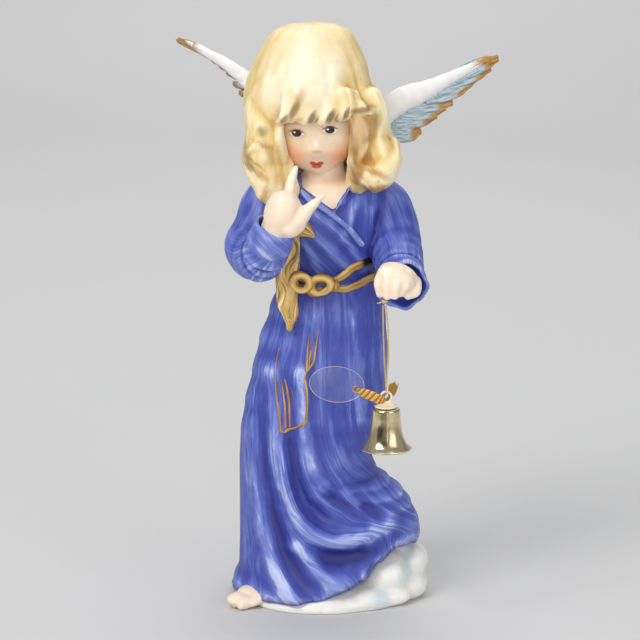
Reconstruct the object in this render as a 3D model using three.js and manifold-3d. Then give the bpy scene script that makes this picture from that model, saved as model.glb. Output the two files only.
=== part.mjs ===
// A hand-painted bisque porcelain figurine of a child angel in a blue robe, who holds one
// finger to the lips and carries a small brass bell on a gold cord.
// Millimetres, +Z up, the figure looks along -Y. "Right" and "left" are the figure's own.
import * as THREE from 'three';
import { mergeVertices } from 'three/addons/utils/BufferGeometryUtils.js';
import Module from 'manifold-3d';

const wasm = await Module();
wasm.setup();

// Driving sizes of the body. Tables named SHARES hold places and sizes in shares of BODY.
const BODY = 100; // the modeller's unit for the modelled body, which stands 2.42 units tall
const SEAT_GAP = 0.3; // between pieces that are modelled and fired against each other
const OVERRUN = 5; // how far a cutting tool runs past what it cuts

// Sizes of the porcelain details.
const VENT_RADIUS = 2.2; // the firing hole under the base
const VENT_DEPTH = 4;
const CUFF_WALL = 1.3;
const CUFF_RECESS = 2.6;
const WRAP_WIDTH = 3.4; // the folded edge of the robe across the chest
const WRAP_THICKNESS = 1.3;
const NECKLINE_DROP = 0.8; // how far the bare chest lies below the robe
const BELT_WIDTH = 2.7;
const BELT_THICKNESS = 1.9;
const BOW_BAND = 2.5;
const BOW_THICKNESS = 2.2;
const SASH_THICKNESS = 1.2;
const FEATHER_THICKNESS = 1.5;
const WING_ARM_RADIUS = 3.4;

// Sizes of the bell and what hangs on it.
const BELL_HEIGHT = 17;
const BELL_RIM_RADIUS = 10.5;
const BELL_SHOULDER_RADIUS = 5.6;
const BELL_WALL = 0.8;
const CROWN_RADIUS = 4.7;
const CROWN_PLATE = 0.9;
const EAR_RADIUS = 2.55;
const EAR_HOLE_RADIUS = 1.85;
const EAR_THICKNESS = 1.6;
const EAR_NECK = 1.2; // from the plate up to the rim of the ear's round
const STUD_RADIUS = 0.8;
const STUD_CLEARANCE = 0.3;
const STAPLE_RADIUS = 1.6; // to the middle of its wire
const STAPLE_WIRE = 0.35; // wire radius
const STAPLE_WASHER = 2.6;
const WASHER_THICKNESS = 0.7;
const CLAPPER_EYE_RADIUS = 1.3;
const CLAPPER_WIRE = 0.3;
const CLAPPER_BALL = 2;
const CLAPPER_SHOW = 0.9; // how far the ball shows below the rim
const LINK_GAP = 0.3;
const CORD_RADIUS = 0.3;
const CORD_DROP = 38; // from the knot down to the foot of the cord's loop
const KNOT_RADIUS = 1.6;
const TAG_WIDTH = 22.5;
const TAG_HEIGHT = 15.2;
const TAG_THICKNESS = 0.7;
const TAG_HOLE_RADIUS = 1.1;
const TAG_HOLE_INSET = 2.2;
const TIE_REACH = 18; // how far the foil tie runs from side to side
const TIE_WIDTH = 3.2;
const TIE_THICKNESS = 0.5;

// How finely the round forms are cut into facets.
const SKIRT_SIDES = 42;
const SKIRT_LEVELS = 16;
const TORSO_SIDES = 24;
const LIMB_SIDES = 12;
const LIMB_STEPS = 10;
const FINGER_SIDES = 6;
const FINGER_STEPS = 3;
const LOCK_SIDES = 8;
const LOCK_STEPS = 8;
const LATHE_SIDES = 24;
const FEATHER_SIDES = 4;
const CUFF_SIDES = 16;

// Curves and interpolation.

function place(share) {
  return new THREE.Vector3(share[0], share[1], share[2]).multiplyScalar(BODY);
}

function places(shares) {
  return shares.map(place);
}

function smoothStep(t) {
  return t * t * (3 - 2 * t);
}

// The value at t (0 to 1) along evenly spaced values.
function along(values, t) {
  const spot = Math.min(Math.max(t, 0), 1) * (values.length - 1);
  const low = Math.min(Math.floor(spot), values.length - 2);
  return values[low] + (values[low + 1] - values[low]) * smoothStep(spot - low);
}

// The value at key in a table of [key, value] rows with rising keys.
function lookUp(table, key) {
  if (key <= table[0][0]) {
    return table[0][1];
  }
  for (let row = 1; row < table.length; row += 1) {
    const [low, lowValue] = table[row - 1];
    const [high, highValue] = table[row];
    if (key <= high) {
      return lowValue + (highValue - lowValue) * smoothStep((key - low) / (high - low));
    }
  }
  return table[table.length - 1][1];
}

// Closed surfaces and solids.

// A closed surface over rings of equal counts, with a fan over each end, or joined end to
// end where looped is true.
function skin(rings, looped = false) {
  const count = rings[0].length;
  const points = rings.flat();
  const faces = [];
  const last = looped ? rings.length : rings.length - 1;
  for (let ring = 0; ring < last; ring += 1) {
    const here = ring * count;
    const next = ((ring + 1) % rings.length) * count;
    for (let side = 0; side < count; side += 1) {
      const after = (side + 1) % count;
      faces.push([here + side, here + after, next + after], [here + side, next + after, next + side]);
    }
  }
  if (!looped) {
    for (const [ring, turned] of [[0, true], [rings.length - 1, false]]) {
      const middle = points.length;
      points.push(centreOf(rings[ring]));
      for (let side = 0; side < count; side += 1) {
        const a = ring * count + side;
        const b = ring * count + ((side + 1) % count);
        faces.push(turned ? [middle, b, a] : [middle, a, b]);
      }
    }
  }
  return facingOut(points, faces);
}

function centreOf(ring) {
  const sum = new THREE.Vector3();
  for (const point of ring) {
    sum.add(point);
  }
  return sum.divideScalar(ring.length);
}

// A geometry of the points and faces, turned so that its faces point outwards.
function facingOut(points, faces) {
  let volume = 0;
  for (const [a, b, c] of faces) {
    volume += points[a].dot(new THREE.Vector3().crossVectors(points[b], points[c]));
  }
  const turned = volume < 0 ? faces.map(([a, b, c]) => [a, c, b]) : faces;
  const geometry = new THREE.BufferGeometry().setFromPoints(points);
  geometry.setIndex(turned.flat());
  return geometry;
}

function solidOf(geometry) {
  const bare = geometry.clone();
  bare.deleteAttribute('normal');
  bare.deleteAttribute('uv');
  const merged = mergeVertices(bare);
  return new wasm.Manifold(new wasm.Mesh({
    numProp: 3,
    vertProperties: Float32Array.from(merged.attributes.position.array),
    triVerts: Uint32Array.from(merged.index.array),
  }));
}

function geometryOf(solid) {
  const { vertProperties, triVerts } = solid.getMesh();
  const geometry = new THREE.BufferGeometry();
  geometry.setAttribute('position', new THREE.BufferAttribute(Float32Array.from(vertProperties), 3));
  geometry.setIndex(Array.from(triVerts));
  return geometry;
}

function joined(solids) {
  return solids.reduce((whole, solid) => whole.add(solid));
}

function cut(solid, tools) {
  return tools.reduce((rest, tool) => rest.subtract(tool), solid);
}

// The largest of the separate bodies that a cut leaves, without the slivers.
function mainBody(solid) {
  const bodies = solid.decompose();
  return bodies.reduce((best, body) => (body.volume() > best.volume() ? body : best));
}

function block(width, depth, height, centre) {
  const geometry = new THREE.BoxGeometry(width, depth, height);
  geometry.translate(centre.x, centre.y, centre.z);
  return solidOf(geometry);
}

// What lies above the surface that the figure stands on.
function aboveGround(solid) {
  const span = BODY * 4;
  return solid.subtract(block(span, span, span, new THREE.Vector3(0, 0, -span / 2)));
}

// An egg of three half-sizes, turned about X, then Y, then Z.
function egg(centre, half, turns = [0, 0, 0], sides = 16, levels = 10) {
  const geometry = new THREE.SphereGeometry(1, sides, levels);
  geometry.scale(half.x, half.y, half.z);
  geometry.rotateX(turns[0]);
  geometry.rotateY(turns[1]);
  geometry.rotateZ(turns[2]);
  geometry.translate(centre.x, centre.y, centre.z);
  return solidOf(geometry);
}

// Oval sections along a smooth line. Half-widths lie along the across direction and
// half-depths square to it, each given at evenly spaced stations. Grow widens and lengthens.
function strand(stations, halfWidths, halfDepths, across, options = {}) {
  const { sides = LOCK_SIDES, steps = LOCK_STEPS, roundEnds = 1, grow = 0 } = options;
  const curve = new THREE.CatmullRomCurve3(stations);
  const rings = [];
  const ring = (t, push, scale) => {
    const tangent = curve.getTangent(t);
    const wide = across.clone().addScaledVector(tangent, -across.dot(tangent)).normalize();
    const deep = new THREE.Vector3().crossVectors(tangent, wide);
    const centre = curve.getPoint(t).addScaledVector(tangent, push);
    const halfWidth = (along(halfWidths, t) + grow) * scale;
    const halfDepth = (along(halfDepths, t) + grow) * scale;
    return Array.from({ length: sides }, (_, side) => {
      const angle = (2 * Math.PI * side) / sides;
      return centre.clone()
        .addScaledVector(wide, halfWidth * Math.cos(angle))
        .addScaledVector(deep, halfDepth * Math.sin(angle));
    });
  };
  const cap = (t, sign) => {
    const reach = roundEnds * Math.min(along(halfWidths, t), along(halfDepths, t)) + grow;
    const shares = [[0.85, 0.55]];
    return shares.map(([pushShare, scaleShare]) => ring(t, sign * reach * pushShare, scaleShare));
  };
  if (roundEnds > 0 || grow > 0) {
    rings.push(...cap(0, -1));
  }
  for (let step = 0; step <= steps; step += 1) {
    rings.push(ring(step / steps, 0, 1));
  }
  if (roundEnds > 0 || grow > 0) {
    rings.push(...cap(1, 1).reverse());
  }
  return solidOf(skin(rings));
}

// A flat band that runs round a closed line of stations.
function bandRing(stations, halfWidth, halfDepth, outwardAt, steps, sides = FINGER_SIDES) {
  const curve = new THREE.CatmullRomCurve3(stations, true);
  const rings = Array.from({ length: steps }, (_, step) => {
    const t = step / steps;
    const centre = curve.getPoint(t);
    const tangent = curve.getTangent(t);
    const out = outwardAt(centre).addScaledVector(tangent, -outwardAt(centre).dot(tangent)).normalize();
    const wide = new THREE.Vector3().crossVectors(tangent, out);
    return Array.from({ length: sides }, (_, side) => {
      const angle = (2 * Math.PI * side) / sides;
      return centre.clone()
        .addScaledVector(wide, halfWidth * Math.cos(angle))
        .addScaledVector(out, halfDepth * Math.sin(angle));
    });
  });
  return solidOf(skin(rings, true));
}

// The robe's skirt. Its outline follows the height, and its hem rises over the cloud at
// the figure's left. Folds are ridges (or valleys) along tracks seen from the front.
const SKIRT_TOP_SHARE = 1.36;
const SKIRT_LEFT_SHARES = [[0, -0.408], [0.05, -0.392], [0.13, -0.366], [0.26, -0.362], [0.57, -0.362],
  [0.7, -0.357], [0.83, -0.338], [0.96, -0.308], [1.09, -0.278], [1.22, -0.235], [1.36, -0.184]];
const SKIRT_RIGHT_SHARES = [[0, 0.38], [0.2, 0.4], [0.26, 0.406], [0.31, 0.4], [0.39, 0.367], [0.44, 0.332],
  [0.49, 0.276], [0.53, 0.22], [0.59, 0.2], [0.66, 0.204], [0.72, 0.22], [0.8, 0.244], [0.88, 0.258],
  [1.05, 0.265], [1.18, 0.256], [1.36, 0.234]];
const SKIRT_FRONT_SHARES = [[0, 0.35], [0.25, 0.3], [0.5, 0.275], [0.75, 0.26], [1, 0.24], [1.2, 0.215],
  [1.36, 0.19]];
const SKIRT_BACK_SHARES = [[0, 0.34], [0.3, 0.29], [0.6, 0.24], [1, 0.19], [1.36, 0.14]];
const SKIRT_FULLNESS = 2.25; // 2 is a plain oval, more is squarer
const HEM_SHARES = [[0, 0.27], [0.08, 0.24], [0.2, 0.11], [0.35, 0.04], [0.5, 0.03], [0.6, 0.036],
  [0.68, 0.037],
  [0.74, 0.052], [0.78, 0.1], [0.806, 0.13], [0.835, 0.2], [0.875, 0.25], [0.92, 0.252], [0.95, 0.24],
  [1, 0.27]];
const HEM_DOME_SHARE = 0.1;
// Each fold: its track of [x, z], its rise, and its half-width.
const FOLD_SHARES = [
  { track: [[-0.319, 0.78], [-0.307, 0.594], [-0.287, 0.49], [-0.275, 0.353], [-0.236, 0.229],
    [-0.189, 0.125],
    [-0.123, 0.048]], rise: 0.03, width: 0.036 },
  { track: [[-0.226, 1.0], [-0.207, 0.767], [-0.194, 0.665], [-0.161, 0.528], [-0.109, 0.37],
    [-0.056, 0.322],
    [0.03, 0.294], [0.11, 0.301], [0.196, 0.329], [0.27, 0.36]], rise: 0.036, width: 0.04 },
  { track: [[-0.1, 1.0], [-0.095, 0.832], [-0.089, 0.723], [-0.065, 0.628],
    [0.0, 0.52]], rise: 0.022, width: 0.036 },
  { track: [[-0.122, 0.273], [-0.056, 0.217], [0.01, 0.141], [0.064, 0.099]], rise: 0.026, width: 0.036 },
  { track: [[-0.262, 0.9], [-0.254, 0.628], [-0.228, 0.422], [-0.176, 0.25],
    [-0.089, 0.111]], rise: -0.026, width: 0.036 },
  { track: [[-0.148, 0.7], [-0.128, 0.559], [-0.096, 0.463], [-0.029, 0.402],
    [0.04, 0.37]], rise: -0.038, width: 0.036 },
  { track: [[-0.04, 0.56], [0.044, 0.45], [0.143, 0.4]], rise: -0.024, width: 0.03 },
  { track: [[0.143, 0.48], [0.17, 0.433], [0.21, 0.399], [0.263, 0.364]], rise: -0.022, width: 0.026 },
  { track: [[-0.056, 0.249], [0.077, 0.221], [0.21, 0.256]], rise: -0.03, width: 0.045 },
  { track: [[0.077, 0.62], [0.2, 0.56], [0.29, 0.48]], rise: 0.022, width: 0.08 },
  { track: [[0.02, 1.2], [0.05, 0.95], [0.06, 0.75]], rise: -0.012, width: 0.04 },
];
const BACK_FOLD_SHARES = [
  { track: [[-0.14, 1.2], [-0.17, 0.7], [-0.22, 0.06]], rise: 0.026, width: 0.05 },
  { track: [[0.0, 1.2], [0.0, 0.6], [-0.03, 0.05]], rise: 0.026, width: 0.05 },
  { track: [[0.14, 1.2], [0.13, 0.7], [0.2, 0.08]], rise: 0.026, width: 0.05 },
  { track: [[-0.07, 1.1], [-0.09, 0.6], [-0.13, 0.05]], rise: -0.018, width: 0.04 },
  { track: [[0.07, 1.1], [0.06, 0.6], [0.08, 0.05]], rise: -0.018, width: 0.04 },
];

// The distance in shares from (x, z) to a track.
function trackDistance(track, x, z) {
  let nearest = Infinity;
  for (let leg = 1; leg < track.length; leg += 1) {
    const [ax, az] = track[leg - 1];
    const [bx, bz] = track[leg];
    const run = (bx - ax) ** 2 + (bz - az) ** 2;
    const t = Math.min(Math.max(((x - ax) * (bx - ax) + (z - az) * (bz - az)) / run, 0), 1);
    nearest = Math.min(nearest, Math.hypot(x - ax - t * (bx - ax), z - az - t * (bz - az)));
  }
  return nearest;
}

function foldRise(folds, x, z) {
  return folds.reduce((sum, { track, rise, width }) => (
    sum + rise * Math.exp(-((trackDistance(track, x, z) / width) ** 2))), 0);
}

// A point of the skirt's surface, in shares, at a turn of 0 to 1 from +X by way of +Y.
function skirtPoint(turn, zShare) {
  const left = lookUp(SKIRT_LEFT_SHARES, zShare);
  const right = lookUp(SKIRT_RIGHT_SHARES, zShare);
  const front = lookUp(SKIRT_FRONT_SHARES, zShare);
  const back = lookUp(SKIRT_BACK_SHARES, zShare);
  const angle = 2 * Math.PI * turn;
  const side = Math.cos(angle);
  const fore = Math.sin(angle);
  const x = (left + right) / 2 + ((right - left) / 2) * Math.sign(side) * Math.abs(side) ** (2 / SKIRT_FULLNESS);
  const depth = fore < 0 ? front : back;
  const y = depth * Math.sign(fore) * Math.abs(fore) ** (2 / SKIRT_FULLNESS);
  const folds = fore < 0 ? FOLD_SHARES : BACK_FOLD_SHARES;
  const rise = foldRise(folds, x, zShare) * Math.min(1, 1.6 * Math.abs(fore));
  return [x + rise * side * 0.3, y + rise * fore, zShare];
}

function skirtRing(level, grow) {
  return Array.from({ length: SKIRT_SIDES }, (_, side) => {
    const turn = side / SKIRT_SIDES;
    const hem = lookUp(HEM_SHARES, turn);
    const [x, y, z] = skirtPoint(turn, SKIRT_TOP_SHARE + (hem - SKIRT_TOP_SHARE) * level);
    const out = new THREE.Vector3(Math.cos(2 * Math.PI * turn), Math.sin(2 * Math.PI * turn), 0);
    return place([x, y, z]).addScaledVector(out, grow);
  });
}

function skirt(grow = 0) {
  const rings = Array.from({ length: SKIRT_LEVELS + 1 }, (_, level) => skirtRing(level / SKIRT_LEVELS,
    grow));
  const hem = rings[rings.length - 1];
  const middle = centreOf(hem);
  const inner = hem.map((point) => {
    const spot = point.clone().lerp(middle, 0.5);
    spot.z += HEM_DOME_SHARE * BODY * 0.5 - grow;
    return spot;
  });
  for (const point of rings[0]) {
    point.z += grow;
  }
  for (const point of hem) {
    point.z -= grow;
  }
  rings.push(inner);
  return solidOf(skin(rings));
}

// The y of the robe's front surface at (x, z) in shares, by the nearest of its points.
function robeFront(x, z) {
  let best = 0;
  let nearest = Infinity;
  for (let spot = 0; spot <= 200; spot += 1) {
    const point = skirtPoint(0.5 + (0.5 * spot) / 200, z);
    if (Math.abs(point[0] - x) < nearest) {
      nearest = Math.abs(point[0] - x);
      best = point[1];
    }
  }
  return best;
}

// The robe's top, from the waist to the shoulders: height, left, right, front and back.
const BODICE_SHARES = [
  [1.34, -0.18, 0.225, -0.185, 0.135], [1.4, -0.178, 0.218, -0.18, 0.13],
  [1.46, -0.195, 0.225, -0.19, 0.135],
  [1.54, -0.215, 0.235, -0.2, 0.145], [1.62, -0.235, 0.245, -0.195, 0.145],
  [1.69, -0.25, 0.26, -0.175, 0.14],
  [1.745, -0.225, 0.24, -0.14, 0.12], [1.785, -0.15, 0.16, -0.09, 0.09], [1.8, -0.1, 0.1, -0.05, 0.07],
];

function bodiceBody(grow = 0) {
  const rings = BODICE_SHARES.map(([z, left, right, front, back], level) => (
    Array.from({ length: TORSO_SIDES }, (_, side) => {
      const angle = (2 * Math.PI * side) / TORSO_SIDES;
      const x = (left + right) / 2 + ((right - left) / 2) * Math.cos(angle);
      const y = Math.sin(angle) < 0 ? -front * Math.sin(angle) : back * Math.sin(angle);
      const out = new THREE.Vector3(Math.cos(angle), Math.sin(angle), 0).multiplyScalar(grow);
      const ends = level === 0 ? -Math.max(grow, 0) : Math.max(grow,
        0) * Number(level === BODICE_SHARES.length - 1);
      return place([x, y, z]).add(out).add(new THREE.Vector3(0, 0, ends));
    })
  ));
  return solidOf(skin(rings));
}

// The V of the neckline, as a prism that runs in from the front.
const NECKLINE_SHARES = [[0.034, 1.672], [0.112, 1.79], [0.1, 1.9], [-0.1, 1.9], [-0.096, 1.764]];
const NECKLINE_BACK_SHARE = -0.03;

function neckline(grow = 0) {
  const points = NECKLINE_SHARES.map(([x, z]) => new THREE.Vector2(x * BODY, z * BODY));
  const middle = points.reduce((sum, point) => sum.add(point),
    new THREE.Vector2()).divideScalar(points.length);
  const outline = points.map((point) => {
    const out = point.clone().sub(middle).normalize();
    return point.clone().addScaledVector(out, grow * 1.3);
  });
  const depth = BODY / 2;
  const geometry = new THREE.ExtrudeGeometry(new THREE.Shape(outline), { depth, bevelEnabled: false });
  geometry.rotateX(Math.PI / 2);
  geometry.translate(0, NECKLINE_BACK_SHARE * BODY + grow, 0);
  return solidOf(geometry);
}

const NECK_SHARES = [[0.005, 0.03, 1.7], [0, 0.0, 1.78], [-0.012, -0.04, 1.9]];
const NECK_RADIUS_SHARES = [0.09, 0.086, 0.082];

function neckColumn(grow = 0) {
  const radii = NECK_RADIUS_SHARES.map((share) => share * BODY);
  return strand(places(NECK_SHARES), radii, radii, new THREE.Vector3(1, 0, 0),
    { sides: LIMB_SIDES, steps: 4, roundEnds: 0, grow });
}

function neckAndChest(grow = 0) {
  const chest = bodiceBody(-NECKLINE_DROP + grow).intersect(neckline(grow));
  return chest.add(neckColumn(grow));
}

// The head: an egg with a chin, cheeks and a small nose, tipped forward to look down.
const HEAD_CENTRE_SHARE = [-0.036, -0.03, 2.024];
const HEAD_HALF_SHARES = [0.172, 0.19, 0.22];
const HEAD_TAPER = 0.1; // how much narrower the head is at its foot
const HEAD_NOD = 0.3; // radians, about X
const HEAD_ROLL = -0.1; // about Y
const HEAD_TURN = -0.08; // about Z
// Each swelling: its place on a unit ball that faces -Y, its height and its half-width.
const FACE_SHARES = [
  { at: [0, -0.97, -0.22], rise: 0.085, width: 0.15 },
  { at: [0.52, -0.78, -0.42], rise: 0.1, width: 0.4 },
  { at: [-0.52, -0.78, -0.42], rise: 0.1, width: 0.4 },
  { at: [0, -0.76, -0.76], rise: 0.09, width: 0.24 },
  { at: [0, -0.89, -0.49], rise: 0.035, width: 0.14 },
  { at: [0.36, -0.93, 0.02], rise: -0.035, width: 0.2 },
  { at: [-0.36, -0.93, 0.02], rise: -0.035, width: 0.2 },
  { at: [0, -0.85, 0.5], rise: 0.04, width: 0.5 },
];

function head(grow = 0) {
  const geometry = new THREE.SphereGeometry(1, 22, 16);
  geometry.rotateX(Math.PI / 2);
  const position = geometry.attributes.position;
  const half = place(HEAD_HALF_SHARES).addScalar(grow);
  for (let spot = 0; spot < position.count; spot += 1) {
    const point = new THREE.Vector3().fromBufferAttribute(position, spot);
    const direction = point.clone();
    for (const { at, rise, width } of FACE_SHARES) {
      const far = direction.distanceTo(new THREE.Vector3(...at));
      point.addScaledVector(direction, rise * Math.exp(-((far / width) ** 2)));
    }
    const taper = direction.z < 0 ? 1 - HEAD_TAPER * direction.z ** 2 : 1;
    position.setXYZ(spot, point.x * half.x * taper, point.y * half.y, point.z * half.z);
  }
  geometry.rotateX(HEAD_NOD);
  geometry.rotateY(HEAD_ROLL);
  geometry.rotateZ(HEAD_TURN);
  const centre = place(HEAD_CENTRE_SHARE);
  geometry.translate(centre.x, centre.y, centre.z);
  return solidOf(geometry);
}

// The arms: sleeve, cuff and hand on each side, by stations from the shoulder to the cuff.
const ARMS = {
  right: {
    stations: [[-0.165, 0.03, 1.715], [-0.24, 0.0, 1.685], [-0.272, -0.03, 1.6], [-0.305, -0.09, 1.505],
      [-0.27, -0.19, 1.485], [-0.24, -0.27, 1.51]],
    halfWidthShares: [0.085, 0.098, 0.1, 0.112, 0.106, 0.096],
    halfDepthShares: [0.09, 0.098, 0.104, 0.112, 0.106, 0.096],
    cuff: [[-0.248, -0.275, 1.505], [-0.222, -0.325, 1.575], [-0.2, -0.352, 1.645]],
    cuffHalfShares: [0.094, 0.1, 0.106],
  },
  left: {
    stations: [[0.18, 0.03, 1.705], [0.255, 0.01, 1.66], [0.285, -0.03, 1.56], [0.295, -0.1, 1.49],
      [0.305, -0.21, 1.45], [0.308, -0.31, 1.425]],
    halfWidthShares: [0.085, 0.103, 0.108, 0.108, 0.1, 0.094],
    halfDepthShares: [0.085, 0.1, 0.105, 0.102, 0.092, 0.088],
    cuff: [[0.308, -0.3, 1.43], [0.309, -0.36, 1.415], [0.31, -0.41, 1.405]],
    cuffHalfShares: [0.095, 0.1, 0.109],
  },
};
const ARM_ACROSS = new THREE.Vector3(1, 0, 0);

function sleeve(arm, grow = 0) {
  return strand(places(arm.stations), arm.halfWidthShares.map((share) => share * BODY),
    arm.halfDepthShares.map((share) => share * BODY), ARM_ACROSS,
    { sides: LIMB_SIDES, steps: LIMB_STEPS, roundEnds: 0, grow });
}

function cuffBody(arm, grow = 0) {
  const half = arm.cuffHalfShares.map((share) => share * BODY);
  return strand(places(arm.cuff), half, half, ARM_ACROSS, { sides: CUFF_SIDES, steps: 3, roundEnds: 0,
    grow });
}

// The recess in the mouth of a cuff.
function cuffRecess(arm) {
  const [, , mouth] = places(arm.cuff);
  const [, inner] = places(arm.cuff);
  const inward = inner.clone().sub(mouth).normalize();
  const stations = [mouth.clone().addScaledVector(inward, CUFF_RECESS),
    mouth.clone().addScaledVector(inward, -CUFF_WALL)];
  const half = arm.cuffHalfShares[2] * BODY - CUFF_WALL;
  return strand(stations, [half, half],
    [half, half], ARM_ACROSS, { sides: CUFF_SIDES, steps: 1, roundEnds: 0 });
}

// Fingers and palms. Each finger: its stations and its half-width from root to tip.
const RIGHT_HAND_SHARES = {
  wrist: { stations: [[-0.212, -0.335, 1.6], [-0.182, -0.385, 1.66]], half: [0.06, 0.066] },
  palm: { at: [-0.17, -0.402, 1.696], half: [0.078, 0.06, 0.1], turns: [0.12, 0.2, 0] },
  fingers: [
    { stations: [[-0.15, -0.398, 1.75], [-0.143, -0.378, 1.795], [-0.131, -0.348, 1.84],
      [-0.118, -0.325, 1.872]],
      half: [0.036, 0.022, 0.019, 0.012] },
    { stations: [[-0.142, -0.412, 1.65], [-0.098, -0.424, 1.69], [-0.055, -0.415, 1.73],
      [-0.01, -0.4, 1.77]],
      half: [0.05, 0.036, 0.022, 0.01] },
    { stations: [[-0.195, -0.385, 1.76], [-0.2, -0.345, 1.745],
      [-0.185, -0.335, 1.71]], half: [0.025, 0.026, 0.022] },
    { stations: [[-0.215, -0.38, 1.725], [-0.215, -0.34, 1.71],
      [-0.2, -0.33, 1.68]], half: [0.024, 0.025, 0.022] },
  ],
};
const LEFT_HAND_SHARES = {
  wrist: { stations: [[0.309, -0.33, 1.42], [0.3, -0.42, 1.43]], half: [0.058, 0.062] },
  palm: { at: [0.292, -0.46, 1.455], half: [0.085, 0.062, 0.05], turns: [0.3, 0.35, 0.05] },
  fingers: [
    { stations: [[0.232, -0.475, 1.478], [0.215, -0.515, 1.44],
      [0.218, -0.515, 1.392]], half: [0.022, 0.023, 0.017] },
    { stations: [[0.262, -0.485, 1.485], [0.247, -0.532, 1.445],
      [0.246, -0.535, 1.388]], half: [0.024, 0.025, 0.018] },
    { stations: [[0.297, -0.485, 1.478], [0.284, -0.535, 1.44],
      [0.276, -0.54, 1.39]], half: [0.024, 0.025, 0.018] },
    { stations: [[0.33, -0.475, 1.465], [0.318, -0.525, 1.432],
      [0.303, -0.53, 1.4]], half: [0.023, 0.024, 0.018] },
    { stations: [[0.36, -0.44, 1.425], [0.358, -0.49, 1.4],
      [0.33, -0.515, 1.385]], half: [0.028, 0.026, 0.018] },
  ],
};

function limb({ stations, half }, steps, grow = 0) {
  const halves = half.map((share) => share * BODY);
  return strand(places(stations), halves, halves, ARM_ACROSS.clone().add(new THREE.Vector3(0, 0, 0.3)),
    { sides: FINGER_SIDES, steps, grow });
}

function hand(shares, grow = 0) {
  const palm = egg(place(shares.palm.at), place(shares.palm.half).addScalar(grow), shares.palm.turns, 10,
    7);
  const fingers = shares.fingers.map((finger) => limb(finger, FINGER_STEPS, grow));
  return joined([palm, limb(shares.wrist, 2, grow), ...fingers]);
}

// The hair: a cap over the crown, a fringe, and locks down both sides and the back.
const HAIR_CAP_SHARES = [
  [1.86, -0.3, 0.22, -0.06, 0.16], [1.92, -0.325, 0.25, -0.12, 0.2], [1.98, -0.332, 0.262, -0.2, 0.225],
  [2.05, -0.336, 0.258, -0.262, 0.24], [2.11, -0.336, 0.235, -0.276, 0.245],
  [2.165, -0.328, 0.2, -0.272, 0.24],
  [2.21, -0.312, 0.185, -0.255, 0.225], [2.26, -0.29, 0.172, -0.228, 0.2],
  [2.31, -0.268, 0.151, -0.195, 0.17],
  [2.36, -0.236, 0.127, -0.155, 0.135], [2.395, -0.2, 0.1, -0.115, 0.1], [2.42, -0.14, 0.045, -0.06, 0.05],
];
const HAIR_SIDES = 20;
const FACE_WINDOW_SHARES = [[-0.19, 2.04], [-0.16, 2.07], [-0.1, 2.08], [0, 2.08], [0.07, 2.085],
  [0.13, 2.085],
  [0.15, 2.07], [0.14, 1.98], [0.12, 1.9], [0.1, 1.7], [-0.12, 1.7], [-0.14, 1.82], [-0.165, 1.88],
  [-0.18, 1.96]];
const FACE_WINDOW_BACK_SHARE = -0.02;

function hairCapBody(grow = 0) {
  const top = HAIR_CAP_SHARES.length - 1;
  const rings = HAIR_CAP_SHARES.map(([z, left, right, front, back], level) => (
    Array.from({ length: HAIR_SIDES }, (_, side) => {
      const angle = (2 * Math.PI * side) / HAIR_SIDES;
      const x = (left + right) / 2 + ((right - left) / 2) * Math.cos(angle);
      const y = Math.sin(angle) < 0 ? -front * Math.sin(angle) : back * Math.sin(angle);
      const out = new THREE.Vector3(Math.cos(angle), Math.sin(angle), 0).multiplyScalar(grow);
      out.z = grow * (Number(level === top) - Number(level === 0));
      return place([x, y, z]).add(out);
    })
  ));
  return solidOf(skin(rings));
}

function faceWindow() {
  const outline = FACE_WINDOW_SHARES.map(([x, z]) => new THREE.Vector2(x * BODY, z * BODY));
  const geometry = new THREE.ExtrudeGeometry(new THREE.Shape(outline), { depth: BODY / 2,
    bevelEnabled: false });
  geometry.rotateX(Math.PI / 2);
  geometry.translate(0, FACE_WINDOW_BACK_SHARE * BODY, 0);
  return solidOf(geometry);
}

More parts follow.
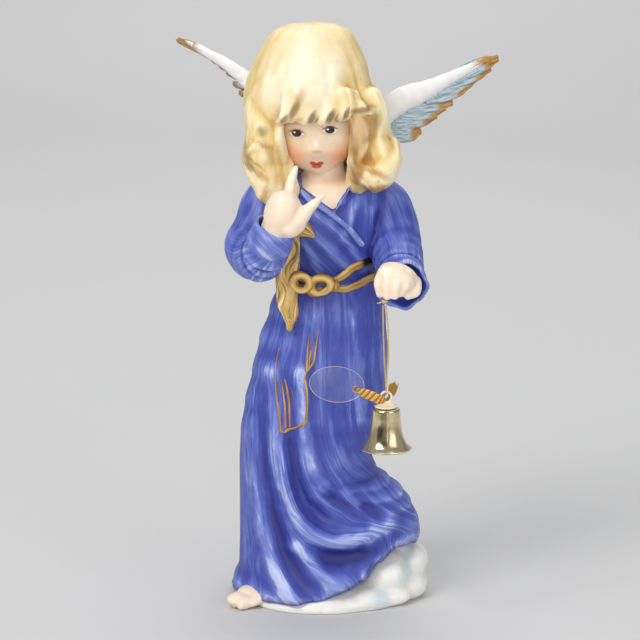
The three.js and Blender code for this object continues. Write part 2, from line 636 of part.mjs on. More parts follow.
// Each lock: stations from root to tip, half-widths and half-depths, and the way across.
const LOCK_SHARES = {
  fringe: [
    { stations: [[-0.12, -0.235, 2.17], [-0.138, -0.256, 2.115], [-0.157, -0.26, 2.072],
      [-0.186, -0.243, 2.042]],
      wide: [0.05, 0.045, 0.034, 0.014], deep: [0.018, 0.018, 0.02, 0.01] },
    { stations: [[-0.048, -0.24, 2.17], [-0.051, -0.258, 2.11], [-0.066, -0.262, 2.068],
      [-0.094, -0.25, 2.04]],
      wide: [0.045, 0.042, 0.034, 0.014], deep: [0.018, 0.018, 0.02, 0.01] },
    { stations: [[0.02, -0.24, 2.17], [0.026, -0.258, 2.11], [0.011, -0.262, 2.07], [-0.018, -0.25, 2.042]],
      wide: [0.045, 0.042, 0.034, 0.014], deep: [0.018, 0.018, 0.02, 0.01] },
    { stations: [[0.075, -0.235, 2.17], [0.085, -0.25, 2.115], [0.077, -0.252, 2.078],
      [0.06, -0.238, 2.054]],
      wide: [0.045, 0.04, 0.03, 0.014], deep: [0.018, 0.018, 0.02, 0.01] },
    { stations: [[0.1, -0.22, 2.15], [0.13, -0.23, 2.11], [0.165, -0.215, 2.085], [0.205, -0.18, 2.09]],
      wide: [0.045, 0.036, 0.028, 0.014], deep: [0.018, 0.018, 0.018, 0.01] },
  ],
  rightFall: [
    { stations: [[-0.25, -0.1, 2.08], [-0.25, -0.135, 1.99], [-0.256, -0.15, 1.9], [-0.245, -0.165, 1.83],
      [-0.225, -0.19, 1.75], [-0.213, -0.2, 1.68]],
    wide: [0.08, 0.072, 0.08, 0.076, 0.058, 0.014], deep: [0.07, 0.08, 0.08, 0.06, 0.04, 0.012] },
    { stations: [[-0.2, -0.1, 1.93], [-0.175, -0.13, 1.84], [-0.15, -0.15, 1.76], [-0.14, -0.17, 1.7]],
      wide: [0.04, 0.05, 0.05, 0.03], deep: [0.04, 0.05, 0.04, 0.02] },
    { stations: [[-0.23, -0.19, 1.975], [-0.272, -0.2, 1.94], [-0.3, -0.17, 1.9], [-0.285, -0.17, 1.845],
      [-0.24, -0.2, 1.79], [-0.2, -0.215, 1.73]],
      wide: [0.02, 0.034, 0.042, 0.046, 0.042, 0.014], deep: [0.02, 0.03, 0.04, 0.04, 0.03, 0.012] },
  ],
  leftCurl: [
    { stations: [[0.185, -0.12, 2.12], [0.212, -0.13, 2.05], [0.205, -0.12, 1.97], [0.225, -0.13, 1.89],
      [0.25, -0.14, 1.83]],
      wide: [0.05, 0.05, 0.052, 0.06, 0.05], deep: [0.06, 0.07, 0.08, 0.08, 0.06] },
    { stations: [[0.275, -0.1, 1.93], [0.258, -0.14, 1.865], [0.215, -0.175, 1.818], [0.15, -0.19, 1.825],
      [0.116, -0.18, 1.87], [0.116, -0.165, 1.925]],
      wide: [0.04, 0.058, 0.062, 0.05, 0.03, 0.012], deep: [0.05, 0.07, 0.07, 0.055, 0.035, 0.014] },
  ],
  back: [
    { stations: [[-0.18, 0.14, 2.1], [-0.2, 0.16, 1.95], [-0.19, 0.15, 1.82], [-0.16, 0.14, 1.72]],
      wide: [0.1, 0.12, 0.11, 0.03], deep: [0.08, 0.09, 0.07, 0.03] },
    { stations: [[0.0, 0.16, 2.1], [-0.01, 0.18, 1.95], [0.0, 0.165, 1.8], [0.01, 0.15, 1.68]],
      wide: [0.12, 0.13, 0.11, 0.03], deep: [0.08, 0.09, 0.07, 0.03] },
    { stations: [[0.13, 0.13, 2.1], [0.17, 0.15, 1.95], [0.18, 0.14, 1.83], [0.15, 0.13, 1.73]],
      wide: [0.1, 0.11, 0.1, 0.03], deep: [0.08, 0.09, 0.07, 0.03] },
  ],
  longLock: [
    { stations: [[-0.165, -0.205, 1.68], [-0.155, -0.213, 1.6], [-0.147, -0.218, 1.52],
      [-0.153, -0.215, 1.43],
      [-0.16, -0.215, 1.356], [-0.157, -0.222, 1.302], [-0.142, -0.225, 1.25], [-0.146, -0.225, 1.185]],
    wide: [0.04, 0.048, 0.05, 0.048, 0.044, 0.044, 0.034, 0.014], deep: [0.022, 0.028, 0.03, 0.03, 0.026,
      0.024, 0.02, 0.01] },
  ],
  lockTip: [
    { stations: [[-0.12, -0.22, 1.62], [-0.085, -0.228, 1.605], [-0.048, -0.23, 1.577]],
      wide: [0.03, 0.036, 0.01], deep: [0.02, 0.02, 0.008] },
  ],
};
const LOCK_ACROSS = new THREE.Vector3(1, 0.15, 0);

function locks(table, grow = 0, steps = LOCK_STEPS, sides = LOCK_SIDES) {
  return joined(table.map(({ stations, wide, deep }) => strand(places(stations),
    wide.map((share) => share * BODY), deep.map((share) => share * BODY), LOCK_ACROSS, { steps, sides,
      grow })));
}

// The wings: an arm with long feathers along its trailing edge. Each feather runs from its
// root to its tip, and the small coverts lie over the roots.
const WING_SHARES = {
  left: {
    arm: [[0.07, 0.13, 1.72], [0.16, 0.2, 1.87], [0.24, 0.24, 2.0], [0.309, 0.26, 2.064],
      [0.368, 0.27, 2.09],
      [0.427, 0.28, 2.112], [0.487, 0.295, 2.14], [0.552, 0.325, 2.169], [0.639, 0.37, 2.205],
      [0.735, 0.42, 2.238]],
    armHalfShares: [1, 1.15, 1.4, 1.55, 1.5, 1.2, 0.9, 0.7, 0.5, 0.25],
    feathers: [
      [[0.552, 0.33, 2.161], [0.652, 0.375, 2.201], [0.737, 0.42, 2.23]], [[0.522, 0.32, 2.133],
      [0.617, 0.36, 2.162], [0.705, 0.405, 2.189]],
      [[0.479, 0.3, 2.105], [0.57, 0.34, 2.13], [0.657, 0.38, 2.158]], [[0.428, 0.285, 2.077],
      [0.527, 0.32, 2.094], [0.622, 0.36, 2.13]],
      [[0.351, 0.27, 2.041], [0.454, 0.3, 2.046], [0.54, 0.33, 2.052]], [[0.326, 0.265, 2.012],
      [0.42, 0.29, 2.015], [0.51, 0.32, 2.032]],
      [[0.3, 0.255, 1.983], [0.386, 0.28, 1.982], [0.472, 0.305, 2.0]], [[0.288, 0.25, 1.959],
      [0.348, 0.265, 1.954], [0.407, 0.285, 1.967]],
      [[0.279, 0.24, 1.93], [0.348, 0.26, 1.925], [0.405, 0.28, 1.937]],
    ],
    armChord: [-0.3, 0.1, 0.95],
    blade: [-0.3, 0.1, 0.95],
  },
  right: {
    arm: [[-0.07, 0.13, 1.72], [-0.14, 0.2, 1.86], [-0.24, 0.26, 2.06], [-0.326, 0.29, 2.151],
      [-0.377, 0.305, 2.19],
      [-0.43, 0.33, 2.225], [-0.485, 0.37, 2.25], [-0.531, 0.42, 2.271], [-0.578, 0.465, 2.289],
      [-0.63, 0.52, 2.297]],
    armHalfShares: [1, 1.1, 1.1, 1.03, 0.91, 0.76, 0.62, 0.56, 0.44, 0.25],
    feathers: [
      [[-0.556, 0.45, 2.276], [-0.597, 0.5, 2.286], [-0.634, 0.54, 2.291]], [[-0.516, 0.4, 2.262],
      [-0.557, 0.47, 2.265], [-0.595, 0.54, 2.269]],
      [[-0.476, 0.37, 2.242], [-0.518, 0.46, 2.245], [-0.555, 0.55, 2.248]], [[-0.437, 0.34, 2.224],
      [-0.48, 0.45, 2.227], [-0.516, 0.56, 2.224]],
      [[-0.403, 0.32, 2.201], [-0.445, 0.44, 2.204], [-0.482, 0.56, 2.199]], [[-0.372, 0.3, 2.177],
      [-0.415, 0.42, 2.181], [-0.449, 0.55, 2.174]],
      [[-0.347, 0.28, 2.154], [-0.384, 0.4, 2.153], [-0.416, 0.52, 2.148]], [[-0.321, 0.25, 2.124],
      [-0.358, 0.36, 2.119], [-0.387, 0.47, 2.106]],
      [[-0.299, 0.23, 2.088], [-0.331, 0.33, 2.085], [-0.36, 0.42, 2.073]],
    ],
    armChord: [-0.3, -0.1, 0.95],
    blade: [-0.75, 0.2, 0.5],
  },
};
const ARM_FLATNESS = 0.75; // the depth of a wing's arm as a share of its width
const FEATHER_HALF_SHARES = [0.03, 0.034, 0.031, 0.015];

function wing(shares, grow = 0) {
  const armHalves = shares.armHalfShares.map((share) => share * WING_ARM_RADIUS);
  const arm = strand(places(shares.arm), armHalves, armHalves.map((half) => half * ARM_FLATNESS),
    new THREE.Vector3(...shares.armChord), { sides: LOCK_SIDES, steps: LOCK_STEPS, grow });
  const feathers = shares.feathers.map((stations) => strand(places(stations),
    FEATHER_HALF_SHARES.map((share) => share * BODY), FEATHER_HALF_SHARES.map(() => FEATHER_THICKNESS / 2),
    new THREE.Vector3(...shares.blade), { sides: FEATHER_SIDES, steps: FINGER_STEPS, roundEnds: 0, grow }));
  return joined([arm, ...feathers]);
}

// The cloud that the figure stands on: billows that run into each other, flat underneath.
const BASE_SHARES = [
  { at: [0.01, -0.01, 0.02], half: [0.38, 0.345, 0.1] }, { at: [-0.02, -0.13, 0.01], half: [0.31, 0.235,
    0.055] },
  { at: [0.16, -0.2, 0.03], half: [0.15, 0.12, 0.065] }, { at: [0.25, -0.13, 0.12], half: [0.11, 0.1,
    0.1] },
  { at: [0.36, -0.02, 0.135], half: [0.085, 0.09, 0.085] }, { at: [0.33, -0.08, 0.05], half: [0.11, 0.12,
    0.075] },
  { at: [0.3, 0.1, 0.07], half: [0.14, 0.13, 0.12] }, { at: [0.24, -0.02, 0.17], half: [0.13, 0.13, 0.12] },
  { at: [0.1, 0.18, 0.06], half: [0.2, 0.15, 0.1] },
];

function baseBody() {
  const billows = BASE_SHARES.map(({ at, half }) => egg(place(at), place(half), [0, 0, 0], 12, 8));
  return aboveGround(joined(billows));
}

function ventHole() {
  const geometry = new THREE.CylinderGeometry(VENT_RADIUS, VENT_RADIUS, VENT_DEPTH * 2, LATHE_SIDES / 2);
  geometry.rotateX(Math.PI / 2);
  return solidOf(geometry);
}

// The bare right foot, which shows from under the hem.
const FOOT_SHARES = [[-0.2, -0.08, 0.05], [-0.275, -0.19, 0.044], [-0.335, -0.245, 0.028]];
const FOOT_WIDE_SHARES = [0.06, 0.075, 0.068];
const FOOT_DEEP_SHARES = [0.045, 0.04, 0.028];
const TOE_SHARES = [
  { stations: [[-0.325, -0.27, 0.026], [-0.345, -0.29, 0.022],
    [-0.35, -0.296, 0.02]], half: [0.026, 0.024, 0.02] },
  { stations: [[-0.35, -0.245, 0.024], [-0.372, -0.265, 0.02],
    [-0.378, -0.27, 0.018]], half: [0.022, 0.02, 0.017] },
  { stations: [[-0.365, -0.215, 0.022], [-0.387, -0.235, 0.018],
    [-0.392, -0.24, 0.016]], half: [0.02, 0.018, 0.015] },
  { stations: [[-0.368, -0.185, 0.02], [-0.386, -0.205, 0.016],
    [-0.391, -0.21, 0.015]], half: [0.017, 0.015, 0.013] },
];

function foot(grow = 0) {
  const sole = strand(places(FOOT_SHARES), FOOT_WIDE_SHARES.map((share) => share * BODY),
    FOOT_DEEP_SHARES.map((share) => share * BODY), new THREE.Vector3(0.8, -0.6, 0), { sides: 10,
      steps: 4, grow });
  return joined([sole, ...TOE_SHARES.map((toe) => limb(toe, 2, grow))]);
}

// What the robe wears: its wrapped edge, the belt, the bow and the sash ends.
const WRAP_SHARES = [[-0.1, -0.14, 1.75], [-0.05, -0.185, 1.71], [0.03, -0.21, 1.66],
  [0.1, -0.215, 1.6], [0.155, -0.2, 1.53]];
const COLLAR_SHARES = [[0.035, -0.2, 1.675], [0.075, -0.175, 1.73], [0.11, -0.12, 1.785]];
const BELT_UPPER_SHARE = 1.405;
const BELT_LOWER_SHARE = 1.355;
const BELT_TILT_SHARE = 0.02;
const BELT_STATIONS = 24;

// A flat strip along the stations.
function strip(stations, halfWidth, halfDepth, across, steps, grow) {
  return strand(stations, stations.map(() => halfWidth), stations.map(() => halfDepth), across,
    { sides: LOCK_SIDES, steps, roundEnds: 0, grow });
}

function wrapBand(shares, grow = 0) {
  return strip(places(shares), WRAP_WIDTH / 2, WRAP_THICKNESS, new THREE.Vector3(0.7, 0, 0.7),
    LOCK_STEPS, grow);
}

function oval({ at, half }, grow = 0) {
  return egg(place(at), place(half).addScalar(grow), [0, 0, 0], 8, 6);
}

// A belt cord round the waist, on the oval of the robe there.
function belt(heightShare, grow = 0) {
  const at = (turn) => {
    const angle = 2 * Math.PI * turn;
    const sideShare = Math.cos(angle);
    const height = heightShare + BELT_TILT_SHARE * sideShare;
    const [left, right] = [lookUp(SKIRT_LEFT_SHARES, SKIRT_TOP_SHARE), lookUp(SKIRT_RIGHT_SHARES,
      SKIRT_TOP_SHARE)];
    const front = lookUp(SKIRT_FRONT_SHARES, SKIRT_TOP_SHARE);
    const back = lookUp(SKIRT_BACK_SHARES, SKIRT_TOP_SHARE);
    const point = place([(left + right) / 2 + ((right - left) / 2) * sideShare,
      (Math.sin(angle) < 0 ? front : back) * Math.sin(angle), height]);
    const out = new THREE.Vector3(Math.cos(angle), Math.sin(angle), 0);
    return point.addScaledVector(out, BELT_THICKNESS * 0.2);
  };
  const stations = Array.from({ length: BELT_STATIONS }, (_, station) => at(station / BELT_STATIONS));
  const outward = (point) => new THREE.Vector3(point.x - stations[0].x * 0.1, point.y, 0).normalize();
  return bandRing(stations, BELT_WIDTH / 2 + grow, BELT_THICKNESS / 2 + grow, outward, BELT_STATIONS,
    FINGER_SIDES);
}

const BOW_STEPS = 14;
const BOW_LOOP_SHARES = [
  { centre: [-0.095, -0.222, 1.365], half: [0.034, 0.04], tilt: 0.3 },
  { centre: [0.003, -0.228, 1.352], half: [0.042, 0.04], tilt: -0.2 },
];

function bowLoop({ centre, half, tilt }, grow = 0) {
  const stations = Array.from({ length: 10 }, (_, station) => {
    const angle = (2 * Math.PI * station) / 10;
    const x = half[0] * Math.cos(angle);
    const z = half[1] * Math.sin(angle);
    return place([centre[0] + x * Math.cos(tilt) - z * Math.sin(tilt), centre[1],
      centre[2] + x * Math.sin(tilt) + z * Math.cos(tilt)]);
  });
  return bandRing(stations, BOW_BAND / 2 + grow, BOW_THICKNESS / 2 + grow, () => new THREE.Vector3(0, -1,
    0),
    BOW_STEPS, FINGER_SIDES);
}

const KNOT_SHARES = { at: [0.055, -0.225, 1.358], half: [0.028, 0.016, 0.026] };
const BOW_HEART_SHARES = { at: [-0.047, -0.23, 1.36], half: [0.022, 0.016, 0.03] };
const SASH_LONG_SHARES = [[-0.135, 1.29], [-0.135, 1.15], [-0.13, 1.0], [-0.128, 0.88], [-0.13, 0.765]];
const SASH_SHORT_SHARES = [[-0.045, 1.3], [-0.04, 1.18], [-0.055, 1.08], [-0.075, 1.0]];
const SASH_LONG_HALF_SHARE = 0.052;
const SASH_SHORT_HALF_SHARE = 0.026;

function sash(track, halfShare, grow = 0) {
  const stations = track.map(([x, z]) => place([x, robeFront(x, z), z]).add(new THREE.Vector3(0,
    -SASH_THICKNESS * 0.4, 0)));
  return strip(stations, halfShare * BODY, SASH_THICKNESS, new THREE.Vector3(1, 0, 0), LOCK_STEPS, grow);
}

// The bell hangs on its cord straight below the knot.
const KNOT_SHARE = [0.236, -0.515, 1.361];
const BELL_AXIS_SHARE = [0.245, -0.51];
const KNOT_CENTRE = place(KNOT_SHARE);
const [BELL_X, BELL_Y] = BELL_AXIS_SHARE.map((share) => share * BODY);
const CORD_FOOT_Z = KNOT_CENTRE.z - CORD_DROP;
const EAR_HOLE_Z = CORD_FOOT_Z - EAR_HOLE_RADIUS + CORD_RADIUS + LINK_GAP;
const PLATE_Z = EAR_HOLE_Z - EAR_RADIUS - EAR_NECK;
const BELL_TOP_Z = PLATE_Z - LINK_GAP - CROWN_PLATE / 2;
const RIM_Z = BELL_TOP_Z - BELL_HEIGHT;
// The bell's outline from the shoulder to the rim: radius as a share from the shoulder's
// to the rim's, and height as a share of the bell's.
const BELL_OUTLINE_SHARES = [[0.02, 0.95], [0.06, 0.8], [0.13, 0.56], [0.3, 0.32], [0.58, 0.14],
  [0.9, 0.045], [1, 0.03]];

function lathe(profile, sides = LATHE_SIDES) {
  const geometry = new THREE.LatheGeometry(profile.map(([radius, z]) => new THREE.Vector2(radius, z)),
    sides);
  geometry.rotateX(Math.PI / 2);
  return solidOf(geometry);
}

function atBell(solid, z = 0) {
  return solid.translate(BELL_X, BELL_Y, z);
}

function bellShell() {
  const spread = BELL_RIM_RADIUS - BELL_SHOULDER_RADIUS;
  const outer = BELL_OUTLINE_SHARES.map(([out, up]) => [BELL_SHOULDER_RADIUS + out * spread,
    up * BELL_HEIGHT]);
  const inner = [...outer].reverse().map(([radius, z]) => [radius - BELL_WALL,
    Math.max(z - BELL_WALL * 0.4, 0)]);
  const hole = STUD_RADIUS + STUD_CLEARANCE;
  const profile = [[hole, BELL_HEIGHT],
    [BELL_SHOULDER_RADIUS * 0.9, BELL_HEIGHT], ...outer, [BELL_RIM_RADIUS, 0], ...inner,
    [BELL_SHOULDER_RADIUS * 0.8, BELL_HEIGHT - BELL_WALL], [hole, BELL_HEIGHT - BELL_WALL],
    [hole, BELL_HEIGHT]];
  return atBell(lathe(profile.reverse()), RIM_Z);
}

function disc(radius, height, sides = LATHE_SIDES) {
  const geometry = new THREE.CylinderGeometry(radius, radius, height, sides);
  geometry.rotateX(Math.PI / 2);
  return solidOf(geometry);
}

// A ring of round wire: its axis along X, Y or Z.
function wireRing(radius, wire, axis, steps = 16, sides = 6) {
  const geometry = new THREE.TorusGeometry(radius, wire, sides, steps);
  if (axis === 'x') {
    geometry.rotateY(Math.PI / 2);
  }
  if (axis === 'y') {
    geometry.rotateX(Math.PI / 2);
  }
  return solidOf(geometry);
}

// The cast crown: a plate on the bell's top, an upright ear with its hole, and a stud that
// passes down through the shell.
function bellCrown() {
  const plate = disc(CROWN_RADIUS, CROWN_PLATE).translate(0, 0, PLATE_Z);
  const ear = new THREE.Shape();
  ear.absarc(0, EAR_HOLE_Z, EAR_RADIUS, 0, Math.PI);
  ear.lineTo(-EAR_RADIUS, PLATE_Z);
  ear.lineTo(EAR_RADIUS, PLATE_Z);
  ear.closePath();
  const hole = new THREE.Path();
  hole.absarc(0, EAR_HOLE_Z, EAR_HOLE_RADIUS, 0, 2 * Math.PI, true);
  ear.holes.push(hole);
  const geometry = new THREE.ExtrudeGeometry(ear, { depth: EAR_THICKNESS, bevelEnabled: false,
    curveSegments: 12 });
  geometry.rotateX(Math.PI / 2);
  geometry.translate(0, EAR_THICKNESS / 2, 0);
  const studLength = PLATE_Z - BELL_TOP_Z + BELL_WALL;
  const stud = disc(STUD_RADIUS, studLength, 12).translate(0, 0, PLATE_Z - studLength / 2);
  return atBell(joined([plate, solidOf(geometry), stud]));
}

// The staple under the bell's top, which the clapper's eye hangs in.
const WASHER_Z = BELL_TOP_Z - BELL_WALL - LINK_GAP - WASHER_THICKNESS / 2;
const STAPLE_Z = WASHER_Z - WASHER_THICKNESS / 2;
const STAPLE_LOW_Z = STAPLE_Z - STAPLE_RADIUS;
const CLAPPER_EYE_Z = STAPLE_LOW_Z + STAPLE_WIRE + CLAPPER_WIRE + LINK_GAP - CLAPPER_EYE_RADIUS;
const BALL_Z = RIM_Z - CLAPPER_SHOW + CLAPPER_BALL;

function clapperStaple() {
  const washer = disc(STAPLE_WASHER, WASHER_THICKNESS, 20).translate(0, 0, WASHER_Z);
  const ring = wireRing(STAPLE_RADIUS, STAPLE_WIRE, 'y').translate(0, 0, STAPLE_Z);
  const room = block(OVERRUN * 2, OVERRUN * 2, OVERRUN, new THREE.Vector3(0, 0, WASHER_Z + OVERRUN / 2));
  return atBell(washer.add(ring.subtract(room)));
}

function clapperWire() {
  const eye = wireRing(CLAPPER_EYE_RADIUS, CLAPPER_WIRE, 'x').translate(0, 0, CLAPPER_EYE_Z);
  const top = CLAPPER_EYE_Z - CLAPPER_EYE_RADIUS;
  const foot = BALL_Z + CLAPPER_BALL + LINK_GAP;
  const rod = disc(CLAPPER_WIRE * 1.2, top - foot, 8).translate(0, 0, (top + foot) / 2);
  return atBell(eye.add(rod));
}

function clapperBall() {
  return atBell(solidOf(new THREE.SphereGeometry(CLAPPER_BALL, 12, 8)), BALL_Z);
}

// The gold cord: from the knot down behind the ear, through its hole and up the front. Its
// stations are shares of the cord's drop, from the foot of its loop.
const CORD_SHARES = [
  [-0.0395, -0.0079, 0.9605], [-0.0368, -0.0026, 0.8579], [-0.0316, 0.0053, 0.6474],
  [-0.0211, 0.0184, 0.3842],
  [-0.0079, 0.0316, 0.1737], [-0.0026, 0.0395, 0.0816], [0, 0.0408, 0.0368], [0, 0.0382, 0.0158],
  [0, 0.0329, 0.0039], [0, 0.0211, -0.0013], [0, 0, -0.0026], [0, -0.0211, -0.0013],
  [0, -0.0329, 0.0039], [0, -0.0382, 0.0158], [0, -0.0408, 0.0368], [0.0026, -0.0395, 0.0816],
  [0.0105, -0.0316, 0.2263], [0.0211, -0.0237, 0.4368], [0.0184, -0.0184, 0.6737],
  [0.0026, -0.0158, 0.8579],
  [-0.0079, -0.0158, 0.9605],
];
const CORD_SIDES = 8;
const CORD_STEP = 1.8;

function hangingCord() {
  const foot = new THREE.Vector3(BELL_X, BELL_Y, CORD_FOOT_Z);
  const curve = new THREE.CatmullRomCurve3(CORD_SHARES.map((share) => (
    new THREE.Vector3(...share).multiplyScalar(CORD_DROP).add(foot))));
  const section = new THREE.Shape(Array.from({ length: CORD_SIDES }, (_, side) => {
    const angle = (2 * Math.PI * side) / CORD_SIDES;
    return new THREE.Vector2(CORD_RADIUS * Math.cos(angle), CORD_RADIUS * Math.sin(angle));
  }));
  return solidOf(new THREE.ExtrudeGeometry(section, {
    steps: Math.round(curve.getLength() / CORD_STEP), extrudePath: curve, bevelEnabled: false,
  }));
}

// The knot under the fingertips, with one short end.
function cordKnot() {
  const body = egg(KNOT_CENTRE, new THREE.Vector3(KNOT_RADIUS, KNOT_RADIUS * 0.8, KNOT_RADIUS * 0.7), [0,
    0.3, 0], 10, 7);
  const end = [[-0.5, 0, 0], [-1.1, -0.1, -0.3], [-1.7, -0.2, -0.35]].map(([x, y, z]) => (
    new THREE.Vector3(x, y, z).multiplyScalar(KNOT_RADIUS).add(KNOT_CENTRE)));
  const half = [CORD_RADIUS, CORD_RADIUS, CORD_RADIUS];
  return body.add(strand(end, half, half, new THREE.Vector3(0, 0, 1), { sides: 6, steps: 3 }));
}

// The clear oval tag and its foil tie. The tag's hole is the pivot that it turns on.
const TAG_PIVOT_SHARE = [-0.6722, 0, 0.175];
const EAR_HOLE = new THREE.Vector3(BELL_X, BELL_Y, EAR_HOLE_Z);
const TAG_PIVOT = new THREE.Vector3(...TAG_PIVOT_SHARE).multiplyScalar(TIE_REACH).add(EAR_HOLE);
const TAG_TILT = -0.1;
const TAG_HOLE_DROP = 1.3;

function tag() {
  const oval = new THREE.Shape();
  oval.absellipse(0, 0, TAG_WIDTH / 2, TAG_HEIGHT / 2, 0, 2 * Math.PI);
  const hole = new THREE.Path();
  const holeX = TAG_WIDTH / 2 - TAG_HOLE_INSET - TAG_HOLE_RADIUS;
  hole.absarc(holeX, -TAG_HOLE_DROP, TAG_HOLE_RADIUS, 0, 2 * Math.PI, true);
  oval.holes.push(hole);
  const geometry = new THREE.ExtrudeGeometry(oval, { depth: TAG_THICKNESS, bevelEnabled: false,
    curveSegments: 18 });
  geometry.translate(-holeX, TAG_HOLE_DROP, -TAG_THICKNESS / 2);
  geometry.rotateZ(TAG_TILT);
  geometry.rotateX(Math.PI / 2);
  geometry.translate(TAG_PIVOT.x, TAG_PIVOT.y, TAG_PIVOT.z);
  return solidOf(geometry);
}

// The tie's stations are shares of its reach, from the middle of the ear's hole.
const TIE_SHARES = [
  [-0.75, 0.0528, 0.1806], [-0.6944, 0.0389, 0.175], [-0.6694, 0, 0.175], [-0.6389, -0.05, 0.1694],
  [-0.5056, -0.0722, 0.1139], [-0.3389, -0.0833, 0.0472], [-0.1722, -0.0833, -0.025],
  [-0.0611, -0.0778, -0.0528],
  [-0.0167, -0.0278, -0.0583], [0.0167, 0.0278, -0.0583], [0.0722, 0.0694, -0.0472],
  [0.1556, 0.0889, 0.0583],
  [0.1944, 0.0944, 0.1806], [0.2389, 0.1, 0.2917],
];
const TIE_WIDE_SHARES = [0.5, 0.28, 0.28, 0.28, 0.8, 1, 0.85, 0.4, 0.3, 0.3, 0.4, 0.8, 0.75, 0.15];

function tagTie() {
  const stations = TIE_SHARES.map((share) => new THREE.Vector3(...share).multiplyScalar(TIE_REACH).add(EAR_HOLE));
  return strand(stations,
    TIE_WIDE_SHARES.map((share) => (share * TIE_WIDTH) / 2), TIE_WIDE_SHARES.map(() => TIE_THICKNESS / 2),
    new THREE.Vector3(0, 0, 1), { sides: 4, steps: 39, roundEnds: 0 });
}

// Everything put together. Each piece is cut by what it is seated against.
const GAP = SEAT_GAP;
const paint = (colour, roughness, metalness = 0, opacity = 1) => new THREE.MeshStandardMaterial({
  color: colour, roughness, metalness, opacity, transparent: opacity < 1,
});
const blue = paint(0x4f5cae, 0.5);
const bisque = paint(0xf0d8c4, 0.55);
const blond = paint(0xe9cf90, 0.5);
const white = paint(0xf3f1ec, 0.3);
const wingWhite = paint(0xe6edf0, 0.4);
const goldPaint = paint(0xb88a3e, 0.45, 0.3);
const brass = paint(0xd8c58a, 0.18, 1);
const ivory = paint(0xeee3c0, 0.35);
const goldCord = paint(0xd2a94a, 0.5, 0.4);
const clear = paint(0xf6f4ea, 0.1, 0, 0.3);

const figurine = new THREE.Group();

function addPiece(name, solid, material) {
  const mesh = new THREE.Mesh(geometryOf(mainBody(solid)), material);
  mesh.name = name;
  figurine.add(mesh);
}

const rightCuffGrown = cuffBody(ARMS.right, GAP);
const leftCuffGrown = cuffBody(ARMS.left, GAP);
const rightHandGrown = hand(RIGHT_HAND_SHARES, GAP);
const leftHandGrown = hand(LEFT_HAND_SHARES, GAP);
const skirtGrown = skirt(GAP);
const bodiceGrown = bodiceBody(GAP);
const chestGrown = neckAndChest(GAP);
const headGrown = head(GAP);
const capGrown = hairCapBody(GAP);
const sleeveGrown = { right: sleeve(ARMS.right, GAP), left: sleeve(ARMS.left, GAP) };
const wingsGrown = [wing(WING_SHARES.left, GAP), wing(WING_SHARES.right, GAP)];
const longLockGrown = locks(LOCK_SHARES.longLock, GAP, LOCK_STEPS * 1.5);

addPiece('cloud_base', cut(baseBody(), [skirtGrown, foot(GAP), ventHole()]), white);
addPiece('right_foot', cut(aboveGround(foot()), [skirtGrown]), bisque);
addPiece('robe_skirt', skirt(), blue);
addPiece('robe_bodice', cut(bodiceBody(), [skirtGrown, neckline(GAP), neckColumn(GAP)]), blue);
addPiece('neck_and_chest', cut(neckAndChest(), [headGrown]), bisque);
addPiece('head', head(), bisque);
addPiece('right_hand', hand(RIGHT_HAND_SHARES), bisque);
addPiece('left_hand', hand(LEFT_HAND_SHARES), bisque);
addPiece('right_cuff', cut(cuffBody(ARMS.right), [rightHandGrown, cuffRecess(ARMS.right)]), blue);
addPiece('left_cuff', cut(cuffBody(ARMS.left), [leftHandGrown, cuffRecess(ARMS.left)]), blue);
addPiece('right_sleeve', cut(sleeve(ARMS.right), [rightCuffGrown, rightHandGrown, bodiceGrown,
  skirtGrown]), blue);
addPiece('left_sleeve', cut(sleeve(ARMS.left), [leftCuffGrown, leftHandGrown, bodiceGrown, skirtGrown]),
  blue);
addPiece('left_wing', cut(wing(WING_SHARES.left), [bodiceGrown]), wingWhite);
addPiece('right_wing', cut(wing(WING_SHARES.right), [bodiceGrown]), wingWhite);
const capAndFringe = hairCapBody().subtract(faceWindow()).add(locks(LOCK_SHARES.fringe, 0, 2,
  FINGER_SIDES));
addPiece('hair_cap', cut(capAndFringe, [headGrown, chestGrown, ...wingsGrown]), blond);
const fringeGrown = locks(LOCK_SHARES.fringe, GAP, 2, FINGER_SIDES);
const hairCuts = [capGrown, fringeGrown, headGrown, chestGrown, bodiceGrown,
  ...Object.values(sleeveGrown), ...wingsGrown];
const fallGrown = locks(LOCK_SHARES.rightFall, GAP);
const curlGrown = locks(LOCK_SHARES.leftCurl, GAP);
addPiece('hair_fall_right', cut(locks(LOCK_SHARES.rightFall), [...hairCuts, rightHandGrown,
  rightCuffGrown]), blond);
addPiece('hair_curl_left', cut(locks(LOCK_SHARES.leftCurl), [...hairCuts, capAndFringe, leftHandGrown]),
  blond);
addPiece('hair_back', cut(locks(LOCK_SHARES.back, 0, 5), [...hairCuts, fallGrown, curlGrown]), blond);
addPiece('hair_long_lock', cut(locks(LOCK_SHARES.longLock, 0, LOCK_STEPS * 1.5), [bodiceGrown, skirtGrown,
  sleeveGrown.right, rightCuffGrown, rightHandGrown, fallGrown, chestGrown]), blond);
const upperBelt = belt(BELT_UPPER_SHARE);
const lowerBelt = belt(BELT_LOWER_SHARE);
const robeCuts = [skirtGrown, bodiceGrown, sleeveGrown.right, sleeveGrown.left];
addPiece('belt_upper', cut(upperBelt, [...robeCuts, longLockGrown]), goldPaint);
addPiece('belt_lower', cut(lowerBelt, [...robeCuts, longLockGrown]), goldPaint);

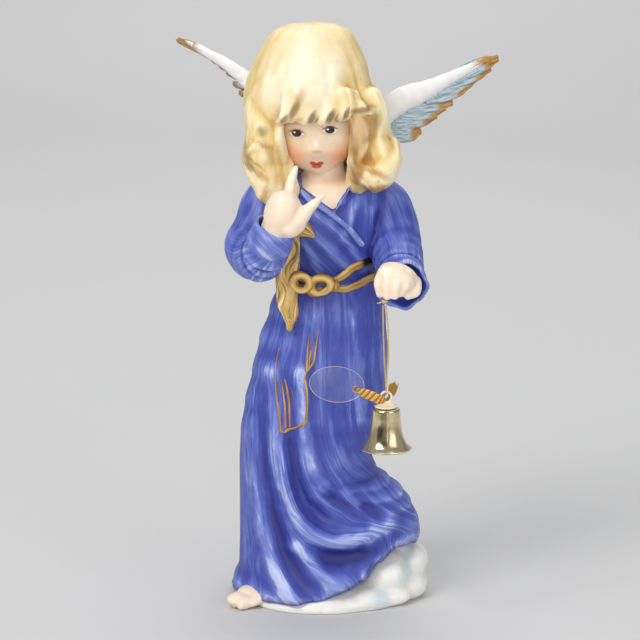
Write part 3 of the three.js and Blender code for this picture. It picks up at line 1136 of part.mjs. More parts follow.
const tipGrown = locks(LOCK_SHARES.lockTip, GAP, 4);
const hairOnRobe = [longLockGrown, rightCuffGrown, rightHandGrown];
addPiece('hair_lock_tip', cut(locks(LOCK_SHARES.lockTip, 0, 4), [bodiceGrown, ...hairOnRobe]), blond);
const wrap = wrapBand(WRAP_SHARES);
addPiece('wrap_edge', cut(wrap, [bodiceGrown, chestGrown, fallGrown, tipGrown, ...hairOnRobe,
  ...Object.values(sleeveGrown)]), blue);
addPiece('collar_edge', cut(wrapBand(COLLAR_SHARES), [bodiceGrown, chestGrown, wrapBand(WRAP_SHARES, GAP),
  curlGrown, neckColumn(GAP)]), blue);
const beltsGrown = [belt(BELT_UPPER_SHARE, GAP), belt(BELT_LOWER_SHARE, GAP)];
const bowCuts = [skirtGrown, bodiceGrown, longLockGrown, ...beltsGrown];
const heartGrown = oval(BOW_HEART_SHARES, GAP);
const knotGrown = oval(KNOT_SHARES, GAP);
addPiece('bow_loop_right', cut(bowLoop(BOW_LOOP_SHARES[0]), [...bowCuts, heartGrown]), goldPaint);
addPiece('bow_loop_left', cut(bowLoop(BOW_LOOP_SHARES[1]), [...bowCuts, heartGrown, knotGrown]), goldPaint);
addPiece('bow_heart', cut(oval(BOW_HEART_SHARES), bowCuts), goldPaint);
addPiece('belt_knot', cut(oval(KNOT_SHARES), bowCuts), goldPaint);
const bowGrown = [heartGrown, ...BOW_LOOP_SHARES.map((loop) => bowLoop(loop, GAP))];
addPiece('sash_long', cut(sash(SASH_LONG_SHARES, SASH_LONG_HALF_SHARE), [skirtGrown, longLockGrown,
  ...bowGrown]), blue);
addPiece('sash_short', cut(sash(SASH_SHORT_SHARES, SASH_SHORT_HALF_SHARE),
  [skirtGrown, sash(SASH_LONG_SHARES, SASH_LONG_HALF_SHARE, GAP), ...bowGrown]), blue);

for (const [name, solid, colour] of [
  ['bell_shell', bellShell(), brass], ['bell_crown', bellCrown(), ivory],
  ['clapper_staple', clapperStaple(), brass],
  ['clapper_wire', clapperWire(), brass], ['clapper_ball', clapperBall(), brass],
  ['hanging_cord', hangingCord(), goldCord],
  ['cord_knot', cordKnot(), goldCord], ['tag', tag(), clear], ['tag_tie', tagTie(), goldPaint],
]) {
  addPiece(name, solid, colour);
}

// The origin lies on the ground, in the middle of everything seen from above.
const box = new THREE.Box3().setFromObject(figurine);
const middle = box.getCenter(new THREE.Vector3());
figurine.position.set(-middle.x, -middle.y, -box.min.z);

export default figurine;
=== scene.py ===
"""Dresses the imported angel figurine: painted bisque, glazed cloud, brass bell, gold cord and clear tag."""

import logging
import math
from collections.abc import Callable
from dataclasses import dataclass, field
from enum import Enum

import bmesh
import bpy
import numpy as np
from mathutils import Matrix, Vector


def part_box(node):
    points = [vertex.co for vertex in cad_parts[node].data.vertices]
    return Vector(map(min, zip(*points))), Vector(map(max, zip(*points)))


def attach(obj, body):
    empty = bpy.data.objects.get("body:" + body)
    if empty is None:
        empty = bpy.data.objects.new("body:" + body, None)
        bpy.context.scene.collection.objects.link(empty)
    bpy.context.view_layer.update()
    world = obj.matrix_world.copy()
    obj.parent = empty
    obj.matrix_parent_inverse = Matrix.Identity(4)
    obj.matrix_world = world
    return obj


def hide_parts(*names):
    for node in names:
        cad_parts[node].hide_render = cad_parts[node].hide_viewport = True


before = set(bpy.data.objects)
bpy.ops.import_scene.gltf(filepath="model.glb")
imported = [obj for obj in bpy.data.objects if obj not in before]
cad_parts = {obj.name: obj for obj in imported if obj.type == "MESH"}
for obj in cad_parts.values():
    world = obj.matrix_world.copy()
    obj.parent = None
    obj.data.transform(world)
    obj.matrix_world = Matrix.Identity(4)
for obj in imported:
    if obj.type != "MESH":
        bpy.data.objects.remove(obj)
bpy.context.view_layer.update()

LOG = logging.getLogger("angel")

MM = 0.001
BELL_AXIS = (24.5, -51.0)

Point = tuple[float, float, float]
Pair = tuple[float, float]
Track = tuple[Pair, ...]
Colour = tuple[float, float, float]
Piece = bpy.types.Object
Mesh = bmesh.types.BMesh
Socket = bpy.types.NodeSocket


class Step(Enum):
    """How a value passes from one end of a span to the other."""

    SOFT = "SMOOTHSTEP"
    STRAIGHT = "LINEAR"


@dataclass(frozen=True)
class FigureFrame:
    """The figure's own frame in millimetres, and where its origin lies in the row's frame."""

    offset: Vector

    def at(self, point: Point) -> Vector:
        """The place in metres of a point in millimetres.

        Args:
            point: x, y and z in the figure's frame.

        Returns:
            The same place in the row's frame.
        """
        return (Vector(point) + self.offset) * MM

    def array(self, points: np.ndarray) -> np.ndarray:
        """Rows of points in millimetres as places in metres."""
        return (points + np.array(self.offset)) * MM

    def local(self, places: np.ndarray) -> np.ndarray:
        """Rows of places in metres as points in millimetres."""
        return places / MM - np.array(self.offset)


def find_figure_frame() -> FigureFrame:
    """Works the figure's frame out from where the bell's shell stands.

    Returns:
        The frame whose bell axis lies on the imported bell's axis.
    """
    low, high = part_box("bell_shell")
    middle = (low + high) / 2 / MM
    return FigureFrame(Vector((middle.x - BELL_AXIS[0], middle.y - BELL_AXIS[1], 0.0)))


FIGURE = find_figure_frame()
GLAZE_ROUGHNESS = 0.22
BISQUE_DEPTHS = (0.0012, 0.0009, 0.0007)
PICTURE_PIXELS = 640
TANGENT_REACH = 0.01
FLOW_SAMPLES = 50
FLOW_BATCH = 20000


# Curves, tables and vertex fields


def smooth_step(value: np.ndarray) -> np.ndarray:
    """A soft step from 0 to 1."""
    value = np.clip(value, 0.0, 1.0)
    return value * value * (3.0 - 2.0 * value)


def hump(value: np.ndarray, middle: float, width: float) -> np.ndarray:
    """A smooth hump that is 1 at the middle and fades with the distance from it."""
    return np.exp(-(((value - middle) / width) ** 2))


def look_up(table: Track, key: np.ndarray) -> np.ndarray:
    """Values of a table of (key, value) rows with soft steps between the rows.

    Args:
        table: rows with rising keys.
        key: where to read the table.

    Returns:
        One value for each key.
    """
    keys = np.array([row[0] for row in table])
    values = np.array([row[1] for row in table])
    key = np.asarray(key, float)
    spot = np.clip(np.searchsorted(keys, key) - 1, 0, len(keys) - 2)
    share = smooth_step((key - keys[spot]) / (keys[spot + 1] - keys[spot]))
    return values[spot] + (values[spot + 1] - values[spot]) * share


def along(values: tuple[float, ...], t: np.ndarray) -> np.ndarray:
    """Evenly spaced values read at t, from 0 to 1, with soft steps."""
    spots = tuple((index / (len(values) - 1), value) for index, value in enumerate(values))
    return look_up(spots, t)


def spline(stations: tuple[Point, ...], t: np.ndarray) -> np.ndarray:
    """Points on a smooth line through the stations.

    Args:
        stations: the points that the line passes.
        t: where to read it, from 0 to 1, evenly over the stations.

    Returns:
        One row of x, y and z for each t.
    """
    points = np.array(stations, float)
    padded = np.vstack([2 * points[0] - points[1], points, 2 * points[-1] - points[-2]])
    spot = np.clip(np.asarray(t, float), 0, 1) * (len(points) - 1)
    low = np.clip(spot.astype(int), 0, len(points) - 2)
    share = (spot - low)[:, None]
    a, b, c, d = (padded[low + shift] for shift in range(4))
    return 0.5 * (2 * b + (c - a) * share + (2 * a - 5 * b + 4 * c - d) * share**2 + (3 * b - a - 3 * c + d) * share**3)


def full_turn(count: int) -> np.ndarray:
    """The angles of a full turn in even steps."""
    return np.linspace(0.0, 2 * np.pi, count, endpoint=False)


def unit_rows(rows: np.ndarray) -> np.ndarray:
    """Each row with a length of one."""
    return rows / np.maximum(np.linalg.norm(rows, axis=1, keepdims=True), 1e-9)


def ripple(points: np.ndarray, pitch: float, seed: int) -> np.ndarray:
    """A soft random field, the same each run.

    Args:
        points: rows of x, y and z in millimetres.
        pitch: the size of its swells in millimetres.
        seed: picks the field.

    Returns:
        Values of about -1 to 1.
    """
    dice = np.random.default_rng(seed)
    total = np.zeros(len(points))
    for _ in range(9):
        way = dice.normal(size=3)
        way /= np.linalg.norm(way)
        total += np.sin(points @ way * (2 * math.pi / pitch) * dice.uniform(0.6, 1.5) + dice.uniform(0, 2 * math.pi))
    return total / 4.5


# Mesh making


def piece_from(name: str, bm: Mesh, smooth: bool = True) -> Piece:
    """Makes an object of a bmesh and links it.

    Args:
        name: the piece's name.
        bm: its mesh, which is freed.
        smooth: whether its faces shade smoothly.

    Returns:
        The new object at the origin.
    """
    mesh = bpy.data.meshes.new(name)
    bm.to_mesh(mesh)
    bm.free()
    piece = bpy.data.objects.new(name, mesh)
    bpy.context.scene.collection.objects.link(piece)
    mesh.polygons.foreach_set("use_smooth", [smooth] * len(mesh.polygons))
    return piece


def loft(bm: Mesh, rings: np.ndarray, closed: bool = False) -> None:
    """Skins rings of equal counts: a grid is laid over them, welded along its seam and capped.

    Args:
        bm: where the surface goes.
        rings: an array of rings, sides and x, y, z, in millimetres in the figure's frame.
        closed: whether the last ring joins the first.
    """
    if closed:
        rings = np.concatenate([rings, rings[:1]])
    levels, sides = rings.shape[:2]
    rings = np.concatenate([rings, rings[:, :1]], axis=1)
    places = FIGURE.array(rings.reshape(-1, 3))
    uv_layer = bm.loops.layers.uv.get("UVMap") or bm.loops.layers.uv.new("UVMap")
    made = bmesh.ops.create_grid(bm, x_segments=sides, y_segments=levels - 1, size=1.0, calc_uvs=False)
    verts = sorted(made["verts"], key=lambda vert: (round(vert.co.y, 6), round(vert.co.x, 6)))
    for face in {face for vert in verts for face in vert.link_faces}:
        for loop in face.loops:
            loop[uv_layer].uv = (loop.vert.co.xy + Vector((1.0, 1.0))) / 2
    for vert, place in zip(verts, places):
        vert.co = place
    bmesh.ops.remove_doubles(bm, verts=verts, dist=1e-7)
    if not closed:
        rims = [edge for edge in bm.edges if edge.is_boundary]
        bmesh.ops.holes_fill(bm, edges=rims, sides=0)
    bmesh.ops.recalc_face_normals(bm, faces=bm.faces[:])


@dataclass(frozen=True)
class Strand:
    """An oval section along a smooth line, in millimetres in the figure's frame."""

    stations: tuple[Point, ...]
    half_widths: tuple[float, ...]
    half_depths: tuple[float, ...]
    across: Point
    sides: int
    steps: int
    round_ends: float = 1.0
    grooves: int = 0
    groove_depth: float = 0.0
    twist: float = 0.0

    def ways(self, t: np.ndarray) -> tuple[np.ndarray, np.ndarray, np.ndarray, np.ndarray]:
        """The middle line and the ways along it, across it and square to both.

        Args:
            t: where to read them, from 0 to 1.

        Returns:
            Four arrays with one row of x, y and z for each t.
        """
        low, high = np.clip(t - TANGENT_REACH, 0, 1), np.clip(t + TANGENT_REACH, 0, 1)
        onward = unit_rows(spline(self.stations, high) - spline(self.stations, low))
        across = np.tile(np.array(self.across, float), (len(t), 1))
        first = unit_rows(across - onward * np.sum(across * onward, axis=1, keepdims=True))
        return spline(self.stations, t), onward, first, np.cross(onward, first)

    def rings(self) -> np.ndarray:
        """The strand's sections from end to end.

        Returns:
            An array of rings, sides and x, y, z.
        """
        body = np.linspace(0.0, 1.0, self.steps + 1)
        cap = np.linspace(math.pi / 2, 0.0, 8)[1:-1]
        t = np.concatenate([np.zeros(len(cap)), body, np.ones(len(cap))])
        size = np.concatenate([np.cos(cap), np.ones(len(body)), np.cos(cap[::-1])])
        push = np.concatenate([-np.sin(cap), np.zeros(len(body)), np.sin(cap[::-1])])
        wide, deep = along(self.half_widths, t), along(self.half_depths, t)
        centre, onward, first, second = self.ways(t)
        centre = centre + onward * (push * np.minimum(wide, deep) * self.round_ends)[:, None]
        angle = full_turn(self.sides)
        swell = 1.0 + self.groove_depth * np.cos(self.grooves * angle)
        lean = angle[None, :] + self.twist * t[:, None]
        x = (wide * size)[:, None] * np.cos(lean) * swell[None, :]
        y = (deep * size)[:, None] * np.sin(lean) * swell[None, :]
        return centre[:, None, :] + first[:, None, :] * x[..., None] + second[:, None, :] * y[..., None]

    def add_to(self, bm: Mesh) -> None:
        """Adds the strand's closed surface to a bmesh.

        Args:
            bm: where the strand goes.
        """
        part = bmesh.new()
        loft(part, self.rings())
        merge_into(bm, part)


def merge_into(bm: Mesh, part: Mesh) -> None:
    """Adds one bmesh to another and frees it.

    Args:
        bm: the bmesh that stays.
        part: the bmesh that is added and freed.
    """
    holder = bpy.data.meshes.new("holder")
    part.to_mesh(holder)
    part.free()
    bm.from_mesh(holder)
    bpy.data.meshes.remove(holder)


def turn_matrix(turns: Point) -> Matrix:
    """The turns about X, then Y, then Z."""
    return Matrix.Rotation(turns[2], 3, "Z") @ Matrix.Rotation(turns[1], 3, "Y") @ Matrix.Rotation(turns[0], 3, "X")


def add_egg(bm: Mesh, at: Point, half: Point, turns: Point = (0.0, 0.0, 0.0), detail: int = 32) -> None:
    """Adds an egg of three half-sizes, in millimetres in the figure's frame.

    Args:
        bm: where the egg goes.
        at: its centre.
        half: its half-sizes.
        turns: its turns about X, then Y, then Z.
        detail: how many sides it has.
    """
    place = Matrix.Translation(FIGURE.at(at)) @ turn_matrix(turns).to_4x4() @ Matrix.Diagonal(
        (*(Vector(half) * MM), 1.0))
    bmesh.ops.create_uvsphere(bm, u_segments=detail, v_segments=detail // 2, radius=1.0, matrix=place, calc_uvs=True)


def points_of(piece: Piece) -> np.ndarray:
    """The piece's vertices as rows, in metres.

    Args:
        piece: the piece.

    Returns:
        An array of vertices and x, y, z.
    """
    flat = np.empty(len(piece.data.vertices) * 3, np.float32)
    piece.data.vertices.foreach_get("co", flat)
    return flat.reshape(-1, 3).astype(float)


def set_points(piece: Piece, points: np.ndarray) -> None:
    """Moves the piece's vertices to the rows, in metres."""
    piece.data.vertices.foreach_set("co", points.astype(np.float32).ravel())
    piece.data.update()


def normals_of(piece: Piece) -> np.ndarray:
    """The piece's vertex normals as rows.

    Args:
        piece: the piece.

    Returns:
        An array of vertices and x, y, z.
    """
    flat = np.empty(len(piece.data.vertices) * 3, np.float32)
    piece.data.vertices.foreach_get("normal", flat)
    return flat.reshape(-1, 3).astype(float)


def push_out(piece: Piece, rise: np.ndarray) -> None:
    """Moves each vertex along its normal by its rise in millimetres."""
    set_points(piece, points_of(piece) + normals_of(piece) * (rise * MM)[:, None])


def smoothed_field(piece: Piece, field_rows: np.ndarray, rounds: int) -> np.ndarray:
    """A vertex field averaged over neighbours many times.

    Args:
        piece: the piece whose edges tell the neighbours.
        field_rows: one row for each vertex.
        rounds: how many times it is averaged.

    Returns:
        The smoothed rows.
    """
    edges = np.empty(len(piece.data.edges) * 2, np.int32)
    piece.data.edges.foreach_get("vertices", edges)
    start, end = edges.reshape(-1, 2).T
    count = len(piece.data.vertices)
    degree = np.maximum(np.bincount(start, minlength=count) + np.bincount(end, minlength=count), 1)
    result = field_rows.astype(float)
    for _ in range(rounds):
        total = np.zeros_like(result)
        for column in range(result.shape[1]):
            total[:, column] = (np.bincount(start, result[end, column], count)
                                + np.bincount(end, result[start, column], count))
        result = 0.35 * result + 0.65 * total / degree[:, None]
    return result


def store(piece: Piece, name: str, values: np.ndarray) -> None:
    """Keeps a value on each vertex under a name that a material reads."""
    layer = piece.data.attributes.get(name) or piece.data.attributes.new(name, "FLOAT", "POINT")
    layer.data.foreach_set("value", values.astype(np.float32))


def store_relief(piece: Piece, rounds: int, span: float) -> None:
    """Keeps how far each vertex stands above or below its surroundings as relief, from -1 to 1.

    Args:
        piece: the piece.
        rounds: how widely the surroundings reach.
        span: the height in millimetres that counts as full relief.
    """
    points = points_of(piece)
    lifted = np.sum((points - smoothed_field(piece, points, rounds)) * normals_of(piece), axis=1)
    spread = smoothed_field(piece, (lifted / (span * MM))[:, None], 3)[:, 0]
    store(piece, "relief", np.clip(spread, -1.0, 1.0))


def remesh(piece: Piece, pitch: float, rounds: int, strength: float = 0.6) -> None:
    """Fuses a piece's parts into one skin by voxels and smooths it.

    Args:
        piece: the piece, which is changed.
        pitch: the voxels' size in millimetres.
        rounds: how many times its vertices are smoothed.
        strength: how far each round moves them, from 0 to 1.
    """
    melt = piece.modifiers.new("Melt", "REMESH")
    melt.mode = "VOXEL"
    melt.voxel_size = pitch * MM
    melt.use_smooth_shade = True
    apply_modifiers(piece)
    bm = bmesh.new()
    bm.from_mesh(piece.data)
    for _ in range(rounds):
        bmesh.ops.smooth_vert(bm, verts=bm.verts, factor=strength, use_axis_x=True, use_axis_y=True, use_axis_z=True)
    bm.to_mesh(piece.data)
    bm.free()
    piece.data.polygons.foreach_set("use_smooth", [True] * len(piece.data.polygons))


def apply_modifiers(piece: Piece) -> None:
    """Bakes the piece's modifiers into its mesh.

    Args:
        piece: the piece with its modifiers.
    """
    graph = bpy.context.evaluated_depsgraph_get()
    baked = bpy.data.meshes.new_from_object(piece.evaluated_get(graph))
    old = piece.data
    piece.modifiers.clear()
    piece.data = baked
    bpy.data.meshes.remove(old)


# Materials


@dataclass(frozen=True)
class Bench:
    """Lays out the nodes of one tree with short calls."""

    tree: bpy.types.NodeTree

    def node(self, kind: str, **settings: object) -> bpy.types.Node:
        """A new node with its settings and with its inputs filled by name or number.

        Args:
            kind: the node's type.
            settings: properties of the node; "inputs" holds a dictionary of socket values or links.

        Returns:
            The node.
        """
        inputs = settings.pop("inputs", {})
        made = self.tree.nodes.new(kind)
        for name, value in settings.items():
            setattr(made, name, value)
        for key, value in inputs.items():
            self.fill(made.inputs[key], value)
        return made

    def fill(self, socket: Socket, value: object) -> None:
        """Links a socket to another or sets its value.

        Args:
            socket: the input.
            value: a socket, or what the input is set to.
        """
        if isinstance(value, Socket):
            self.tree.links.new(value, socket)
        elif isinstance(value, tuple) and len(value) == 3 and socket.type == "RGBA":
            socket.default_value = (*value, 1.0)
        else:
            socket.default_value = value

    def math(self, operation: str, first: object, second: object = 0.0) -> Socket:
        """The result of a sum on numbers."""
        return self.node("ShaderNodeMath", operation=operation, inputs={0: first, 1: second}).outputs[0]

    def vector(self, operation: str, first: object, second: object = (0.0, 0.0, 0.0)) -> Socket:
        """The result of a sum on vectors."""
        made = self.node("ShaderNodeVectorMath", operation=operation, inputs={0: first, 1: second})
        return made.outputs["Value" if operation == "LENGTH" else "Vector"]

    def span(self, value: object, low: object, high: object, to_low: float = 0.0, to_high: float = 1.0,
             step: Step = Step.SOFT) -> Socket:
        """A value from one span set onto another.

        Args:
            value: the value.
            low: where the first span starts.
            high: where it ends.
            to_low: where the second span starts.
            to_high: where it ends.
            step: how the value goes between the two ends.

        Returns:
            The value on the second span.
        """
        made = self.node("ShaderNodeMapRange", interpolation_type=step.value,
                         inputs={"Value": value, "From Min": low, "From Max": high, "To Min": to_low,
                                 "To Max": to_high})
        return made.outputs["Result"]

    def mix(self, share: object, first: object, second: object) -> Socket:
        """Two colours mixed by a share.

        Args:
            share: how much of the second colour shows.
            first: the colour under it.
            second: the colour that comes in.

        Returns:
            The mixed colour.
        """
        made = self.node("ShaderNodeMix", data_type="RGBA", clamp_factor=True)
        colours = [socket for socket in made.inputs if socket.type == "RGBA"]
        self.fill(made.inputs[0], share)
        self.fill(colours[0], first)
        self.fill(colours[1], second)
        return next(socket for socket in made.outputs if socket.type == "RGBA")

    def noise(self, vector: object, scale: float, detail: float = 3.0, roughness: float = 0.55) -> Socket:
        """A noise of about 0 to 1."""
        inputs = {"Vector": vector, "Scale": scale, "Detail": detail, "Roughness": roughness}
        return self.node("ShaderNodeTexNoise", inputs=inputs).outputs["Fac"]

    def stretched(self, vector: object, scale: Point) -> Socket:
        """Stretched coordinates.

        Args:
            vector: the coordinates.
            scale: what each axis is multiplied by.

        Returns:
            The stretched coordinates.
        """
        made = self.node("ShaderNodeMapping", vector_type="POINT",
                         inputs={"Vector": vector, "Scale": scale})
        return made.outputs["Vector"]

    def attribute(self, name: str) -> Socket:
        """A stored value of the mesh."""
        return self.node("ShaderNodeAttribute", attribute_name=name).outputs["Fac"]

    def joined(self, parts: dict[int, object]) -> Socket:
        """Numbers joined to a vector, each at its place."""
        return self.node("ShaderNodeCombineXYZ", inputs=parts).outputs[0]

    def stroke(self) -> Socket:
        """The stored coordinates across and along the brush strokes."""
        return self.joined({0: self.attribute("across"), 1: self.attribute("lengthwise")})

    def place(self) -> Socket:
        """The Object coordinates, in metres in the row's frame."""
        return self.node("ShaderNodeTexCoord").outputs["Object"]

    def uv(self) -> Socket:
        """The piece's own UV coordinates."""
        return self.node("ShaderNodeUVMap", uv_map="UVMap").outputs["UV"]

    def bump(self, height: object, strength: float, distance: float) -> Socket:
        """A normal roughened by a height in millimetres."""
        made = self.node("ShaderNodeBump", inputs={"Height": height, "Strength": strength, "Distance": distance * MM})
        return made.outputs["Normal"]


def new_material(name: str) -> tuple[bpy.types.Material, Bench, bpy.types.Node]:
    """Starts a material.

    Args:
        name: its name.

    Returns:
        The material, a bench for its nodes and its shader.
    """
    material = bpy.data.materials.new(name)
    material.use_nodes = True
    return material, Bench(material.node_tree), material.node_tree.nodes["Principled BSDF"]


def new_group(name: str, inputs: dict[str, str], outputs: dict[str, str]) -> tuple[Bench, dict, bpy.types.Node]:
    """Starts a node group.

    Args:
        name: its name.
        inputs: its input names with their socket types.
        outputs: its output names with their socket types.

    Returns:
        The bench to work at, the input sockets by name, and the output node.
    """
    tree = bpy.data.node_groups.new(name, "ShaderNodeTree")
    for direction, sockets in (("INPUT", inputs), ("OUTPUT", outputs)):
        for label, kind in sockets.items():
            tree.interface.new_socket(name=label, in_out=direction, socket_type=kind)
    bench = Bench(tree)
    source = bench.node("NodeGroupInput")
    sink = bench.node("NodeGroupOutput")
    return bench, {label: source.outputs[label] for label in inputs}, sink


FLOAT = "NodeSocketFloat"
VECTOR = "NodeSocketVector"
COLOUR = "NodeSocketColor"


def make_oval_group() -> bpy.types.NodeTree:
    """The mask of an oval painted square to the front: 1 inside and 0 outside.

    Returns:
        The node group.
    """
    inputs = {"Place": VECTOR, "Centre": VECTOR, "Half": VECTOR, "Turn": FLOAT, "Softness": FLOAT}
    bench, given, sink = new_group("Painted oval", inputs, {"Mask": FLOAT})
    away = bench.vector("SUBTRACT", given["Place"], given["Centre"])
    turned = bench.node("ShaderNodeVectorRotate", rotation_type="Y_AXIS",
                        inputs={"Vector": away, "Angle": given["Turn"]})
    scaled = bench.vector("DIVIDE", turned.outputs[0], given["Half"])
    flat = bench.vector("MULTIPLY", scaled, (1.0, 0.0, 1.0))
    depth = bench.node("ShaderNodeSeparateXYZ", inputs={0: given["Place"]}).outputs[1]
    front = bench.span(depth, -0.005, 0.0, 1.0, 0.0)
    outer = bench.math("ADD", 1.0, given["Softness"])
    inner = bench.math("SUBTRACT", 1.0, given["Softness"])
    mask = bench.span(bench.vector("LENGTH", flat), inner, outer, 1.0, 0.0)
    bench.fill(sink.inputs["Mask"], bench.math("MULTIPLY", mask, front))
    return bench.tree


def make_brush_group() -> bpy.types.NodeTree:
    """Brush strokes: four tones laid on by relief, lighter on crests as painted highlight and darker in hollows as
    painted shade, partly also paint that thins and pools; streaks along the stroke's way and pooled wash.

    Returns:
        The node group.
    """
    inputs = {"Stroke": VECTOR, "Place": VECTOR, "Relief": FLOAT, "Dark": COLOUR, "Middle": COLOUR, "Light": COLOUR,
              "Crest": COLOUR, "Streaks": FLOAT, "Form": FLOAT}
    bench, given, sink = new_group("Brushed colour", inputs, {"Colour": COLOUR, "Height": FLOAT})
    fine = bench.noise(bench.stretched(given["Stroke"], (1.5, 0.075, 1.0)), 1.0, detail=5.0, roughness=0.7)
    broad = bench.noise(bench.stretched(given["Stroke"], (0.42, 0.03, 1.0)), 1.0, roughness=0.6)
    wash = bench.noise(given["Place"], 55.0, detail=2.0)
    both = bench.math("ADD", bench.math("MULTIPLY", fine, 0.48), bench.math("MULTIPLY", broad, 0.52))
    pushed = bench.math("MULTIPLY", bench.math("SUBTRACT", both, 0.5), bench.math("MULTIPLY", given["Streaks"], 2.6))
    drift = bench.math("MULTIPLY", bench.math("SUBTRACT", wash, 0.5), 0.8)
    # Relief sets the tone: painted highlight on the crests and painted shade in the hollows, partly also paint that
    # thins and pools.
    formed = bench.math("MULTIPLY", given["Relief"], given["Form"])
    level = bench.math("ADD", bench.math("ADD", formed, pushed), drift)
    low = bench.mix(bench.span(level, -1.15, -0.1, step=Step.STRAIGHT), given["Dark"], given["Middle"])
    high = bench.mix(bench.span(level, 0.0, 0.75, step=Step.STRAIGHT), low, given["Light"])
    top = bench.mix(bench.span(level, 0.7, 1.35), high, given["Crest"])
    bench.fill(sink.inputs["Colour"], top)
    bench.fill(sink.inputs["Height"], both)
    return bench.tree


def make_grain_group() -> bpy.types.NodeTree:
    """The fine grain of fired bisque and the softer unevenness of its cast skin.

    Returns:
        The node group.
    """
    bench, given, sink = new_group("Bisque grain", {"Place": VECTOR}, {"Height": FLOAT, "Tone": FLOAT})
    fine = bench.noise(given["Place"], 1900.0, detail=2.0)
    broad = bench.noise(given["Place"], 260.0)
    bench.fill(sink.inputs["Height"], bench.math("ADD", bench.math("MULTIPLY", fine, 0.4), broad))
    bench.fill(sink.inputs["Tone"], bench.span(broad, 0.3, 0.7, 0.94, 1.04, step=Step.STRAIGHT))
    return bench.tree


@dataclass
class Groups:
    """The node groups that the materials share."""

    oval: bpy.types.NodeTree = field(default_factory=make_oval_group)
    brush: bpy.types.NodeTree = field(default_factory=make_brush_group)
    grain: bpy.types.NodeTree = field(default_factory=make_grain_group)


GROUPS = Groups()


@dataclass(frozen=True)
class Spot:
    """An oval of paint on the front: its place and half-sizes in millimetres in the figure's frame."""

    at: Pair
    half: Pair
    colour: Colour
    turn: float = 0.0
    soft: float = 0.35
    strength: float = 1.0


@dataclass(frozen=True)
class Paint:
    """A brushed paint on bisque."""

    name: str
    # The tones run from the hollows to the crests: the dark one is painted shade and the crest one painted highlight,
    # partly also paint that pools and thins.
    dark: Colour
    middle: Colour
    light: Colour
    crest: Colour
    rough: float = 0.5
    streaks: float = 0.9
    # form: how far relief lightens crests and darkens hollows, as painted highlight and painted shade.
    form: float = 0.7
    flows: bool = False
    coat: float = 0.0
    sheen_under: float = 0.06
    spots: tuple[Spot, ...] = ()
    bump: float = 0.12
    ragged: float = 0.0
    metal: float = 0.0


def srgb(red: int, green: int, blue: int) -> Colour:
    """A screen colour of 0 to 255 as linear light."""
    return tuple((value / 255 / 12.92) if value <= 10 else ((value / 255 + 0.055) / 1.055) ** 2.4
                 for value in (red, green, blue))


def add_spots(bench: Bench, base: object, spots: tuple[Spot, ...], place: object) -> object:
    """Paints the spots over a colour, the later over the earlier.

    Args:
        bench: the material's bench.
        base: the colour under the spots.
        spots: the spots, first to last.
        place: the place on the piece.

    Returns:
        The colour with its spots.
    """
    for spot in spots:
        centre = FIGURE.at((spot.at[0], 0.0, spot.at[1]))
        made = bench.node("ShaderNodeGroup", node_tree=GROUPS.oval, inputs={
            "Place": place, "Centre": tuple(centre), "Half": (spot.half[0] * MM, 1.0, spot.half[1] * MM),
            "Turn": spot.turn, "Softness": spot.soft})
        share = bench.math("MULTIPLY", made.outputs["Mask"], spot.strength)
        base = bench.mix(share, base, spot.colour)
    return base


Extra = Callable[[Bench, object], object]


def painted(paint: Paint, extra: Extra | None = None) -> bpy.types.Material:
    """A bisque material painted with visible strokes.

    Args:
        paint: the paint.
        extra: a function of the bench and the colour that adds more paint, or None.

    Returns:
        The material.
    """
    material, bench, shader = new_material(paint.name)
    place = bench.place()
    if paint.flows:
        stroke = bench.stroke()
    else:
        stroke = bench.stretched(place, (1000.0, 1000.0, 1000.0))
    tones = {"Dark": paint.dark, "Middle": paint.middle, "Light": paint.light, "Crest": paint.crest}
    made = bench.node("ShaderNodeGroup", node_tree=GROUPS.brush, inputs={
        "Stroke": stroke, "Place": place, "Relief": bench.attribute("relief"), "Streaks": paint.streaks,
        "Form": paint.form, **tones})
    grain = bench.node("ShaderNodeGroup", node_tree=GROUPS.grain, inputs={"Place": place})
    colour = made.outputs["Colour"]
    if extra is not None:
        colour = extra(bench, colour)
    if paint.ragged:
        lean = bench.math("MULTIPLY", bench.math("SUBTRACT", made.outputs["Height"], 0.5), paint.ragged * MM)
        place = bench.vector("ADD", place, bench.joined({0: lean, 2: lean}))
    colour = add_spots(bench, colour, paint.spots, place)
    toned = bench.vector("SCALE", colour)
    bench.fill(toned.node.inputs["Scale"], grain.outputs["Tone"])
    bench.fill(shader.inputs["Base Color"], toned)
    height = bench.math("ADD", bench.math("MULTIPLY", made.outputs["Height"], 0.8), grain.outputs["Height"])
    bench.fill(shader.inputs["Normal"], bench.bump(height, 1.0, paint.bump))
    low, high = paint.rough - 0.06, paint.rough + 0.08
    bench.fill(shader.inputs["Roughness"], bench.span(made.outputs["Height"], 0.2, 0.8, low, high, Step.STRAIGHT))
    for socket, value in (("Coat Weight", paint.coat), ("Metallic", paint.metal), ("Coat Roughness", GLAZE_ROUGHNESS),
                          ("Subsurface Weight", paint.sheen_under), ("Subsurface Radius", BISQUE_DEPTHS),
                          ("Subsurface Scale", 1.0)):
        shader.inputs[socket].default_value = value
    return material


def dress(piece: Piece, material: bpy.types.Material, body: str) -> Piece:
    """Gives a piece its material and hangs it on a body of the frame.

    Args:
        piece: the piece.
        material: its material.
        body: the body that it hangs on.

    Returns:
        The same piece.
    """
    piece.data.materials.clear()
    piece.data.materials.append(material)
    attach(piece, body)
    LOG.info("%s: %d vertices on %s", piece.name, len(piece.data.vertices), body)
    return piece


# The shapes' tables, in shares of 100 mm


@dataclass(frozen=True)
class Fold:
    """A ridge, or with a negative rise a valley, along a track seen from the front."""

    track: Track
    rise: float
    width: float


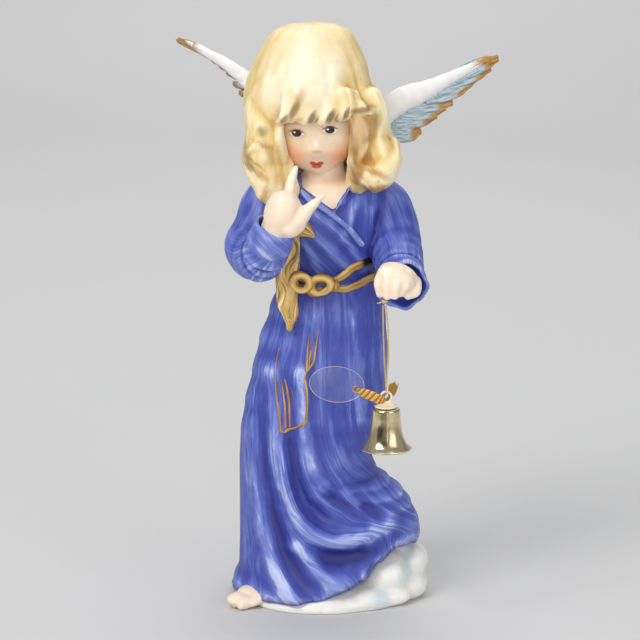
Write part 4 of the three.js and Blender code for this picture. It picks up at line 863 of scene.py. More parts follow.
@dataclass(frozen=True)
class Swell:
    """A swelling of the face: its place on a unit ball that faces -Y, its height and half-width."""

    at: Point
    rise: float
    width: float


@dataclass(frozen=True)
class Lock:
    """A lock of hair: stations from root to tip, half-widths, half-depths and whether it is grooved."""

    stations: tuple[Point, ...]
    wide: tuple[float, ...]
    deep: tuple[float, ...]
    grooved: bool = False


@dataclass(frozen=True)
class Limb:
    """A finger, toe or wrist: stations and half-widths."""

    stations: tuple[Point, ...]
    half: tuple[float, ...]


@dataclass(frozen=True)
class Egg:
    """An egg: centre, half-sizes and turns."""

    at: Point
    half: Point
    turns: Point = (0.0, 0.0, 0.0)


@dataclass(frozen=True)
class Hand:
    """A hand: its wrist, palm and fingers."""

    wrist: Limb
    palm: Egg
    fingers: tuple[Limb, ...]


@dataclass(frozen=True)
class Arm:
    """A sleeve and its cuff: stations with half-widths and half-depths."""

    stations: tuple[Point, ...]
    wide: tuple[float, ...]
    deep: tuple[float, ...]
    cuff: tuple[Point, ...]
    cuff_half: tuple[float, ...]


@dataclass(frozen=True)
class WingTable:
    """A wing: its arm's stations and half-widths, its feathers, and the ways that they lie across."""

    arm: tuple[Point, ...]
    arm_half: tuple[float, ...]
    feathers: tuple[tuple[Point, ...], ...]
    chord: Point
    blade: Point


SKIRT_LEFT_SHARES = (
    (0, -0.408), (0.05, -0.392), (0.13, -0.366), (0.26, -0.362), (0.57, -0.362), (0.7, -0.357), (0.83, -0.338),
    (0.96, -0.308), (1.09, -0.278), (1.22, -0.235), (1.36, -0.184))
SKIRT_RIGHT_SHARES = (
    (0, 0.38), (0.2, 0.4), (0.26, 0.406), (0.31, 0.4), (0.39, 0.367), (0.44, 0.332), (0.49, 0.276), (0.53, 0.22),
    (0.59, 0.2), (0.66, 0.204), (0.72, 0.22), (0.8, 0.244), (0.88, 0.258), (1.05, 0.265), (1.18, 0.256), (1.36, 0.234))
SKIRT_FRONT_SHARES = ((0, 0.35), (0.25, 0.3), (0.5, 0.275), (0.75, 0.26), (1, 0.24), (1.2, 0.215), (1.36, 0.19))
SKIRT_BACK_SHARES = ((0, 0.34), (0.3, 0.29), (0.6, 0.24), (1, 0.19), (1.36, 0.14))
HEM_SHARES = (
    (0, 0.27), (0.08, 0.24), (0.2, 0.11), (0.35, 0.04), (0.5, 0.03), (0.6, 0.036), (0.68, 0.037), (0.74, 0.052),
    (0.78, 0.1), (0.806, 0.13), (0.835, 0.2), (0.875, 0.25), (0.92, 0.252), (0.95, 0.24), (1, 0.27))
FOLD_SHARES = (
    Fold(((-0.319, 0.78), (-0.307, 0.594), (-0.287, 0.49), (-0.275, 0.353), (-0.236, 0.229), (-0.189, 0.125),
          (-0.123, 0.048)),
         0.03, 0.036),
    Fold(((-0.226, 1.0), (-0.207, 0.767), (-0.194, 0.665), (-0.161, 0.528), (-0.109, 0.37), (-0.056, 0.322),
          (0.03, 0.294), (0.11, 0.301), (0.196, 0.329), (0.27, 0.36)),
         0.036, 0.04),
    Fold(((-0.1, 1.0), (-0.095, 0.832), (-0.089, 0.723), (-0.065, 0.628), (0.0, 0.52)), 0.022, 0.036),
    Fold(((-0.122, 0.273), (-0.056, 0.217), (0.01, 0.141), (0.064, 0.099)), 0.026, 0.036),
    Fold(((-0.262, 0.9), (-0.254, 0.628), (-0.228, 0.422), (-0.176, 0.25), (-0.089, 0.111)), -0.026, 0.036),
    Fold(((-0.148, 0.7), (-0.128, 0.559), (-0.096, 0.463), (-0.029, 0.402), (0.04, 0.37)), -0.038, 0.036),
    Fold(((-0.04, 0.56), (0.044, 0.45), (0.143, 0.4)), -0.024, 0.03),
    Fold(((0.143, 0.48), (0.17, 0.433), (0.21, 0.399), (0.263, 0.364)), -0.022, 0.026),
    Fold(((-0.056, 0.249), (0.077, 0.221), (0.21, 0.256)), -0.03, 0.045),
    Fold(((0.077, 0.62), (0.2, 0.56), (0.29, 0.48)), 0.022, 0.08),
    Fold(((0.02, 1.2), (0.05, 0.95), (0.06, 0.75)), -0.012, 0.04))
BACK_FOLD_SHARES = (
    Fold(((-0.14, 1.2), (-0.17, 0.7), (-0.22, 0.06)), 0.026, 0.05),
    Fold(((0.0, 1.2), (0.0, 0.6), (-0.03, 0.05)), 0.026, 0.05),
    Fold(((0.14, 1.2), (0.13, 0.7), (0.2, 0.08)), 0.026, 0.05),
    Fold(((-0.07, 1.1), (-0.09, 0.6), (-0.13, 0.05)), -0.018, 0.04),
    Fold(((0.07, 1.1), (0.06, 0.6), (0.08, 0.05)), -0.018, 0.04))
BODICE_SHARES = (
    (1.34, -0.18, 0.225, -0.185, 0.135), (1.4, -0.178, 0.218, -0.18, 0.13), (1.46, -0.195, 0.225, -0.19, 0.135),
    (1.54, -0.215, 0.235, -0.2, 0.145), (1.62, -0.235, 0.245, -0.195, 0.145), (1.69, -0.25, 0.26, -0.175, 0.14),
    (1.745, -0.225, 0.24, -0.14, 0.12), (1.785, -0.15, 0.16, -0.09, 0.09), (1.8, -0.1, 0.1, -0.05, 0.07))
NECKLINE_SHARES = ((0.034, 1.672), (0.112, 1.79), (0.1, 1.9), (-0.1, 1.9), (-0.096, 1.764))
NECK_SHARES = ((0.005, 0.03, 1.7), (0, 0.0, 1.78), (-0.012, -0.04, 1.9))
FACE_SHARES = (
    Swell((0, -0.97, -0.22), 0.085, 0.15),
    Swell((0.52, -0.78, -0.42), 0.1, 0.4),
    Swell((-0.52, -0.78, -0.42), 0.1, 0.4),
    Swell((0, -0.76, -0.76), 0.09, 0.24),
    Swell((0, -0.89, -0.49), 0.035, 0.14),
    Swell((0.36, -0.93, 0.02), -0.035, 0.2),
    Swell((-0.36, -0.93, 0.02), -0.035, 0.2),
    Swell((0, -0.85, 0.5), 0.04, 0.5))
ARMS = dict(
    right=Arm(((-0.165, 0.03, 1.715), (-0.24, 0.0, 1.685), (-0.272, -0.03, 1.6), (-0.305, -0.09, 1.505),
               (-0.27, -0.19, 1.485), (-0.24, -0.27, 1.51)),
              (0.085, 0.098, 0.1, 0.112, 0.106, 0.096),
              (0.09, 0.098, 0.104, 0.112, 0.106, 0.096),
              ((-0.248, -0.275, 1.505), (-0.222, -0.325, 1.575), (-0.2, -0.352, 1.645)),
              (0.094, 0.089, 0.08)),
    left=Arm(((0.18, 0.03, 1.705), (0.255, 0.01, 1.66), (0.285, -0.03, 1.56), (0.295, -0.1, 1.49), (0.305, -0.21, 1.45),
              (0.308, -0.31, 1.425)),
             (0.085, 0.103, 0.108, 0.108, 0.1, 0.094),
             (0.085, 0.1, 0.105, 0.102, 0.092, 0.088),
             ((0.308, -0.3, 1.43), (0.309, -0.36, 1.415), (0.31, -0.41, 1.405)),
             (0.095, 0.1, 0.109)))
RIGHT_HAND = Hand(
    Limb(((-0.212, -0.335, 1.6), (-0.182, -0.385, 1.66)), (0.06, 0.066)),
    Egg((-0.17, -0.402, 1.696), (0.078, 0.06, 0.1), turns=(0.12, 0.2, 0)),
    (Limb(((-0.15, -0.398, 1.75), (-0.143, -0.378, 1.795), (-0.131, -0.348, 1.84), (-0.118, -0.325, 1.872)),
          (0.036, 0.022, 0.019, 0.012)),
     Limb(((-0.142, -0.412, 1.65), (-0.098, -0.424, 1.69), (-0.055, -0.415, 1.73), (-0.01, -0.4, 1.77)),
          (0.05, 0.036, 0.022, 0.01)),
     Limb(((-0.195, -0.385, 1.76), (-0.2, -0.345, 1.745), (-0.185, -0.335, 1.71)), (0.025, 0.026, 0.022)),
     Limb(((-0.215, -0.38, 1.725), (-0.215, -0.34, 1.71), (-0.2, -0.33, 1.68)), (0.024, 0.025, 0.022))))
LEFT_HAND = Hand(
    Limb(((0.309, -0.33, 1.42), (0.3, -0.42, 1.43)), (0.058, 0.062)),
    Egg((0.292, -0.46, 1.455), (0.085, 0.062, 0.05), turns=(0.3, 0.35, 0.05)),
    (Limb(((0.232, -0.475, 1.478), (0.215, -0.515, 1.44), (0.218, -0.515, 1.392)), (0.022, 0.023, 0.017)),
     Limb(((0.262, -0.485, 1.485), (0.247, -0.532, 1.445), (0.246, -0.535, 1.388)), (0.024, 0.025, 0.018)),
     Limb(((0.297, -0.485, 1.478), (0.284, -0.535, 1.44), (0.276, -0.54, 1.39)), (0.024, 0.025, 0.018)),
     Limb(((0.33, -0.475, 1.465), (0.318, -0.525, 1.432), (0.303, -0.53, 1.4)), (0.023, 0.024, 0.018)),
     Limb(((0.36, -0.44, 1.425), (0.358, -0.49, 1.4), (0.33, -0.515, 1.385)), (0.028, 0.026, 0.018))))
HAIR_CAP_SHARES = (
    (1.86, -0.3, 0.22, -0.06, 0.16), (1.92, -0.325, 0.25, -0.12, 0.2), (1.98, -0.332, 0.262, -0.2, 0.225),
    (2.05, -0.336, 0.258, -0.262, 0.24), (2.11, -0.336, 0.235, -0.276, 0.245), (2.165, -0.328, 0.2, -0.272, 0.24),
    (2.21, -0.312, 0.185, -0.255, 0.225), (2.26, -0.29, 0.172, -0.228, 0.2), (2.31, -0.268, 0.151, -0.195, 0.17),
    (2.36, -0.236, 0.127, -0.155, 0.135), (2.395, -0.2, 0.1, -0.115, 0.1), (2.42, -0.14, 0.045, -0.06, 0.05))
FACE_WINDOW_SHARES = (
    (-0.19, 2.04), (-0.16, 2.07), (-0.1, 2.08), (0, 2.08), (0.07, 2.085), (0.13, 2.085), (0.15, 2.07), (0.14, 1.98),
    (0.12, 1.9), (0.1, 1.7), (-0.12, 1.7), (-0.14, 1.82), (-0.165, 1.88), (-0.18, 1.96))
LOCKS = (
    Lock(((-0.12, -0.235, 2.17), (-0.138, -0.256, 2.115), (-0.157, -0.26, 2.072), (-0.186, -0.243, 2.042)),
         (0.05, 0.045, 0.034, 0.022),
         (0.018, 0.018, 0.02, 0.01)),
    Lock(((-0.048, -0.24, 2.17), (-0.051, -0.258, 2.11), (-0.066, -0.262, 2.068), (-0.094, -0.25, 2.04)),
         (0.045, 0.042, 0.034, 0.022),
         (0.018, 0.018, 0.02, 0.01)),
    Lock(((0.02, -0.24, 2.17), (0.026, -0.258, 2.11), (0.011, -0.262, 2.07), (-0.018, -0.25, 2.042)),
         (0.045, 0.042, 0.034, 0.022),
         (0.018, 0.018, 0.02, 0.01)),
    Lock(((0.075, -0.235, 2.17), (0.085, -0.25, 2.115), (0.077, -0.252, 2.078), (0.06, -0.238, 2.054)),
         (0.045, 0.04, 0.03, 0.014),
         (0.018, 0.018, 0.02, 0.01)),
    Lock(((0.1, -0.22, 2.15), (0.13, -0.23, 2.11), (0.165, -0.215, 2.085), (0.205, -0.18, 2.09)),
         (0.045, 0.036, 0.028, 0.014),
         (0.018, 0.018, 0.018, 0.01)),
    Lock(((-0.25, -0.1, 2.08), (-0.25, -0.135, 1.99), (-0.256, -0.15, 1.9), (-0.245, -0.165, 1.83),
          (-0.225, -0.19, 1.75), (-0.213, -0.2, 1.68)),
         (0.08, 0.072, 0.08, 0.076, 0.058, 0.014),
         (0.07, 0.08, 0.08, 0.06, 0.04, 0.012)),
    Lock(((-0.2, -0.1, 1.93), (-0.175, -0.13, 1.84), (-0.15, -0.15, 1.76), (-0.14, -0.17, 1.7)),
         (0.04, 0.05, 0.05, 0.03),
         (0.04, 0.05, 0.04, 0.02)),
    Lock(((-0.23, -0.19, 1.975), (-0.272, -0.2, 1.94), (-0.3, -0.17, 1.9), (-0.285, -0.17, 1.845), (-0.24, -0.2, 1.79),
          (-0.2, -0.215, 1.73)),
         (0.02, 0.034, 0.042, 0.046, 0.042, 0.014),
         (0.02, 0.03, 0.04, 0.04, 0.03, 0.012)),
    Lock(((0.185, -0.12, 2.12), (0.212, -0.13, 2.05), (0.205, -0.12, 1.97), (0.225, -0.13, 1.89), (0.25, -0.14, 1.83)),
         (0.05, 0.05, 0.052, 0.06, 0.05),
         (0.06, 0.07, 0.08, 0.08, 0.06)),
    Lock(((0.275, -0.1, 1.93), (0.258, -0.14, 1.865), (0.215, -0.175, 1.818), (0.15, -0.19, 1.825),
          (0.116, -0.18, 1.87), (0.116, -0.165, 1.925)),
         (0.04, 0.058, 0.062, 0.05, 0.03, 0.012),
         (0.05, 0.07, 0.07, 0.055, 0.035, 0.014)),
    Lock(((-0.18, 0.14, 2.1), (-0.2, 0.16, 1.95), (-0.19, 0.15, 1.82), (-0.16, 0.14, 1.72)),
         (0.1, 0.12, 0.11, 0.03),
         (0.08, 0.09, 0.07, 0.03)),
    Lock(((0.0, 0.16, 2.1), (-0.01, 0.18, 1.95), (0.0, 0.165, 1.8), (0.01, 0.15, 1.68)),
         (0.12, 0.13, 0.11, 0.03),
         (0.08, 0.09, 0.07, 0.03)),
    Lock(((0.13, 0.13, 2.1), (0.17, 0.15, 1.95), (0.18, 0.14, 1.83), (0.15, 0.13, 1.73)),
         (0.1, 0.11, 0.1, 0.03),
         (0.08, 0.09, 0.07, 0.03)),
    Lock(((-0.165, -0.205, 1.68), (-0.155, -0.213, 1.6), (-0.147, -0.218, 1.52), (-0.153, -0.215, 1.43),
          (-0.16, -0.215, 1.356), (-0.157, -0.222, 1.302), (-0.142, -0.225, 1.25), (-0.146, -0.225, 1.185)),
         (0.04, 0.048, 0.05, 0.048, 0.044, 0.044, 0.034, 0.014), (0.022, 0.028, 0.03, 0.03, 0.026, 0.024, 0.02, 0.01),
         grooved=True),
    Lock(((-0.12, -0.22, 1.62), (-0.085, -0.228, 1.605), (-0.048, -0.23, 1.577)),
         (0.03, 0.036, 0.01),
         (0.02, 0.02, 0.008)))
WING_SHARES = dict(
    left=WingTable(((0.07, 0.13, 1.72), (0.16, 0.2, 1.87), (0.24, 0.24, 2.0), (0.309, 0.26, 2.064), (0.368, 0.27, 2.09),
                    (0.427, 0.28, 2.112), (0.487, 0.295, 2.14), (0.552, 0.325, 2.169), (0.639, 0.37, 2.205),
                    (0.735, 0.42, 2.238)),
                   (1, 1.15, 1.4, 1.55, 1.5, 1.2, 0.9, 0.7, 0.5, 0.25),
                   (((0.552, 0.33, 2.161), (0.652, 0.375, 2.201), (0.737, 0.42, 2.23)),
                    ((0.522, 0.32, 2.133), (0.617, 0.36, 2.162), (0.705, 0.405, 2.189)),
                    ((0.479, 0.3, 2.105), (0.57, 0.34, 2.13), (0.657, 0.38, 2.158)),
                    ((0.428, 0.285, 2.077), (0.527, 0.32, 2.094), (0.622, 0.36, 2.13)),
                    ((0.351, 0.27, 2.041), (0.454, 0.3, 2.046), (0.54, 0.33, 2.052)),
                    ((0.326, 0.265, 2.012), (0.42, 0.29, 2.015), (0.51, 0.32, 2.032)),
                    ((0.3, 0.255, 1.983), (0.386, 0.28, 1.982), (0.472, 0.305, 2.0)),
                    ((0.288, 0.25, 1.959), (0.348, 0.265, 1.954), (0.407, 0.285, 1.967)),
                    ((0.279, 0.24, 1.93), (0.348, 0.26, 1.925), (0.405, 0.28, 1.937))),
                   (-0.3, 0.1, 0.95),
                   (-0.3, 0.1, 0.95)),
    right=WingTable(((-0.07, 0.13, 1.72), (-0.14, 0.2, 1.86), (-0.24, 0.26, 2.06), (-0.326, 0.29, 2.151),
                     (-0.377, 0.305, 2.19), (-0.43, 0.33, 2.225), (-0.485, 0.37, 2.25), (-0.531, 0.42, 2.271),
                     (-0.578, 0.465, 2.289), (-0.63, 0.52, 2.297)),
                    (1, 1.1, 1.1, 1.03, 0.91, 0.76, 0.62, 0.56, 0.44, 0.25),
                    (((-0.556, 0.45, 2.276), (-0.597, 0.5, 2.286), (-0.634, 0.54, 2.291)),
                     ((-0.516, 0.4, 2.262), (-0.557, 0.47, 2.265), (-0.595, 0.54, 2.269)),
                     ((-0.476, 0.37, 2.242), (-0.518, 0.46, 2.245), (-0.555, 0.55, 2.248)),
                     ((-0.437, 0.34, 2.224), (-0.48, 0.45, 2.227), (-0.516, 0.56, 2.224)),
                     ((-0.403, 0.32, 2.201), (-0.445, 0.44, 2.204), (-0.482, 0.56, 2.199)),
                     ((-0.372, 0.3, 2.177), (-0.415, 0.42, 2.181), (-0.449, 0.55, 2.174)),
                     ((-0.347, 0.28, 2.154), (-0.384, 0.4, 2.153), (-0.416, 0.52, 2.148)),
                     ((-0.321, 0.25, 2.124), (-0.358, 0.36, 2.119), (-0.387, 0.47, 2.106)),
                     ((-0.299, 0.23, 2.088), (-0.331, 0.33, 2.085), (-0.36, 0.42, 2.073))),
                    (-0.3, -0.1, 0.95),
                    (-0.75, 0.2, 0.5)))
BASE_SHARES = (
    Egg((0.01, -0.01, 0.02), (0.38, 0.345, 0.1)),
    Egg((-0.02, -0.13, 0.01), (0.31, 0.235, 0.055)),
    Egg((0.16, -0.2, 0.03), (0.15, 0.12, 0.065)),
    Egg((0.25, -0.13, 0.12), (0.11, 0.1, 0.1)),
    Egg((0.36, -0.02, 0.135), (0.085, 0.09, 0.085)),
    Egg((0.33, -0.08, 0.05), (0.11, 0.12, 0.075)),
    Egg((0.3, 0.1, 0.07), (0.14, 0.13, 0.12)),
    Egg((0.24, -0.02, 0.17), (0.13, 0.13, 0.12)),
    Egg((0.1, 0.18, 0.06), (0.2, 0.15, 0.1)))
FOOT_SHARES = ((-0.2, -0.08, 0.05), (-0.275, -0.19, 0.044), (-0.335, -0.245, 0.028))
FOOT_WIDE_SHARES = (0.06, 0.075, 0.068)
FOOT_DEEP_SHARES = (0.045, 0.04, 0.028)
TOE_SHARES = (
    Limb(((-0.325, -0.27, 0.026), (-0.345, -0.29, 0.022), (-0.35, -0.296, 0.02)), (0.026, 0.024, 0.02)),
    Limb(((-0.35, -0.245, 0.024), (-0.372, -0.265, 0.02), (-0.378, -0.27, 0.018)), (0.022, 0.02, 0.017)),
    Limb(((-0.365, -0.215, 0.022), (-0.387, -0.235, 0.018), (-0.392, -0.24, 0.016)), (0.02, 0.018, 0.015)),
    Limb(((-0.368, -0.185, 0.02), (-0.386, -0.205, 0.016), (-0.391, -0.21, 0.015)), (0.017, 0.015, 0.013)))
WRAP_SHARES = ((-0.1, -0.14, 1.75), (-0.05, -0.185, 1.71), (0.03, -0.21, 1.66), (0.1, -0.215, 1.6), (0.155, -0.2, 1.53))
COLLAR_SHARES = ((0.035, -0.2, 1.675), (0.075, -0.175, 1.73), (0.11, -0.12, 1.785))
BELL_OUTLINE_SHARES = ((0.02, 0.95), (0.06, 0.8), (0.13, 0.56), (0.3, 0.32), (0.58, 0.14), (0.9, 0.045), (1, 0.03))
CORD_SHARES = (
    (-0.0395, -0.0079, 0.9605), (-0.0368, -0.0026, 0.8579), (-0.0316, 0.0053, 0.6474), (-0.0211, 0.0184, 0.3842),
    (-0.0079, 0.0316, 0.1737), (-0.0026, 0.0395, 0.0816), (0, 0.0408, 0.0368), (0, 0.0382, 0.0158), (0, 0.0329, 0.0039),
    (0, 0.0211, -0.0013), (0, 0, -0.0026), (0, -0.0211, -0.0013), (0, -0.0329, 0.0039), (0, -0.0382, 0.0158),
    (0, -0.0408, 0.0368), (0.0026, -0.0395, 0.0816), (0.0105, -0.0316, 0.2263), (0.0211, -0.0237, 0.4368),
    (0.0184, -0.0184, 0.6737), (0.0026, -0.0158, 0.8579), (-0.0079, -0.0158, 0.9605))
TIE_SHARES = (
    (-0.75, 0.0528, 0.1806), (-0.6944, 0.0389, 0.175), (-0.6694, 0, 0.175), (-0.6389, -0.05, 0.1694),
    (-0.5056, -0.0722, 0.1139), (-0.3389, -0.0833, 0.0472), (-0.1722, -0.0833, -0.025), (-0.0611, -0.0778, -0.0528),
    (-0.0167, -0.0278, -0.0583), (0.0167, 0.0278, -0.0583), (0.0722, 0.0694, -0.0472), (0.1556, 0.0889, 0.0583),
    (0.1944, 0.0944, 0.1806), (0.2389, 0.1, 0.2917))


# The skirt's surface

UNIT = 100.0
SKIRT_TOP = 1.36
SKIRT_FULLNESS = 2.25
FINE_FOLDS = (
    Fold(((-0.02, 1.25), (-0.01, 1.05), (-0.03, 0.8)), 0.006, 0.02),
    Fold(((0.11, 1.25), (0.14, 1.0), (0.15, 0.8)), 0.005, 0.022),
    Fold(((-0.02, 0.52), (0.03, 0.46), (0.1, 0.42)), 0.007, 0.014),
)


def track_reach(track: Track, x: np.ndarray, z: np.ndarray) -> tuple[np.ndarray, np.ndarray]:
    """The distance in shares from each (x, z) to a track, and how far along the track it is nearest.

    Args:
        track: the track's places.
        x: the places' x in shares.
        z: their heights in shares.

    Returns:
        The distances, and the shares of the way along the track.
    """
    nearest, place = np.full(np.shape(x), np.inf), np.zeros(np.shape(x))
    for number, ((ax, az), (bx, bz)) in enumerate(zip(track, track[1:])):
        run = (bx - ax) ** 2 + (bz - az) ** 2
        t = np.clip(((x - ax) * (bx - ax) + (z - az) * (bz - az)) / run, 0, 1)
        away = np.hypot(x - ax - t * (bx - ax), z - az - t * (bz - az))
        place = np.where(away < nearest, (number + t) / (len(track) - 1), place)
        nearest = np.minimum(nearest, away)
    return nearest, place


def track_distance(track: Track, x: np.ndarray, z: np.ndarray) -> np.ndarray:
    """The distance in shares from each (x, z) to a track."""
    return track_reach(track, x, z)[0]


def fold_rise(folds: tuple[Fold, ...], x: np.ndarray, z: np.ndarray) -> np.ndarray:
    """How far the folds lift the cloth at each (x, z), in shares.

    Args:
        folds: the folds.
        x: the places' x in shares.
        z: their heights in shares.

    Returns:
        The lift at each place.
    """
    total = np.zeros(np.shape(x))
    for fold in folds:
        away, place = track_reach(fold.track, x, z)
        eased = 1.0 if fold.rise > 0 else 0.25 + 0.75 * smooth_step(place / 0.4) * smooth_step((1.0 - place) / 0.3)
        total += fold.rise * eased * hump(away, 0.0, fold.width)
    return total


def skirt_points(turn: np.ndarray, z: np.ndarray) -> np.ndarray:
    """Points of the skirt's surface in shares.

    Args:
        turn: 0 to 1 from +X by way of +Y.
        z: heights in shares, one for each turn.

    Returns:
        Rows of x, y and z in shares.
    """
    left, right = look_up(SKIRT_LEFT_SHARES, z), look_up(SKIRT_RIGHT_SHARES, z)
    front, back = look_up(SKIRT_FRONT_SHARES, z), look_up(SKIRT_BACK_SHARES, z)
    side, fore = np.cos(2 * np.pi * turn), np.sin(2 * np.pi * turn)
    power = 2 / SKIRT_FULLNESS
    x = (left + right) / 2 + (right - left) / 2 * np.sign(side) * np.abs(side) ** power
    y = np.where(fore < 0, front, back) * np.sign(fore) * np.abs(fore) ** power
    folds = np.where(fore < 0, fold_rise(FOLD_SHARES + FINE_FOLDS, x, z), fold_rise(BACK_FOLD_SHARES, x, z))
    rise = folds * np.minimum(1, 1.6 * np.abs(fore))
    return np.stack([x + rise * side * 0.3, y + rise * fore, z], axis=-1)


def robe_front(x: float, z: float) -> float:
    """The y of the robe's front at (x, z), in shares.

    Args:
        x: the place's x in shares.
        z: its height in shares.

    Returns:
        The y, in shares.
    """
    turn = np.linspace(0.5, 1.0, 400)
    points = skirt_points(turn, np.full(len(turn), z))
    return float(points[np.argmin(np.abs(points[:, 0] - x)), 1])


ROBE_TONES = (srgb(38, 42, 124), srgb(64, 78, 172), srgb(112, 130, 208), srgb(196, 206, 243))
STROKE_TRACKS = (
    (-38.0, ((-0.4, 0.05), (-0.365, 0.26), (-0.36, 0.7), (-0.3, 1.0), (-0.2, 1.36))),
    (-33.5, FOLD_SHARES[0].track),
    (-28.0, FOLD_SHARES[4].track),
    (-22.6, FOLD_SHARES[1].track[:-1] + ((0.28, 0.33), (0.36, 0.3), (0.42, 0.26))),
    (-26.0, FOLD_SHARES[3].track),
    (-24.4, FOLD_SHARES[8].track),
    (-15.0, FOLD_SHARES[5].track),
    (-10.0, FOLD_SHARES[2].track),
    (-10.0, FOLD_SHARES[6].track),
    (-3.0, FOLD_SHARES[7].track + ((0.34, 0.315), (0.42, 0.28))),
    (5.0, ((0.0, 1.36), (0.02, 1.2), (0.05, 0.95), (0.06, 0.76), (0.1, 0.62), (0.2, 0.5), (0.31, 0.4), (0.42, 0.3))),
    (12.0, ((0.12, 1.36), (0.14, 1.1), (0.15, 0.85), (0.18, 0.68), (0.26, 0.54), (0.35, 0.42), (0.41, 0.32))),
    (20.0, ((0.23, 1.36), (0.25, 1.2), (0.26, 0.9), (0.25, 0.72), (0.31, 0.56), (0.39, 0.45), (0.44, 0.34))),
    (-18.0, ((-0.1, 1.36), (-0.14, 1.2), (-0.17, 1.05))),
    (-4.0, ((-0.03, 1.36), (-0.02, 1.2), (-0.04, 1.05))),)


def stroke_field(x: np.ndarray, z: np.ndarray) -> np.ndarray:
    """A value that stays level along the folds' tracks, which the brush strokes then follow.

    Args:
        x: the places' x in shares.
        z: their heights in shares.

    Returns:
        The value at each place.
    """
    total, weight = np.zeros(np.shape(x)), np.zeros(np.shape(x))
    for value, track in STROKE_TRACKS:
        pull = 1.0 / (track_distance(track, x, z) ** 2 + 1.2e-3) ** 1.5
        total += value * pull
        weight += pull
    return total / weight


SASH_LINES = (
    (((-0.19, 1.098), (-0.202, 1.041), (-0.205, 0.982), (-0.2, 0.906), (-0.192, 0.844), (-0.184, 0.768)),
     (0.2, 0.3, 0.35, 0.4, 0.5, 0.6)),
    (((-0.184, 0.768), (-0.174, 0.759), (-0.155, 0.767), (-0.122, 0.778), (-0.1, 0.791), (-0.081, 0.804)),
     (0.6, 0.75, 0.8, 0.85, 0.9, 0.7)),
    (((-0.081, 0.804), (-0.076, 0.848), (-0.074, 0.912), (-0.08, 0.961), (-0.085, 0.99), (-0.076, 1.012)),
     (0.7, 0.6, 0.6, 0.6, 0.5, 0.4)),
    (((-0.076, 1.012), (-0.074, 1.051), (-0.071, 1.102), (-0.066, 1.158)), (0.5, 0.45, 0.4, 0.2)),
    (((-0.068, 1.027), (-0.062, 1.076), (-0.053, 1.134)), (0.45, 0.4, 0.15)),
    (((-0.071, 1.016), (-0.048, 1.051), (-0.039, 1.102), (-0.029, 1.172)), (0.4, 0.5, 0.45, 0.25)),
    (((-0.182, 0.969), (-0.174, 0.921), (-0.166, 0.858), (-0.163, 0.776)), (0.15, 0.45, 0.55, 0.5)),
    (((-0.166, 0.972), (-0.155, 0.922), (-0.147, 0.859), (-0.145, 0.779)), (0.4, 0.55, 0.6, 0.5)),
    (((-0.142, 0.945), (-0.132, 0.909), (-0.131, 0.851)), (0.1, 0.25, 0.1)),
)
SASH_PANEL = SASH_LINES[0][0] + SASH_LINES[1][0][1:] + SASH_LINES[2][0][1:] + SASH_LINES[5][0][1:] + ((-0.12, 1.3),)


@dataclass
class Skirt:
    """The robe's skirt with its folds, the edge of its hem and the raised sash ends' cloth."""

    sides: int = 420
    levels: int = 260
    reach: Pair = (38.0, 30.0)
    sash_rise: float = 0.32
    hem_dark_reach: float = 0.9
    paint: Paint = Paint("robe_blue_painted", *ROBE_TONES, flows=True, form=0.95, streaks=1.7)

    def hem_darkening(self, bench: Bench, colour: object) -> object:
        """Darkens the paint along the hem's edge and under the skirt."""
        return bench.mix(bench.math("MULTIPLY", bench.attribute("hem"), 0.75), colour, srgb(36, 40, 118))

    def rings(self) -> np.ndarray:
        """The skirt's sections from the waist to the hem and in under it.

        Returns:
            An array of rings, sides and x, y, z.
        """
        turn = np.arange(self.sides) / self.sides
        hem = look_up(HEM_SHARES, turn)
        rings = []
        for level in np.linspace(0.0, 1.0, self.levels):
            rings.append(skirt_points(turn, SKIRT_TOP + (hem - SKIRT_TOP) * level) * UNIT)
        edge = rings[-1]
        middle = edge.mean(axis=0)
        for inward, drop in ((0.006, -0.35), (0.018, -0.55), (0.032, -0.4), (0.05, 0.1), (0.2, 2.2), (0.5, 5.0)):
            ring = edge + (middle - edge) * inward
            ring[:, 2] = edge[:, 2] + drop if inward < 0.1 else edge[:, 2] + (middle[2] - edge[:, 2]) * inward + drop
            rings.append(ring)
        return np.array(rings)

    def build(self) -> Piece:
        """Makes the skirt.

        Returns:
            The skirt.
        """
        bm = bmesh.new()
        loft(bm, self.rings())
        piece = piece_from("skirt", bm)
        points = points_of(piece)
        local = FIGURE.local(points)
        wave = ripple(points / MM * np.array([1.0, 1.0, 0.18]), 9.0, 3) * 0.16
        panel = smooth_step((outline_distance(SASH_PANEL, local[:, 0] / UNIT, local[:, 2] / UNIT) + 0.003) / 0.006)
        push_out(piece, wave + self.sash_rise * panel * (local[:, 1] < 0))
        store_relief(piece, 160, 1.0)
        angle = np.arctan2(local[:, 1] / self.reach[1], local[:, 0] / self.reach[0])
        turn = (angle / (2 * np.pi)) % 1.0
        store(piece, "hem", np.exp(-np.maximum(local[:, 2] - look_up(HEM_SHARES, turn) * UNIT, 0.0) / self.hem_dark_reach))
        behind = 23.0 - 61.0 * np.abs(angle) / np.pi
        ahead = stroke_field(local[:, 0] / UNIT, local[:, 2] / UNIT)
        in_front = smooth_step((6.0 - local[:, 1]) / 12.0)
        store_strokes(piece, behind + (ahead - behind) * in_front, local[:, 2] + local[:, 0] * 0.25)
        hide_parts("robe_skirt")
        return dress(piece, painted(self.paint, self.hem_darkening), "figurine")


def scaled(table: tuple) -> tuple:
    """A table of places in shares, in millimetres."""
    return tuple(tuple(value * UNIT for value in row) for row in table)


def widths(table: tuple[float, ...], factor: float = UNIT) -> tuple[float, ...]:
    """A row of shares, in millimetres."""
    return tuple(value * factor for value in table)


@dataclass(frozen=True)
class Flow:
    """Which strand each point lies on, how far along it and at what angle round it."""

    strand: np.ndarray
    along: np.ndarray
    angle: np.ndarray
    reach: np.ndarray


